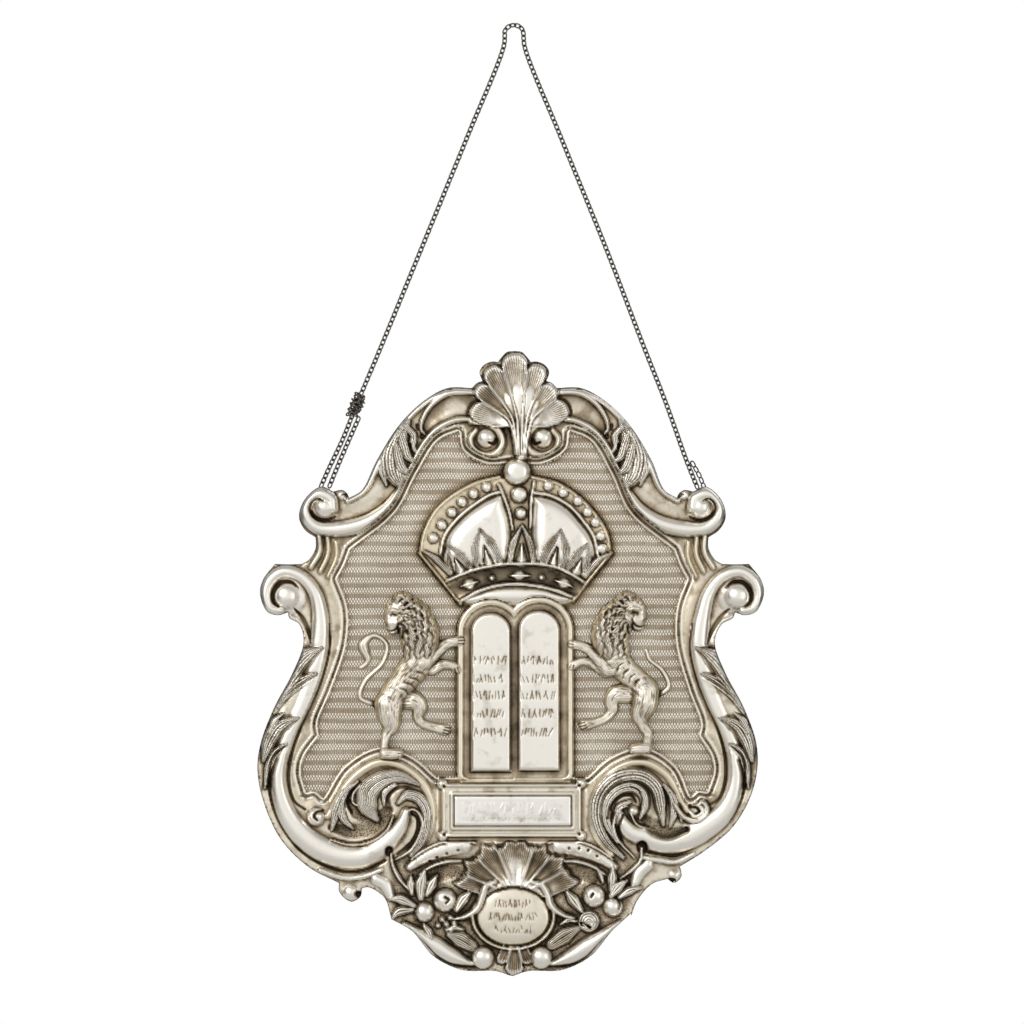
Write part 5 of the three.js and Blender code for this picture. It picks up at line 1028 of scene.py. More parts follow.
def add_plaque_frame(relief):
    """A frame of two ridges with an ear at each corner, and the window that the loose plaque sits in."""
    zone = relief.inside(rectangle(*PLAQUE_ZONE))
    relief.wipe(zone)
    relief.height = np.where(zone, np.minimum(relief.height, GROUND + ZONE_RISE), relief.height)
    relief.gilt[zone] = ZONE_GILT
    depth = relief.raise_field(rectangle(*PLAQUE_FRAME), FRAME_FLAT, FRAME_BEVEL)
    band = relief.depth_inside(rectangle(*PLAQUE_FRAME), 3)
    near = relief.depth_outside(rectangle(*PLAQUE_WINDOW), 3)
    for away, half in zip((band, near), FRAME_RIDGES):
        ridge = half_round((away - half) / half) * (depth > 0)
        relief.height = np.maximum(relief.height, (FRAME_FLAT + ridge) * (ridge > 0))
    for ear in FRAME_EARS:
        relief.add("groove", [ear], [EAR_SEAT[0]], EAR_SEAT[1], {"dark": 0.4})
        relief.add("ball", [ear], [EAR_RADIUS], FRAME_LEVEL + EAR_RISE, {})
    sunk = relief.depth_inside(rectangle(*PLAQUE_WINDOW), 2)
    relief.height += (WINDOW_LEVEL - relief.height) * smoothstep(0, WINDOW_BEVEL, sunk)
    relief.wipe(depth > 0.2)
    relief.gilt[depth > 0.2] = FRAME_GILT
    for dot in FRAME_DOTS:
        relief.add("hollow", [dot], [DOT_RADIUS], FRAME_DOT_LEVEL, {"dark": 1})


def add_cartouche(relief):
    """An oval field with rows of strokes, in a ring that two straps hold."""
    (cx, cz), (across, up) = CARTOUCHE
    x, z = np.meshgrid(relief.xs, relief.zs)
    radius = np.hypot((x - cx) / across, (z - cz) / up)
    off_ring = np.abs(radius - CARTOUCHE_RING) / CARTOUCHE_RING_HALF
    lower = smoothstep(*CARTOUCHE_RING_TOP, z)
    relief.height = np.where(radius < CARTOUCHE_SEAT, GROUND + CARTOUCHE_SEAT_RISE, relief.height)
    ring = GROUND + CARTOUCHE_RING_RISE * half_round(off_ring) * lower
    relief.height = np.where(off_ring < 1, np.maximum(relief.height, ring), relief.height)
    edge, rise = CARTOUCHE_FIELD
    field = GROUND + edge + rise * half_round(radius) ** 0.5
    relief.height = np.where(radius < 1, np.maximum(relief.height, field), relief.height)
    clear = radius < CARTOUCHE_CLEAR
    relief.wipe(clear)
    relief.dark[(radius > CARTOUCHE_EDGE) & clear] = 0.4
    relief.gilt[clear] = CARTOUCHE_GILT
    for strap in CARTOUCHE_STRAPS:
        relief.add("roll", strap, *CARTOUCHE_STRAP)
    for row, (z_row, half) in enumerate(CARTOUCHE_ROWS):
        stroke_row(relief, cx - half, cx + half, z_row, CARTOUCHE_STROKES, CARTOUCHE_SEED + row)


# Moulding round the panel: distances from the panel's edge
MOULDING_ROWS = [0.05, 0.3, 0.62, 0.95, 1.28, 1.6, 2.1, 2.55, 2.95, 3.35, 3.75, 4.15]
MOULDING_WIDTH = 4.3
MOULDING_SINK = 0.1
MOULDING_GILT = 0.3
MOULDING_DARK = 0.4
RECESS = ((1.4, 1.8), (2.9, 2.4))   # the dark recess between the ridges sets in and fades out
FIRST_GROOVE = (0.5, 0.2)           # the dark groove along the panel fades out
OUTER_FOOT = (0.6, 0.55)            # rise beyond the outer ridge, and how far it stays below the border
OUTER_FOOT_START = 3.6
# Its two ridges: distance, half-width and rise
INNER_RIDGE = (0.95, 0.65, 1.3)
OUTER_RIDGE = (3.35, 0.8, 1.7)


def add_panel_moulding(relief, in_panel, away):
    """Two fine ridges with a groove between them and a brown recess beyond, round the panel."""
    out = np.where(in_panel, 0, away)
    near = ~in_panel & (away < MOULDING_WIDTH)
    mould = GROUND - MOULDING_SINK
    for line, half, rise in (INNER_RIDGE, OUTER_RIDGE):
        mould = mould + rise * half_round((out - line) / half)
    foot, below = OUTER_FOOT
    outside = GROUND + foot + (BORDER_RISE - below) * smoothstep(OUTER_FOOT_START, MOULDING_WIDTH, out)
    mould = np.where(out > OUTER_RIDGE[0], np.maximum(mould, outside), mould)
    relief.height = np.where(near, mould, relief.height)
    relief.wipe(near)
    recess = smoothstep(*RECESS[0], out) * smoothstep(*RECESS[1], out)
    groove = np.maximum(recess, smoothstep(*FIRST_GROOVE, out))
    relief.dark[near] = MOULDING_DARK * groove[near]
    relief.gilt[near] = MOULDING_GILT
    return near, mould


def plate_loops(step):
    """The outline of the plate and the edge of its panel."""
    left = SHELL_RUNS + SIDE_RUNS + LEFT_HOOK_RUNS + FOOT_RUNS
    right = mirrored_runs(SHELL_RUNS + SIDE_RUNS) + RIGHT_HOOK_RUNS + mirrored_runs(FOOT_RUNS)
    outline = closed_loop(left, right, step)
    panel = closed_loop(PANEL_RUNS, mirrored_runs(PANEL_RUNS), step)
    return outline, panel


def moulding_points(relief, panel, away, moulded):
    """Rows of points along the bare moulding, which keep its fine ridges smooth, and the cells they cover."""
    ahead = np.roll(panel, -1, 0) - np.roll(panel, 1, 0)
    outward = np.stack([ahead[:, 1], -ahead[:, 0]], 1) / np.linalg.norm(ahead, axis=1)[:, None]
    rows = []
    for k, gap in enumerate(MOULDING_ROWS):
        spots = (panel + outward * gap)[k % 2::2]
        true = np.abs(relief.sample(away, *spots.T) - gap) < 0.1
        bare = relief.sample(moulded.astype(float), *spots.T) > 0.9
        rows.append(spots[true & bare])
    points = np.vstack(rows)
    i, j = np.round((points - relief.low) / relief.cell).astype(int).T
    marks = np.zeros(moulded.shape)
    marks[j, i] = 1
    return points, moulded & (box_blur(marks, 2) > 1e-6)


# Border and foot of the plate: spans of distance from the panel, height or width
PLATE_LOW = (-129, -160)
PLATE_HIGH = (128, 157)
BORDER_REACH = 9
COVE_SPAN = (3.4, 7.5)
BORDER_GILT = (0.45, 0.25)      # everywhere, and more beside the panel
BORDER_DARK = (0.14, 0.18)
GILT_SPAN = (9, 5)
DARK_SPAN = (8.6, 6)
FOOT_SPAN = (-95, -102)
FOOT_WIDTH = (63, 57)
FOOT_LOOK = {"gilt": 0.4, "dark": 0.1, "stipple": 0.8}
BRACKET_DOT_DEPTH = 1.2
EDGE_DROP = 0.2                 # the relief goes at most this far below the cut edge


def plate_relief(outline, panel, cell):
    """The plate's relief, and the rows of points along its moulding."""
    relief = Relief(PLATE_LOW, PLATE_HIGH, cell, GROUND)
    in_panel = relief.inside(panel)
    away = relief.distance(panel, BORDER_REACH)
    border = GROUND + BORDER_RISE + BORDER_COVE * smoothstep(*COVE_SPAN, away)
    relief.height = np.where(in_panel, GROUND, border)
    relief.gilt = np.where(in_panel, 0, BORDER_GILT[0] + BORDER_GILT[1] * smoothstep(*GILT_SPAN, away))
    relief.dark = np.where(in_panel, 0, BORDER_DARK[0] + BORDER_DARK[1] * smoothstep(*DARK_SPAN, away))
    x, z = np.meshgrid(relief.xs, relief.zs)
    foot = smoothstep(*FOOT_SPAN, z) * smoothstep(*FOOT_WIDTH, np.abs(x))
    relief.height -= FOOT_SINK * foot
    for name, value in FOOT_LOOK.items():
        setattr(relief, name, np.maximum(getattr(relief, name), value * foot))
    for form in SIDE_FORMS:
        relief.add(*form)
        relief.add(*mirrored_form(form))
    for form in LEFT_SWIRL + RIGHT_SWIRL:
        relief.add(*form)
    near, mould = add_panel_moulding(relief, in_panel, away)
    relief.ground[in_panel] = 1
    for form in FOOT_FORMS:
        relief.add(*form)
    for berry in BERRIES:
        relief.add("ball", [berry], [BERRY_RADIUS], BERRY_LEVEL, {})
    for dot in BRACKET_DOTS:
        relief.add("groove", [dot], [DOT_RADIUS], BRACKET_DOT_DEPTH, {"dark": 0.9})
    for shell in (FOOT_SHELL, FOOT_FAN, TOP_SHELL):
        relief.add_shell(shell)
    stem, widths, level = STEM
    relief.add("roll", stem, widths, level, {})
    (cx, cz), bearings = TOP_SHELL[0], TOP_SHELL[4][1:-1]
    for bearing in np.radians(bearings):
        route = [(cx + aside * math.sin(bearing), cz + up * (math.cos(bearing) if fan else 1))
                 for aside, up, fan in STEM_STATIONS]
        groove_widths = [half + STEM_GROOVE for half in STEM_RIB_WIDTHS]
        relief.add("groove", route, groove_widths, STEM_GROOVE, {"dark": 0.2})
        relief.add("roll", route, STEM_RIB_WIDTHS, STEM_RIB_LEVEL, {})
    add_crown(relief)
    add_tablets(relief)
    add_plaque_frame(relief)
    add_cartouche(relief)
    t = np.clip(relief.distance(outline, EDGE_ROLL) / EDGE_ROLL, 0, 1)
    relief.height = np.minimum(relief.height, EDGE_LEVEL + EDGE_RISE * np.sqrt(t * (2 - t)))
    relief.height = np.maximum(relief.height, EDGE_LEVEL - EDGE_DROP)
    moulded = near & (np.abs(relief.height - mould) < 1e-6)
    return relief, moulding_points(relief, panel, away, moulded)


SHADE_STEP = 0.25
SPREAD_MARGIN = 2


def between(values, step):
    """A map rebuilt from every step-th cell of it."""
    rows, cols = values.shape
    u, v = np.arange(cols)[None, :] / step, np.arange(rows)[:, None] / step
    return between_cells(values[::step, ::step], u, v)


def spread_points(height, inside, coarsest, finest, tolerance, shade=None):
    """Points of nested grids, closer together where the relief departs from flat facets.

    A shade map asks for closer points too, and a little beyond each bend, down to the last step but one.
    """
    rows, cols = height.shape
    chosen = np.zeros(height.shape, bool)
    step = coarsest
    chosen[::step, ::step] = True
    j, i = np.arange(rows), np.arange(cols)
    while step > finest:
        error = np.abs(height - between(height, step)) / tolerance
        if shade is not None and step > 2 * finest:
            error = np.maximum(error, np.abs(shade - between(shade, step)) / SHADE_STEP)
            error = -eroded(-error, SPREAD_MARGIN)
        error = error * inside
        blocks = np.zeros((rows // step + 2, cols // step + 2))
        np.maximum.at(blocks, (np.broadcast_to(j[:, None] // step, height.shape),
                               np.broadcast_to(i[None, :] // step, height.shape)), error)
        step //= 2
        fine = np.zeros(height.shape, bool)
        fine[::step, ::step] = True
        wanted = (blocks > 1)[j // (2 * step)][:, i // (2 * step)]
        chosen |= fine & wanted
    return chosen & inside


def sheet_mesh(points, loop):
    """Triangles over the points inside a loop; the loop's points come first."""
    count = len(loop)
    vertices = [Vector(p) for p in loop] + [Vector(p) for p in points]
    edges = [(k, (k + 1) % count) for k in range(count)]
    verts, _, faces, _, _, _ = delaunay_2d_cdt(vertices, edges, [list(range(count))], 1, 1e-7)
    flat = np.array([(v.x, v.y) for v in verts])
    tris = np.array(faces)
    a, b, c = flat[tris[:, 0]], flat[tris[:, 1]], flat[tris[:, 2]]
    area = (b[:, 0] - a[:, 0]) * (c[:, 1] - a[:, 1]) - (b[:, 1] - a[:, 1]) * (c[:, 0] - a[:, 0])
    tris[area < 0] = tris[area < 0][:, ::-1]
    return flat, tris[np.abs(area) > 1e-10]


def rim_edges(tris):
    """Directed edges that only one triangle has."""
    edges = np.vstack([tris[:, [0, 1]], tris[:, [1, 2]], tris[:, [2, 0]]])
    key = edges.min(1).astype(np.int64) * (edges.max() + 1) + edges.max(1)
    _, first, counts = np.unique(key, return_index=True, return_counts=True)
    return edges[first[counts == 1]]


def build_mesh(name, points, faces, material, attributes=None, normals=None):
    """A mesh object at the origin, smooth shaded, with its finish maps as attributes."""
    mesh = bpy.data.meshes.new(name)
    mesh.from_pydata(np.asarray(points).tolist(), [], [list(map(int, face)) for face in faces])
    for key, values in (attributes or {}).items():
        layer = mesh.attributes.new(key, "FLOAT", "POINT")
        layer.data.foreach_set("value", np.asarray(values, np.float32))
    mesh.polygons.foreach_set("use_smooth", [True] * len(mesh.polygons))
    mesh.update()
    if normals is not None:
        mesh.normals_split_custom_set_from_vertices(np.asarray(normals).tolist())
    mesh.materials.append(material)
    piece = bpy.data.objects.new(name, mesh)
    bpy.context.scene.collection.objects.link(piece)
    return piece


def to_part(flat, depth):
    """Points of the shield's own frame, in the part's frame and in metres."""
    return np.stack(place(flat[:, 0], flat[:, 1], depth), 1)


RIM_LEAN = 0.6      # normals along the rim turn outwards, with this share of their forward part
BACK_TONE = 0.25    # patina of the back


def relief_piece(name, relief, front, back, back_depth, material):
    """A closed piece from a front and a back sheet on the same rim."""
    (flat, tris), (flat_back, tris_back) = front, back
    depth = relief.sample(relief.height, flat[:, 0], flat[:, 1])
    points = np.vstack([to_part(flat, depth), to_part(flat_back, back_depth)])
    rim = rim_edges(tris)
    rim_back = rim_edges(tris_back)
    first = {tuple(np.round(flat_back[k], 4)): k for k in np.unique(rim_back)}
    pair = {k: first[tuple(np.round(flat[k], 4))] + len(flat) for k in np.unique(rim)}
    walls = [(b, a, pair[a], pair[b]) for a, b in rim.tolist()]
    faces = tris.tolist() + (tris_back[:, ::-1] + len(flat)).tolist() + walls
    slope_z, slope_x = np.gradient(box_blur(relief.height, 1), relief.cell)
    aside, up = relief.sample(slope_x, *flat.T), relief.sample(slope_z, *flat.T)
    lean = np.stack([-aside, -np.ones(len(flat)), -up], 1)
    lean[np.unique(rim)] *= (1, RIM_LEAN, 1)
    behind = np.tile((0.0, 1.0, 0.0), (len(flat_back), 1))
    normals = np.vstack([lean / np.linalg.norm(lean, axis=1)[:, None], behind])
    looks = {}
    for key, values in relief.looks().items():
        backing = BACK_TONE if key == "tone" else 0.0
        looks[key] = np.concatenate([relief.sample(values, *flat.T), np.full(len(flat_back), backing)])
    return build_mesh(name, points, faces, material, looks, normals)


def eroded(values, reach):
    """Least value within reach cells."""
    for axis in (0, 1):
        low = values.copy()
        for shift in range(1, reach + 1):
            for step in (-shift, shift):
                low = np.minimum(low, np.roll(values, step, axis))
        values = low
    return values


def net_sheet(relief, field):
    """A sheet of small quads over the cells where the field is above zero, with a smooth rim."""
    inside = field > 0
    rows, cols = field.shape
    total = np.zeros((rows - 1, cols - 1, 2))
    count = np.zeros((rows - 1, cols - 1))
    corners = [(0, 0), (0, 1), (1, 1), (1, 0)]
    for (ja, ia), (jb, ib) in zip(corners, corners[1:] + corners[:1]):
        a = field[ja:rows - 1 + ja, ia:cols - 1 + ia]
        b = field[jb:rows - 1 + jb, ib:cols - 1 + ib]
        crossed = (a > 0) != (b > 0)
        t = np.where(crossed, a / np.where(crossed, a - b, 1), 0)
        total[..., 0] += np.where(crossed, ia + (ib - ia) * t, 0)
        total[..., 1] += np.where(crossed, ja + (jb - ja) * t, 0)
        count += crossed
    middle = np.where(count[..., None] > 0, total / np.maximum(count, 1)[..., None], 0.5)
    j, i = np.nonzero(inside[1:-1, 1:-1])
    j, i = j + 1, i + 1
    keys = np.stack([(j - 1) * cols + i - 1, (j - 1) * cols + i, j * cols + i, j * cols + i - 1], 1)
    used, quads = np.unique(keys, return_inverse=True)
    quads = quads.reshape(keys.shape)
    cj, ci = used // cols, used % cols
    spots = middle[cj, ci] * relief.cell
    flat = np.stack([relief.xs[ci] + spots[:, 0], relief.zs[cj] + spots[:, 1]], 1)
    tris = np.vstack([quads[:, [0, 1, 2]], quads[:, [0, 2, 3]]])
    return flat, tris


def feed(tree, socket, value):
    """Links a socket to another one, or gives it a value."""
    if isinstance(value, bpy.types.NodeSocket):
        tree.links.new(value, socket)
    else:
        socket.default_value = value


def set_node(tree, kind, settings=None, inputs=None):
    """A node with its settings, and its sockets' values or links."""
    node = tree.nodes.new(kind)
    for key, value in (settings or {}).items():
        setattr(node, key, value)
    for key, value in (inputs or {}).items():
        feed(tree, node.inputs[key], value)
    return node


class Value:
    """A number that varies over a surface; Python's operators add Math nodes."""

    def __init__(self, finish, socket):
        self.finish = finish
        self.socket = socket

    def __add__(self, other):
        return self.finish.math("ADD", self, other)

    def __sub__(self, other):
        return self.finish.math("SUBTRACT", self, other)

    def __rsub__(self, other):
        return self.finish.math("SUBTRACT", other, self)

    def __mul__(self, other):
        return self.finish.math("MULTIPLY", self, other)

    def __truediv__(self, other):
        return self.finish.math("DIVIDE", self, other)

    __radd__ = __add__
    __rmul__ = __mul__


class Finish:
    """A node material under construction."""

    def __init__(self, name):
        self.material = bpy.data.materials.new(name)
        self.material.use_nodes = True
        self.tree = self.material.node_tree
        self.tree.nodes.clear()
        self.surface = self.add("ShaderNodeBsdfPrincipled", output=None)
        out = self.add("ShaderNodeOutputMaterial", output=None)
        self.tree.links.new(self.surface.outputs[0], out.inputs["Surface"])
        self.place = self.add("ShaderNodeTexCoord", output="Object")

    def add(self, kind, settings=None, inputs=None, output=0):
        """Adds a node; returns one of its outputs as a Value, or the node itself."""
        sockets = {key: getattr(value, "socket", value) for key, value in (inputs or {}).items()}
        node = set_node(self.tree, kind, settings, sockets)
        return node if output is None else Value(self, node.outputs[output])

    def feed(self, name, value):
        """Gives one of the surface's inputs a value or a link."""
        feed(self.tree, self.surface.inputs[name], getattr(value, "socket", value))

    def math(self, operation, a, b=0.0, clamp=False):
        return self.add("ShaderNodeMath", {"operation": operation, "use_clamp": clamp}, {0: a, 1: b})

    def attribute(self, name):
        return self.add("ShaderNodeAttribute", {"attribute_name": name}, output="Fac")

    def noise(self, scale, detail=2.0):
        inputs = {"Vector": self.place, "Scale": scale, "Detail": detail}
        return self.add("ShaderNodeTexNoise", None, inputs, output="Fac")

    def mix(self, factor, a, b):
        inputs = {0: factor, 6: a, 7: b}
        return self.add("ShaderNodeMix", {"data_type": "RGBA", "clamp_factor": True}, inputs, output=2)

    def ramp(self, value, start, end):
        inputs = {"Value": value, "From Min": start, "From Max": end}
        return self.add("ShaderNodeMapRange", {"interpolation_type": "SMOOTHSTEP"}, inputs)

    def bump(self, height, distance):
        inputs = {"Height": height, "Distance": distance * MM, "Strength": 1.0}
        self.feed("Normal", self.add("ShaderNodeBump", None, inputs, output="Normal"))


def colour(rgb, shade=1.0):
    return (rgb[0] * shade, rgb[1] * shade, rgb[2] * shade, 1.0)


# Engine-turned ground, in millimetres
TURNED_ROW = 5.2
PEARL_SPACING = 1.45
PEARL_ROW = 1.25
TURNED_WANDER = 1.2
TURNED_NOISE = (70, 1)
RULES_PER_PEARL = 1.6
ROW_SPAN = (0.36, 0.50)
TURNED_PEARL_SPAN = (0.06, 0.40)
RULE_SPAN = (0.1, 0.8)
RULE_HEIGHT = 0.5
# Darkness between the pearls, between the rules, on the rules and everywhere
TURNED_SHADES = (0.40, 0.24, 0.26, 0.09)

# Chased silver: noises as scale and detail, spans of ramps, and shares in the tarnish, which also carries
# painted shade
CLOUD = (45, 4)
GRAIN = (700, 3)
STAIN = (120, 6)
DOT_SCALE = 1300.0
DOT_SPAN = (0.15, 0.5)
LINE_SPAN = (0.1, 0.7)
STAIN_SPAN = (0.47, 0.66)
BROWN_SPAN = (0.02, 0.55)
DEEP_SPAN = (0.38, 1.05)
CLOUD_WEAR = 0.30
GRAIN_WEAR = 0.16
STAIN_WEAR = 0.2
LINE_WEAR = 0.42
DOT_WEAR = 0.42
CREST_SHINE = 0.45
CLOUD_TINT = 0.93
GILT_SHARE = 0.68
# Added roughness of the brown, the grain and the ground, and heights of lines, dots, turning and grain
ROUGHER = (0.14, 0.10, 0.06)
BUMP_HEIGHTS = (1.0, 0.9, 0.35, 0.10)
BUMP_DEPTH = 0.22

# Chain silver
CHAIN_CLOUD = (160, 4)
CHAIN_GRAIN = (1500, 2)
CHAIN_SHADE = 0.45
RUBBED_SPAN = (0.47, 0.62)
RUBBED_WANDER = 0.12
RUBBED_SHARE = 0.12
CHAIN_ROUGHNESS = (0.34, 0.2, 0.08)     # plain, more with the grain and less where it is rubbed
CHAIN_BUMP = 0.08

# Floor paint
FLOOR_CLOUD = (3, 2)
FLOOR_TINT = 0.97
FLOOR_ROUGHNESS = 0.85


def zigzag(finish, value):
    """0 at whole numbers and 1 half way between them."""
    return finish.math("PINGPONG", value, 0.5) * 2.0


def engine_turning(finish):
    """Rows of small pearls between rows of upright rules; returns the relief and the shade."""
    split = finish.add("ShaderNodeSeparateXYZ", None, {0: finish.place}, output=None)
    across = Value(finish, split.outputs["X"]) / (PEARL_SPACING * MM)
    up = Value(finish, split.outputs["Z"]) + (finish.noise(*TURNED_NOISE) - 0.5) * (TURNED_WANDER * MM)
    slant = up / (2 * PEARL_ROW * MM)
    rows = finish.ramp(zigzag(finish, up / (TURNED_ROW * MM)), *ROW_SPAN)
    pearls = finish.ramp(zigzag(finish, across + slant) * zigzag(finish, across - slant), *TURNED_PEARL_SPAN)
    rules = finish.ramp(zigzag(finish, across * RULES_PER_PEARL), *RULE_SPAN)
    relief = pearls * rows + rules * (1 - rows) * RULE_HEIGHT
    pearl_gap, rule_gap, rule, plain = TURNED_SHADES
    shade = (1 - pearls) * rows * pearl_gap + (1 - rows) * ((1 - rules) * rule_gap + rule) + plain
    return relief, shade


def chased_silver(name, base, settings):
    """Polished relief over brown patina and painted shade, with chased lines, stippling and an engine-turned
    ground.
    """
    finish = Finish(name)
    names = ("tone", "crest", "gilt", "stipple", "lined", "ground")
    tone, crest, gilt, stipple, lined, ground = [finish.attribute(key) for key in names]
    cloud = finish.noise(*CLOUD)
    grain = finish.noise(*GRAIN)
    lines = finish.ramp(zigzag(finish, finish.attribute("line")), *LINE_SPAN)
    turned, turned_shade = engine_turning(finish)
    cells = {"Vector": finish.place, "Scale": DOT_SCALE}
    dotted = finish.ramp(finish.add("ShaderNodeTexVoronoi", None, cells, output="Distance"), *DOT_SPAN)

    stains = finish.ramp(finish.noise(*STAIN), *STAIN_SPAN) * (1 - ground)
    # tarnish from the tone map, which also holds painted shade round leaves, in shell flutes and at limb
    # edges, plus random stains and wear
    tarnish_and_shade = tone + (cloud - 0.5) * CLOUD_WEAR + (grain - 0.5) * GRAIN_WEAR + stains * STAIN_WEAR
    tarnish_and_shade = tarnish_and_shade + lined * (1 - lines) * LINE_WEAR + stipple * (1 - dotted) * DOT_WEAR - crest * CREST_SHINE
    tarnish_and_shade = tarnish_and_shade + ground * turned_shade
    brown = finish.ramp(tarnish_and_shade, *BROWN_SPAN)
    deep = finish.ramp(tarnish_and_shade, *DEEP_SPAN)
    bare = finish.mix(cloud, colour(base), colour(base, CLOUD_TINT))
    gilded = finish.mix(gilt * GILT_SHARE, bare, colour(settings.gilt))
    stained = finish.mix(brown, gilded, colour(settings.brown))
    finish.feed("Base Color", finish.mix(deep, stained, colour(settings.patina)))
    finish.feed("Metallic", 1.0)
    rough_brown, rough_grain, rough_ground = ROUGHER
    rough = settings.roughness + brown * rough_brown + grain * rough_grain + ground * rough_ground
    finish.feed("Roughness", rough)
    line_height, dot_height, turned_height, grain_height = BUMP_HEIGHTS
    height = lined * lines * line_height + stipple * dotted * dot_height
    finish.bump(height + ground * turned * turned_height + grain * grain_height, BUMP_DEPTH)
    return finish.material


def dark_silver(settings):
    """Oxidised chain wire, rubbed brighter on its outer sides."""
    finish = Finish("dark_silver")
    cloud = finish.noise(*CHAIN_CLOUD)
    grain = finish.noise(*CHAIN_GRAIN)
    edges = finish.add("ShaderNodeNewGeometry", output="Pointiness")
    rubbed = finish.ramp(edges + (cloud - 0.5) * RUBBED_WANDER, *RUBBED_SPAN)
    shade = finish.mix(cloud, colour(settings.chain), colour(settings.chain, CHAIN_SHADE))
    finish.feed("Base Color", finish.mix(rubbed * RUBBED_SHARE, shade, colour(settings.silver)))
    finish.feed("Metallic", 1.0)
    plain, rougher, smoother = CHAIN_ROUGHNESS
    finish.feed("Roughness", plain + grain * rougher - rubbed * smoother)
    finish.bump(grain, CHAIN_BUMP)
    return finish.material


def floor_paint(settings):
    """Pale matt paint."""
    finish = Finish("pale_floor")
    cloud = finish.noise(*FLOOR_CLOUD)
    finish.feed("Base Color", finish.mix(cloud, colour(settings.floor), colour(settings.floor, FLOOR_TINT)))
    finish.feed("Roughness", FLOOR_ROUGHNESS)
    return finish.material


LINK_INPUTS = ("Pitch", "Link Length", "Link Width", "Wire", "Roll")
LINK_ROLL = math.pi / 4
LINK_POINTS = 14
WIRE_POINTS = 6


def link_tree(material):
    """Chain links along a curve, each turned a quarter against the last."""
    tree = bpy.data.node_groups.new("chain_links", "GeometryNodeTree")
    tree.interface.new_socket("Geometry", in_out="INPUT", socket_type="NodeSocketGeometry")
    for name in LINK_INPUTS:
        tree.interface.new_socket(name, in_out="INPUT", socket_type="NodeSocketFloat")
    tree.interface.new_socket("Geometry", in_out="OUTPUT", socket_type="NodeSocketGeometry")
    given = tree.nodes.new("NodeGroupInput").outputs

    def work(operation, a, b=0.0):
        return set_node(tree, "ShaderNodeMath", {"operation": operation}, {0: a, 1: b}).outputs[0]

    route = set_node(tree, "GeometryNodeResampleCurve", {"mode": "LENGTH"},
                     {"Curve": given["Geometry"], "Length": given["Pitch"]})
    wire_radius = work("MULTIPLY", given["Wire"], 0.5)
    bend = work("SUBTRACT", work("MULTIPLY", given["Link Width"], 0.5), wire_radius)
    ring = set_node(tree, "GeometryNodeCurvePrimitiveCircle", None,
                    {"Resolution": LINK_POINTS, "Radius": bend})
    stretch = work("MULTIPLY", work("SUBTRACT", given["Link Length"], given["Link Width"]), 0.5)
    spot = set_node(tree, "GeometryNodeInputPosition")
    parts = set_node(tree, "ShaderNodeSeparateXYZ", None, {0: spot.outputs[0]})
    shift = work("MULTIPLY", work("SIGN", parts.outputs["X"]), stretch)
    move = set_node(tree, "ShaderNodeCombineXYZ", None, {"X": shift})
    oval = set_node(tree, "GeometryNodeSetPosition", None,
                    {"Geometry": ring.outputs["Curve"], "Offset": move.outputs[0]})
    wire = set_node(tree, "GeometryNodeCurvePrimitiveCircle", None,
                    {"Resolution": WIRE_POINTS, "Radius": wire_radius})
    link = set_node(tree, "GeometryNodeCurveToMesh", None,
                    {"Curve": oval.outputs[0], "Profile Curve": wire.outputs["Curve"]})
    tangent = set_node(tree, "GeometryNodeInputTangent")
    aligned = set_node(tree, "FunctionNodeAlignRotationToVector", {"axis": "X"},
                       {"Vector": tangent.outputs[0]})
    index = set_node(tree, "GeometryNodeInputIndex")
    quarter = work("MULTIPLY", work("MODULO", index.outputs[0], 2.0), math.pi / 2)
    spin = set_node(tree, "FunctionNodeAxisAngleToRotation", None,
                    {"Axis": (1.0, 0.0, 0.0), "Angle": work("ADD", quarter, given["Roll"])})
    turned = set_node(tree, "FunctionNodeRotateRotation", {"rotation_space": "LOCAL"},
                      {"Rotation": aligned.outputs[0], "Rotate By": spin.outputs[0]})
    placed = set_node(tree, "GeometryNodeInstanceOnPoints", None,
                      {"Points": route.outputs[0], "Instance": link.outputs[0],
                       "Rotation": turned.outputs[0]})
    real = set_node(tree, "GeometryNodeRealizeInstances", None, {0: placed.outputs[0]})
    smooth = set_node(tree, "GeometryNodeSetShadeSmooth", None, {0: real.outputs[0]})
    painted = set_node(tree, "GeometryNodeSetMaterial", None,
                       {"Geometry": smooth.outputs[0], "Material": material})
    set_node(tree, "NodeGroupOutput", None, {0: painted.outputs[0]})
    return tree


def chain_piece(name, tree, path, sizes):
    """A run of chain links along a path, as a plain mesh."""
    curve = bpy.data.curves.new(name + "_route", "CURVE")
    curve.dimensions = "3D"
    spline = curve.splines.new("POLY")
    spline.points.add(len(path) - 1)
    for point, spot in zip(spline.points, path):
        point.co = (*spot, 1.0)
    carrier = bpy.data.objects.new(name + "_route", curve)
    bpy.context.scene.collection.objects.link(carrier)
    modifier = carrier.modifiers.new("links", "NODES")
    modifier.node_group = tree
    given = (sizes.pitch, sizes.link_length, sizes.link_width, sizes.wire, LINK_ROLL)
    values = dict(zip(LINK_INPUTS, given))
    for item in tree.interface.items_tree:
        if item.in_out == "INPUT" and item.name in values:
            modifier[item.identifier] = values[item.name]
    evaluated = carrier.evaluated_get(bpy.context.evaluated_depsgraph_get())
    mesh = bpy.data.meshes.new_from_object(evaluated)
    mesh.name = name
    if len(mesh.polygons) == 0:
        raise RuntimeError(name + " has no links")
    piece = bpy.data.objects.new(name, mesh)
    bpy.context.scene.collection.objects.link(piece)
    bpy.data.objects.remove(carrier)
    return piece


def chain_path(points, step=STRAND_STEP):
    """A route of the chain in the part's frame, in metres."""
    return [place(x, z, -CHAIN_BEHIND) for x, z in smooth_path(points, step)]


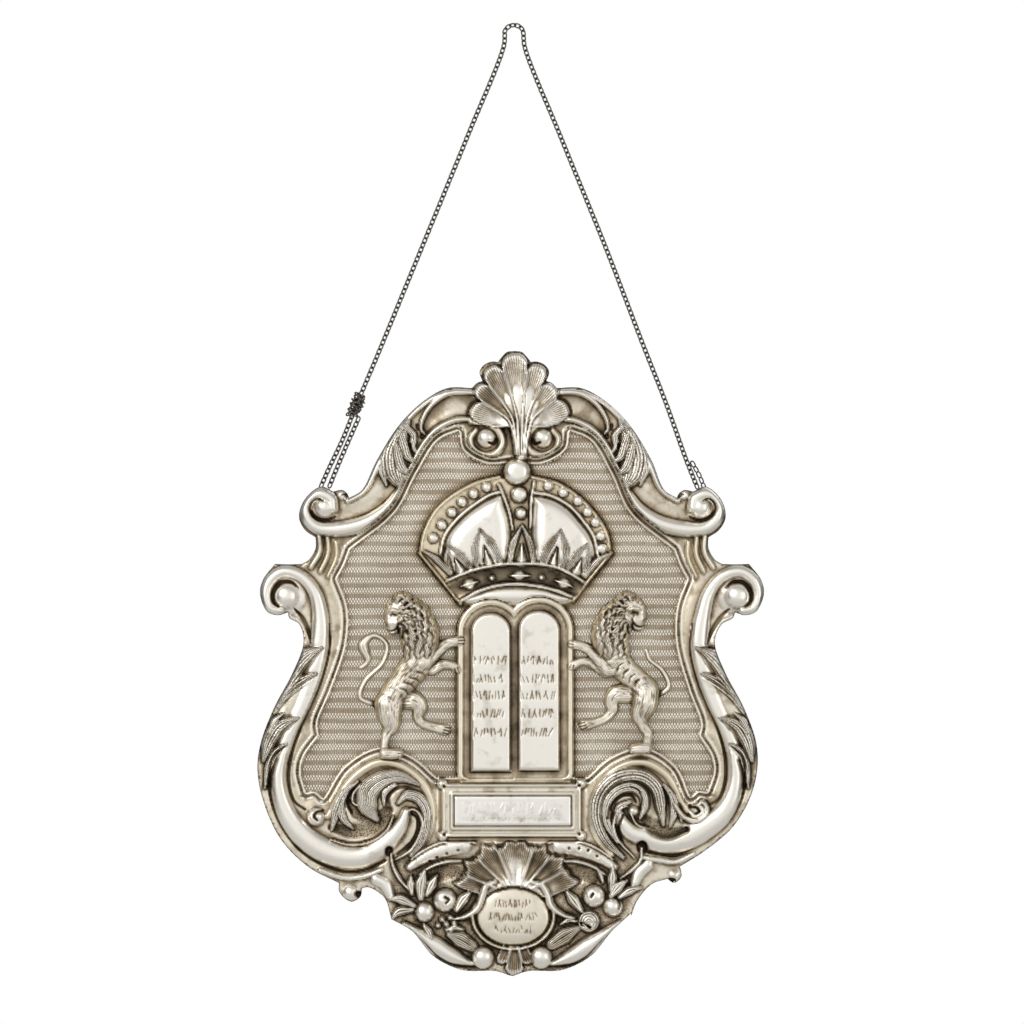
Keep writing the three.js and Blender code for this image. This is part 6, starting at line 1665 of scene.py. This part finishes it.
def apex_turn():
    """The bend over the hanging point."""
    turn = np.linspace(*APEX_SPAN, APEX_POINTS) * math.pi
    middle = APEX[1] - APEX_BEND
    return [(APEX[0] + APEX_BEND * math.cos(a), middle + APEX_BEND * math.sin(a)) for a in turn]


def knot_path():
    """A coil of chain round the strand and the end of its return."""
    (x0, z0), (x1, z1) = KNOT_ENDS
    length = math.hypot(x1 - x0, z1 - z0)
    along = ((x1 - x0) / length, (z1 - z0) / length)
    path = []
    for t in np.linspace(0, 1, KNOT_STEPS):
        turn = 2 * math.pi * KNOT_TURNS * t
        swell = KNOT_RADIUS * (KNOT_SWELL[0] + KNOT_SWELL[1] * math.sin(math.pi * t))
        side = swell * math.cos(turn)
        reach = length * (KNOT_SPAN[0] + KNOT_SPAN[1] * t)
        path.append(place(x0 + along[0] * reach - along[1] * side, z0 + along[1] * reach + along[0] * side,
                          -CHAIN_BEHIND + swell * math.sin(turn)))
    return path


def wire_ring(eye):
    """The eye's ring, which stands across the plate so that the chain can hang in it."""
    points, faces = [], []
    turns = np.linspace(0, 2 * math.pi, RING_STEPS, endpoint=False)
    for turn in turns:
        for roll in np.linspace(0, 2 * math.pi, RING_SIDES, endpoint=False):
            out = EYE_RADIUS + EYE_WIRE * math.cos(roll)
            points.append(place(eye[0] + EYE_WIRE * math.sin(roll), eye[1] + out * math.sin(turn),
                                -CHAIN_BEHIND + out * math.cos(turn)))
    for k in range(RING_STEPS):
        for n in range(RING_SIDES):
            a, b = k * RING_SIDES + n, k * RING_SIDES + (n + 1) % RING_SIDES
            ahead = ((k + 1) % RING_STEPS - k) * RING_SIDES
            faces.append((a, a + ahead, b + ahead, b))
    return points, faces


def eye_piece(name, eye, material):
    """A wire ring soldered to a rounded tab behind the plate."""
    points, faces = wire_ring(eye)
    width, depth, height = TAB_SIZE
    bottom = eye[1] + EYE_RADIUS - height
    near, far = TAB_NEAR, TAB_NEAR - depth
    start = len(points)
    for share, spread in TAB_LEVELS:
        z = bottom + height * share
        for side, h in ((-1, near), (1, near), (1, far), (-1, far)):
            points.append(place(eye[0] + side * spread * width / 2, z, h))
    for k in range(len(TAB_LEVELS) - 1):
        for n in range(4):
            a, b = start + 4 * k + n, start + 4 * k + (n + 1) % 4
            faces.append((a, b, b + 4, a + 4))
    top = start + 4 * (len(TAB_LEVELS) - 1)
    faces += [(start + 3, start + 2, start + 1, start), (top, top + 1, top + 2, top + 3)]
    return build_mesh(name.replace("chain_", "") + "_ring", points, faces, material)


LION_CELL = 0.3
LION_REACH = 10         # more than the thickest limb's radius
LION_MARGIN = 4.0
LIMB_SEAM = (0.6, 1.06, 0.1)    # depth, place and width of the seam where a limb lies over another
LIMB_LINED = 0.4
LIMB_SEAM_FROM = 0.15           # a seam is sunk only this far inside what lies under it
LIMB_TONE_AND_SHADE = (0.1, 0.25)         # darkness of a whole limb, and painted shade added towards its edges
LIMB_SHADE_SPAN = (0.55, 0.95)
LION_EDGE_SPAN = (0.5, 0.1)
LION_EDGE_GILT = 0.9
LION_LEAST = 0.25               # least thickness of a lion
MANE_START = 118                # bearing of the first lock of a ring, in degrees
MANE_STRAY = (0.2, 0.7)         # how far locks stray along and across their ring
MANE_FALL = (3, 18)             # over these radii the locks turn from outwards to down
LOCK_RISE = 0.7
LOCK_SEAM = (0.5, 1.0, 0.2)     # depth, place and width of the seam round a lock
LOCK_SHADOW = (0.16, 1.05, 0.2)
MANE_RINGS = [6.0, 8.6, 11.2, 14.0, 17.0, 20.2, 23.6]
MANE_LOCKS = 8
MANE_SPREAD = 205
MANE_SEED = 4
LOCK_STEPS = [2, 2.2, 2, 1.6]
LOCK_WAVE = 0.38
LOCK_WIDTHS = [0.9, 1.6, 1.7, 1.3, 0.4]
FUR_SEED = 8
FUR_SPREAD = 2.4
FUR_LENGTH = 2.6
FUR_SPACING = 0.9
FUR_WIDTHS = [0.2, 0.38, 0.2]
FUR_DEPTH = 0.32
FUR_DARK = (0.2, 0.6)
FUR_ASIDE = 0.8                 # how far from a limb's middle, in its half-widths
FUR_TURN = 0.35
RIB_BOW = (0.8, 0.6)
RIB_GROOVE = ([0.4, 0.8, 0.4], 0.8, {"dark": 0.4})
TOE_SPREADS = (-1.5, 0, 1.5)
TOE_BACK = 1.4
TOE_AHEAD = 2.2
TOE_FAN = 1.1
TOE_GROOVE = ([0.4, 0.55], 1.1, {"dark": 0.8})
FACE_WIDTHS = [4.6, 3.8]        # bare part of the face at the brow and at the nose
BROW = (1.5, 2)                 # its ends from the eye and from the nose, backwards and up
MUZZLE = (2, -1)
# Of the face: route from the eye or the nose, backwards and up; half-widths, depth and darkness
# The dark marks round the eye also stand for painted shade under the brow
EYE_MARKS = [
    ([(-1.8, 1.7), (0.6, 2.5), (3.4, 1.7)], [0.7, 1.2, 0.7], -1.2, 0),
    ([(2.6, -3.6)], [2.8], -0.9, 0),
    ([(-0.6, -0.4), (1, -0.2)], [1.5, 1.5], 0.4, 0.15),
    ([(-0.7, -0.1), (0.6, 0.2), (2.2, 0)], [0.4, 0.7, 0.4], 0.6, 1),
    ([(0.2, -0.2)], [0.5], -0.7, 0),
    ([(7, 5.2)], [2.2], -1.5, 0),
    ([(6.6, 5), (7.2, 5.8)], [1], 1.8, 0.9),
]
NOSE_MARKS = [
    ([(1.8, 3.6), (1.2, 1)], [1, 1.1], -0.3, 0),
    ([(3.6, -0.4)], [3.6], -0.9, 0),
    ([(0.7, 0)], [1.3], -0.5, 0),
    ([(-0.4, 1.2), (0.6, 0.4), (1.2, -0.6)], [0.6, 0.8, 0.4], 0.7, 1),
    ([(0.6, -2.4), (3, -3), (5.6, -1.6), (6.8, 1)], [0.4, 0.7, 0.6, 0.4], 1.2, 1),
    ([(5.8, 3.6), (6, 1.4), (6.6, -0.6)], [0.4, 0.6, 0.4], 0.4, 0.2),
    ([(2, -4.2), (5, -3.6)], [0.9, 1], -0.9, 0),
    ([(6.4, -1.2), (6.6, -3.4), (5.4, -5.6)], [0.5, 0.7, 0.4], 1.3, 0.8),
    ([(8.6, -1.4), (9, -4.2), (8, -6.8)], [0.5, 0.7, 0.4], 1.3, 0.8),
]


def seam(off, shape):
    """A soft narrow band beside a form, at a place given in its half-widths."""
    depth, place_off, width = shape
    return depth * np.exp(-((off - place_off) / width) ** 2)


def lion_body(lion):
    """Height map of the limbs with fur along them, and a field that is above zero on them."""
    spots = np.array([spot[:2] for limb in lion["limbs"] for spot in limb])
    relief = Relief(spots.min(0) - LION_REACH - LION_MARGIN, spots.max(0) + LION_REACH + LION_MARGIN,
                    LION_CELL, GROUND)
    field = np.full(relief.height.shape, -1.0)
    for limb in lion["limbs"]:
        spots = np.array(limb)
        at, across, along, length = relief.trace(spots[:, :2], spots[:, 2])
        stations = np.linspace(0, length, len(limb))
        middle = GROUND + np.interp(along, stations, spots[:, 3])
        thick = LIMB_FLATNESS * np.interp(along, stations, spots[:, 2])
        off = np.abs(across)
        rise = middle + thick * half_round(off)
        on = (off < 1) & (rise > relief.height[at])
        relief.height[at] = np.where(on, rise, relief.height[at])
        relief.height[at] -= seam(off, LIMB_SEAM) * (field[at] > LIMB_SEAM_FROM)
        relief.lined[at] = np.where(on, LIMB_LINED, relief.lined[at])
        # darker towards a limb's edges: painted shade over the limb's own darkness
        shade = LIMB_TONE_AND_SHADE[0] + LIMB_TONE_AND_SHADE[1] * smoothstep(*LIMB_SHADE_SPAN, off)
        relief.dark[at] = np.where(on, shade, relief.dark[at])
        relief.line[at] = np.where(on, across * spots[:, 2].mean() / FUR_SPACING, relief.line[at])
        field[at] = np.maximum(field[at], 1 - off)
    relief.height = np.maximum(box_blur(relief.height, 1), GROUND)
    return relief, field


def carve_mane(relief, lion):
    """Rings of locks that fan out behind the face and fall over the shoulders."""
    rng = np.random.default_rng(MANE_SEED)
    ex, ez = lion["eye"]
    side = lion["face"]
    along_ring, across_ring = MANE_STRAY
    for ring, radius in enumerate(MANE_RINGS):
        for k in range(MANE_LOCKS):
            share = k + 0.5 * (ring % 2) + rng.uniform(-along_ring, along_ring)
            turn = math.radians(MANE_START - share * MANE_SPREAD / MANE_LOCKS)
            start = radius + rng.uniform(-across_ring, across_ring)
            x, z = ex + side * start * math.cos(turn), ez + start * math.sin(turn)
            wave = LOCK_WAVE * rng.choice([-1, 1])
            route = [(x, z)]
            for go in LOCK_STEPS:
                fall = smoothstep(*MANE_FALL, start)
                lean = math.atan2((1 - fall) * math.sin(turn) - fall, (1 - fall) * math.cos(turn)) + wave
                x, z = x + side * go * math.cos(lean), z + go * math.sin(lean)
                wave = -wave
                route.append((x, z))
            if z < lion["mane_foot"]:
                continue
            at, across, _, _ = relief.trace(route, LOCK_WIDTHS)
            off = np.abs(across)
            relief.height[at] += LOCK_RISE * np.clip(1 - off * off, 0, 1) - seam(off, LOCK_SEAM)
            relief.dress(at, (off < 1) * 1.0, {"lines": 3}, across)
            relief.dark[at] = np.maximum(relief.dark[at], seam(off, LOCK_SHADOW))


def carve_fur(relief, lion):
    """Short strokes along the limbs."""
    rng = np.random.default_rng(FUR_SEED)
    for limb in lion["limbs"]:
        spots = np.array(limb)
        path = smooth_path(spots[:, :2], 1)
        half = np.interp(np.linspace(0, 1, len(path)), np.linspace(0, 1, len(limb)), spots[:, 2])
        for k in range(1, len(path) - 1):
            ahead = (path[k + 1] - path[k - 1]) / np.hypot(*(path[k + 1] - path[k - 1]))
            for _ in range(int(half[k] / FUR_SPREAD)):
                aside = rng.uniform(-FUR_ASIDE, FUR_ASIDE) * half[k]
                turn = rng.uniform(-FUR_TURN, FUR_TURN)
                way = np.array([ahead[0] - turn * ahead[1], ahead[1] + turn * ahead[0]])
                middle = path[k] + aside * np.array([-ahead[1], ahead[0]])
                ends = [middle - way * FUR_LENGTH / 2, middle + way * FUR_LENGTH / 2]
                relief.add("groove", ends, FUR_WIDTHS, FUR_DEPTH, {"dark": rng.uniform(*FUR_DARK)})


def carve_face(relief, lion):
    """Brow, eye, nose, jaw and ear, on a bare part of the head."""
    ex, ez = lion["eye"]
    nx, nz = lion["nose"]
    s = lion["face"]
    ends = [(ex + s * BROW[0], ez + BROW[1]), (nx + s * MUZZLE[0], nz + MUZZLE[1])]
    clear, across, _, _ = relief.trace(ends, FACE_WIDTHS)
    relief.dress(clear, smoothstep(1, 0.7, np.abs(across)), {}, across)
    for (ox, oz), marks in ((lion["eye"], EYE_MARKS), (lion["nose"], NOSE_MARKS)):
        for route, widths, depth, dark in marks:
            spots = [(ox + s * x, oz + z) for x, z in route]
            relief.add("groove", spots, widths, depth, {"dark": dark} if dark else {})


def carve_body(relief, lion):
    """Rib strokes, and toes on the paws."""
    s = lion["face"]
    for start, end in lion["ribs"]:
        bow = ((start[0] + end[0]) / 2 + s * RIB_BOW[0], (start[1] + end[1]) / 2 + RIB_BOW[1])
        relief.add("groove", [start, bow, end], *RIB_GROOVE)
    for (x, z), turn in zip(lion["paws"], lion["paw_turns"]):
        ahead = (math.cos(turn), math.sin(turn))
        for spread in TOE_SPREADS:
            ends = [(x + ahead[0] * go - ahead[1] * spread * fan, z + ahead[1] * go + ahead[0] * spread * fan)
                    for go, fan in ((-TOE_BACK, 1), (TOE_AHEAD, TOE_FAN))]
            relief.add("groove", ends, *TOE_GROOVE)


def lion_piece(lion, plate, material):
    """A cast lion that sits just over the plate's relief."""
    relief, field = lion_body(lion)
    carve_fur(relief, lion)
    carve_mane(relief, lion)
    carve_face(relief, lion)
    carve_body(relief, lion)
    relief.gilt = np.maximum(relief.gilt, LION_EDGE_GILT * smoothstep(*LION_EDGE_SPAN, field))
    x, z = np.meshgrid(relief.xs, relief.zs)
    seat = plate.sample(plate.height, x, z) + LION_GAP
    relief.height = np.maximum(relief.height, seat + LION_LEAST)
    sheet = net_sheet(relief, box_blur(field, 1))
    behind = relief.sample(seat, sheet[0][:, 0], sheet[0][:, 1])
    return relief_piece(lion["name"] + "_cast", relief, sheet, sheet, behind, material)


def plaque_piece(material):
    """The loose plaque: a thin plate with a row of raised strokes over a row of small sunk ones."""
    left, right, bottom, top = PLAQUE_WINDOW
    sides = (left + PLAQUE_INSET, right - PLAQUE_INSET, bottom + PLAQUE_INSET, top - PLAQUE_INSET)
    relief = Relief((left, bottom), (right, top), PLAQUE_CELL, PLAQUE_LEVEL)
    loop = rectangle(*sides)
    depth = relief.depth_inside(loop, 2)
    edge, drop = PLAQUE_EDGE
    relief.height -= drop * (1 - smoothstep(0, edge, depth))
    middle = (sides[2] + sides[3]) / 2
    for (before, after), up, strokes, seed in PLAQUE_ROWS:
        stroke_row(relief, sides[0] + before, sides[1] - after, middle + up, strokes, seed)
    field = np.where(depth > 0, depth, -relief.depth_outside(loop, 2))
    sheet = net_sheet(relief, field)
    behind = np.full(len(sheet[0]), PLAQUE_LEVEL - PLAQUE_THICKNESS)
    return relief_piece("festival_plaque_plate", relief, sheet, sheet, behind, material)


# Mesh of the plate
COARSEST = 4.8
FINEST = 0.6
BACK_TOLERANCE = 0.12
BACK_REACH = 1.8        # the back follows the relief no closer than this
BACK_EDGE = EDGE_LEVEL - 1.2
FRONT_CLEAR = 0.5       # least distances of the sheets' points from the outline
BACK_CLEAR = 1.5


def plate_piece(relief, rows, outline, sizes, material):
    """The embossed plate: a fine front, a plainer back and a narrow rim between them."""
    inside = relief.depth_inside(outline, 2) > FRONT_CLEAR
    coarsest, finest = [round(size / relief.cell) for size in (COARSEST, FINEST)]
    row_points, covered = rows
    shade = relief.looks()["tone"]
    chosen = spread_points(relief.height, inside, coarsest, finest, sizes.tolerance / MM, shade)
    j, i = np.nonzero((chosen | relief.fine) & ~covered)
    front = sheet_mesh(np.vstack([np.stack([relief.xs[i], relief.zs[j]], 1), row_points]), outline)
    reach = max(1, int(BACK_REACH / relief.cell))
    hollow = box_blur(eroded(relief.height, 2 * reach), reach // 2) - WALL
    hollow = np.maximum(hollow, BACK_EDGE)
    inside = relief.depth_inside(outline, 3) > BACK_CLEAR
    coarse = spread_points(hollow, inside, coarsest, 4 * finest, BACK_TOLERANCE)
    j, i = np.nonzero(coarse)
    back = sheet_mesh(np.stack([relief.xs[i], relief.zs[j]], 1), outline)
    rim = np.unique(rim_edges(back[1]))
    depth = relief.sample(hollow, *back[0].T)
    depth[rim] = BACK_EDGE
    return relief_piece("shield_relief", relief, front, back, depth, material)


def tint(name, description, default):
    return FloatVectorProperty(name=name, description=description, subtype="COLOR", size=3, min=0, max=1,
                               default=default)


def measure(name, description, least, default):
    return FloatProperty(name=name, description=description, unit="LENGTH", min=least, default=default)


def power(name, description, default):
    return FloatProperty(name=name, description=description, unit="POWER", min=0, default=default)


class FinishSettings(bpy.types.PropertyGroup):
    silver: tint("Silver", "Polished silver of the plate", (0.95, 0.912, 0.83))
    lion: tint("Lion silver", "Warm silver of the lions", (0.94, 0.875, 0.76))
    plaque: tint("Plaque silver", "Pale silver of the loose plaque", (0.95, 0.92, 0.86))
    gilt: tint("Gilding", "Remains of gilding along the mouldings", (0.70, 0.56, 0.30))
    # Brown and patina colour the tarnish and also the painted shade of the tone map
    brown: tint("Brown", "Thin brown stain round the recesses", (0.33, 0.262, 0.175))
    patina: tint("Patina", "Brown patina in the recesses", (0.060, 0.044, 0.030))
    chain: tint("Chain", "Oxidised silver of the chain", (0.080, 0.058, 0.040))
    floor: tint("Floor", "Pale floor under the shield", (0.86, 0.86, 0.85))
    roughness: FloatProperty(name="Roughness", description="Roughness of the polished silver",
                             subtype="FACTOR", min=0, max=1, default=0.29)


class ReliefSettings(bpy.types.PropertyGroup):
    cell: measure("Cell", "Cell of the relief's height map", 0.0001, 0.0003)
    tolerance: measure("Tolerance", "Most that a facet may stray from the relief", 0.00001, 0.00012)
    outline_step: measure("Outline step", "Spacing of points along the outline", 0.0002, 0.0007)


class ChainSettings(bpy.types.PropertyGroup):
    pitch: measure("Pitch", "Distance from one link to the next", 0.001, 0.0025)
    link_length: measure("Link length", "Outer length of a link", 0.001, 0.0040)
    link_width: measure("Link width", "Outer width of a link", 0.001, 0.0032)
    wire: measure("Wire", "Thickness of the links' wire", 0.0002, 0.00075)
    diameter: measure("Diameter", "Thickness of the chain as a whole", 0.001, 0.0026)


class StageSettings(bpy.types.PropertyGroup):
    key: power("Key light", "Power of the large light at the upper left", 14)
    fill: power("Fill light", "Power of the soft light at the right", 5)
    floor_drop: measure("Floor drop", "Depth of the floor under the shield's foot", 0, 0.12)
    floor_radius: measure("Floor radius", "Radius of the round floor", 0.1, 0.85)


def finished(piece, nodes):
    """A piece that stands for CAD nodes and moves with the one body."""
    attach(piece, "root")
    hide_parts(*nodes)
    return piece


def area_light(name, setup, aim, watts):
    """A soft rectangular light that points at a place."""
    spot, size = setup
    lamp = bpy.data.lights.new(name, "AREA")
    lamp.shape = "RECTANGLE"
    lamp.size, lamp.size_y = size
    lamp.energy = watts
    light = bpy.data.objects.new(name, lamp)
    light.location = spot
    light.rotation_euler = (Vector(aim) - Vector(spot)).to_track_quat("-Z", "Y").to_euler()
    bpy.context.scene.collection.objects.link(light)


# Studio: spans of the direction ahead and upwards, and brightness at the sides and in front
AHEAD_SPAN = (-0.96, -0.28)
ABOVE_SPAN = (-0.3, 0.7)
SIDE_LIGHT = (0.09, 0.41)
FRONT_LIGHT = 0.88
# Lights: place and size in metres
KEY_LIGHT = ((-1.1, -1.5, 0.55), (1.3, 1.3))
FILL_LIGHT = ((1.5, -1.2, -0.2), (1.0, 1.6))
BACK_LIGHT = ((0.6, 1.6, 0.5), (1.4, 1.4))
FLOOR_SIDES = 96


def studio_world():
    """White behind the object; for the metal, a bright front that falls off to darker sides."""
    world = bpy.data.worlds.new("studio")
    world.use_nodes = True
    tree = world.node_tree
    tree.nodes.clear()
    coords = set_node(tree, "ShaderNodeTexCoord")
    parts = set_node(tree, "ShaderNodeSeparateXYZ", None, {0: coords.outputs["Generated"]})
    ahead = set_node(tree, "ShaderNodeMapRange", {"interpolation_type": "SMOOTHSTEP"},
                     {"Value": parts.outputs["Y"], "From Min": AHEAD_SPAN[0], "From Max": AHEAD_SPAN[1],
                      "To Min": 1.0, "To Max": 0.0})
    above = set_node(tree, "ShaderNodeMapRange", {"interpolation_type": "SMOOTHSTEP"},
                     {"Value": parts.outputs["Z"], "From Min": ABOVE_SPAN[0], "From Max": ABOVE_SPAN[1]})
    lit = set_node(tree, "ShaderNodeMix", {"data_type": "FLOAT"},
                   {0: above.outputs[0], 2: SIDE_LIGHT[0], 3: SIDE_LIGHT[1]})
    front = set_node(tree, "ShaderNodeMix", {"data_type": "FLOAT"},
                     {0: ahead.outputs[0], 2: lit.outputs[0], 3: FRONT_LIGHT})
    for_metal = set_node(tree, "ShaderNodeBackground", None, {"Color": front.outputs[0], "Strength": 1.0})
    for_eye = set_node(tree, "ShaderNodeBackground", None, {"Color": (1, 1, 1, 1), "Strength": 1.0})
    path = set_node(tree, "ShaderNodeLightPath")
    both = set_node(tree, "ShaderNodeMixShader", None,
                    {0: path.outputs["Is Camera Ray"], 1: for_metal.outputs[0], 2: for_eye.outputs[0]})
    set_node(tree, "ShaderNodeOutputWorld", None, {"Surface": both.outputs[0]})
    bpy.context.scene.world = world


class SHIELD_OT_stage(bpy.types.Operator):
    """Camera, lights, white studio and a pale floor"""
    bl_idname = "shield.stage"
    bl_label = "Stage"

    def execute(self, context):
        settings = context.scene.shield_stage
        context.scene.view_settings.view_transform = "Standard"
        x, y, z = place(*FRAME_MIDDLE, GROUND)
        eye = bpy.data.cameras.new("front")
        eye.sensor_width = SENSOR
        eye.lens = SENSOR * CAMERA_DISTANCE / FRAME_WIDTH
        eye.clip_end = 100
        camera = bpy.data.objects.new("front", eye)
        camera.location = (x, y - CAMERA_DISTANCE * MM, z)
        camera.rotation_euler = (math.pi / 2, 0, 0)
        context.scene.collection.objects.link(camera)
        context.scene.camera = camera
        studio_world()
        middle = place(0, 0, 0)
        area_light("key", KEY_LIGHT, middle, settings.key)
        area_light("fill", FILL_LIGHT, middle, settings.fill)
        area_light("behind", BACK_LIGHT, middle, settings.fill)
        low = CAD_BOX[0][2] - settings.floor_drop
        turns = np.linspace(0, 2 * math.pi, FLOOR_SIDES, endpoint=False)
        radius = settings.floor_radius
        edge = [(radius * math.cos(a), radius * math.sin(a), low) for a in turns]
        floor = build_mesh("floor", edge, [tuple(range(len(edge)))], floor_paint(context.scene.shield_finish))
        return {"FINISHED"}


class SHIELD_OT_chain(bpy.types.Operator):
    """Hanging chain of oval links, its two short returns and the wound knot"""
    bl_idname = "shield.chain"
    bl_label = "Chain"

    def execute(self, context):
        sizes = context.scene.shield_chain
        tree = link_tree(dark_silver(context.scene.shield_finish))
        main_path = chain_path(LEFT_STRAND + apex_turn() + RIGHT_STRAND)
        left_path = chain_path(LEFT_RETURN, RETURN_STEP)
        right_path = chain_path(RIGHT_RETURN, RETURN_STEP)
        runs = [("chain_links", main_path, "chain_main"),
                ("return_links_left", left_path, "chain_return_left"),
                ("return_links_right", right_path, "chain_return_right"),
                ("knot_links", knot_path(), "chain_knot")]
        main_run, left, right, knot = [finished(chain_piece(name, tree, path, sizes), [node])
                                       for name, path, node in runs]
        return {"FINISHED"}


class SHIELD_OT_eyes(bpy.types.Operator):
    """Two rings on tabs behind the plate, which carry the chain"""
    bl_idname = "shield.eyes"
    bl_label = "Chain eyes"

    def execute(self, context):
        metal = bpy.data.materials["dark_silver"]
        for node, eye in (("chain_eye_left", LEFT_EYE), ("chain_eye_right", RIGHT_EYE)):
            finished(eye_piece(node, eye, metal), [node])
        return {"FINISHED"}


class SHIELD_OT_plate(bpy.types.Operator):
    """The embossed plate with its border, crown, tablets and cartouche, and the two lions on it"""
    bl_idname = "shield.plate"
    bl_label = "Plate and lions"

    def execute(self, context):
        settings = context.scene.shield_finish
        sizes = context.scene.shield_relief
        outline, panel = plate_loops(sizes.outline_step / MM)
        relief, rows = plate_relief(outline, panel, sizes.cell / MM)
        silver = chased_silver("silver", settings.silver, settings)
        finished(plate_piece(relief, rows, outline, sizes, silver), ["shield_plate"])
        gilt = chased_silver("gilt_silver", settings.lion, settings)
        for lion in (LEFT_LION, RIGHT_LION):
            finished(lion_piece(lion, relief, gilt), [lion["name"]])
        return {"FINISHED"}


class SHIELD_OT_plaque(bpy.types.Operator):
    """The loose plaque in its frame"""
    bl_idname = "shield.plaque"
    bl_label = "Plaque"

    def execute(self, context):
        settings = context.scene.shield_finish
        pale = chased_silver("pale_silver", settings.plaque, settings)
        finished(plaque_piece(pale), ["festival_plaque"])
        return {"FINISHED"}


OPERATORS = (SHIELD_OT_stage, SHIELD_OT_chain, SHIELD_OT_eyes, SHIELD_OT_plate, SHIELD_OT_plaque)
GROUPS = {"shield_finish": FinishSettings, "shield_relief": ReliefSettings, "shield_chain": ChainSettings,
          "shield_stage": StageSettings}


class SHIELD_PT_panel(bpy.types.Panel):
    """Sizes, colours and steps of the shield"""
    bl_idname = "SHIELD_PT_panel"
    bl_label = "Torah shield"
    bl_space_type = "VIEW_3D"
    bl_region_type = "UI"
    bl_category = "Shield"

    def draw(self, context):
        for group in GROUPS:
            settings = getattr(context.scene, group)
            box = self.layout.box()
            for name in settings.__annotations__:
                box.prop(settings, name)
        for operator in OPERATORS:
            self.layout.operator(operator.bl_idname)


def register():
    for cls in (*GROUPS.values(), *OPERATORS, SHIELD_PT_panel):
        bpy.utils.register_class(cls)
    for name, cls in GROUPS.items():
        setattr(bpy.types.Scene, name, PointerProperty(type=cls))


def unregister():
    for name in GROUPS:
        delattr(bpy.types.Scene, name)
    for cls in (SHIELD_PT_panel, *reversed(OPERATORS), *reversed(GROUPS.values())):
        bpy.utils.unregister_class(cls)


def main():
    register()
    bpy.ops.shield.stage()
    bpy.ops.shield.chain()
    bpy.ops.shield.eyes()
    bpy.ops.shield.plate()
    bpy.ops.shield.plaque()


if __name__ == "__main__":
    main()
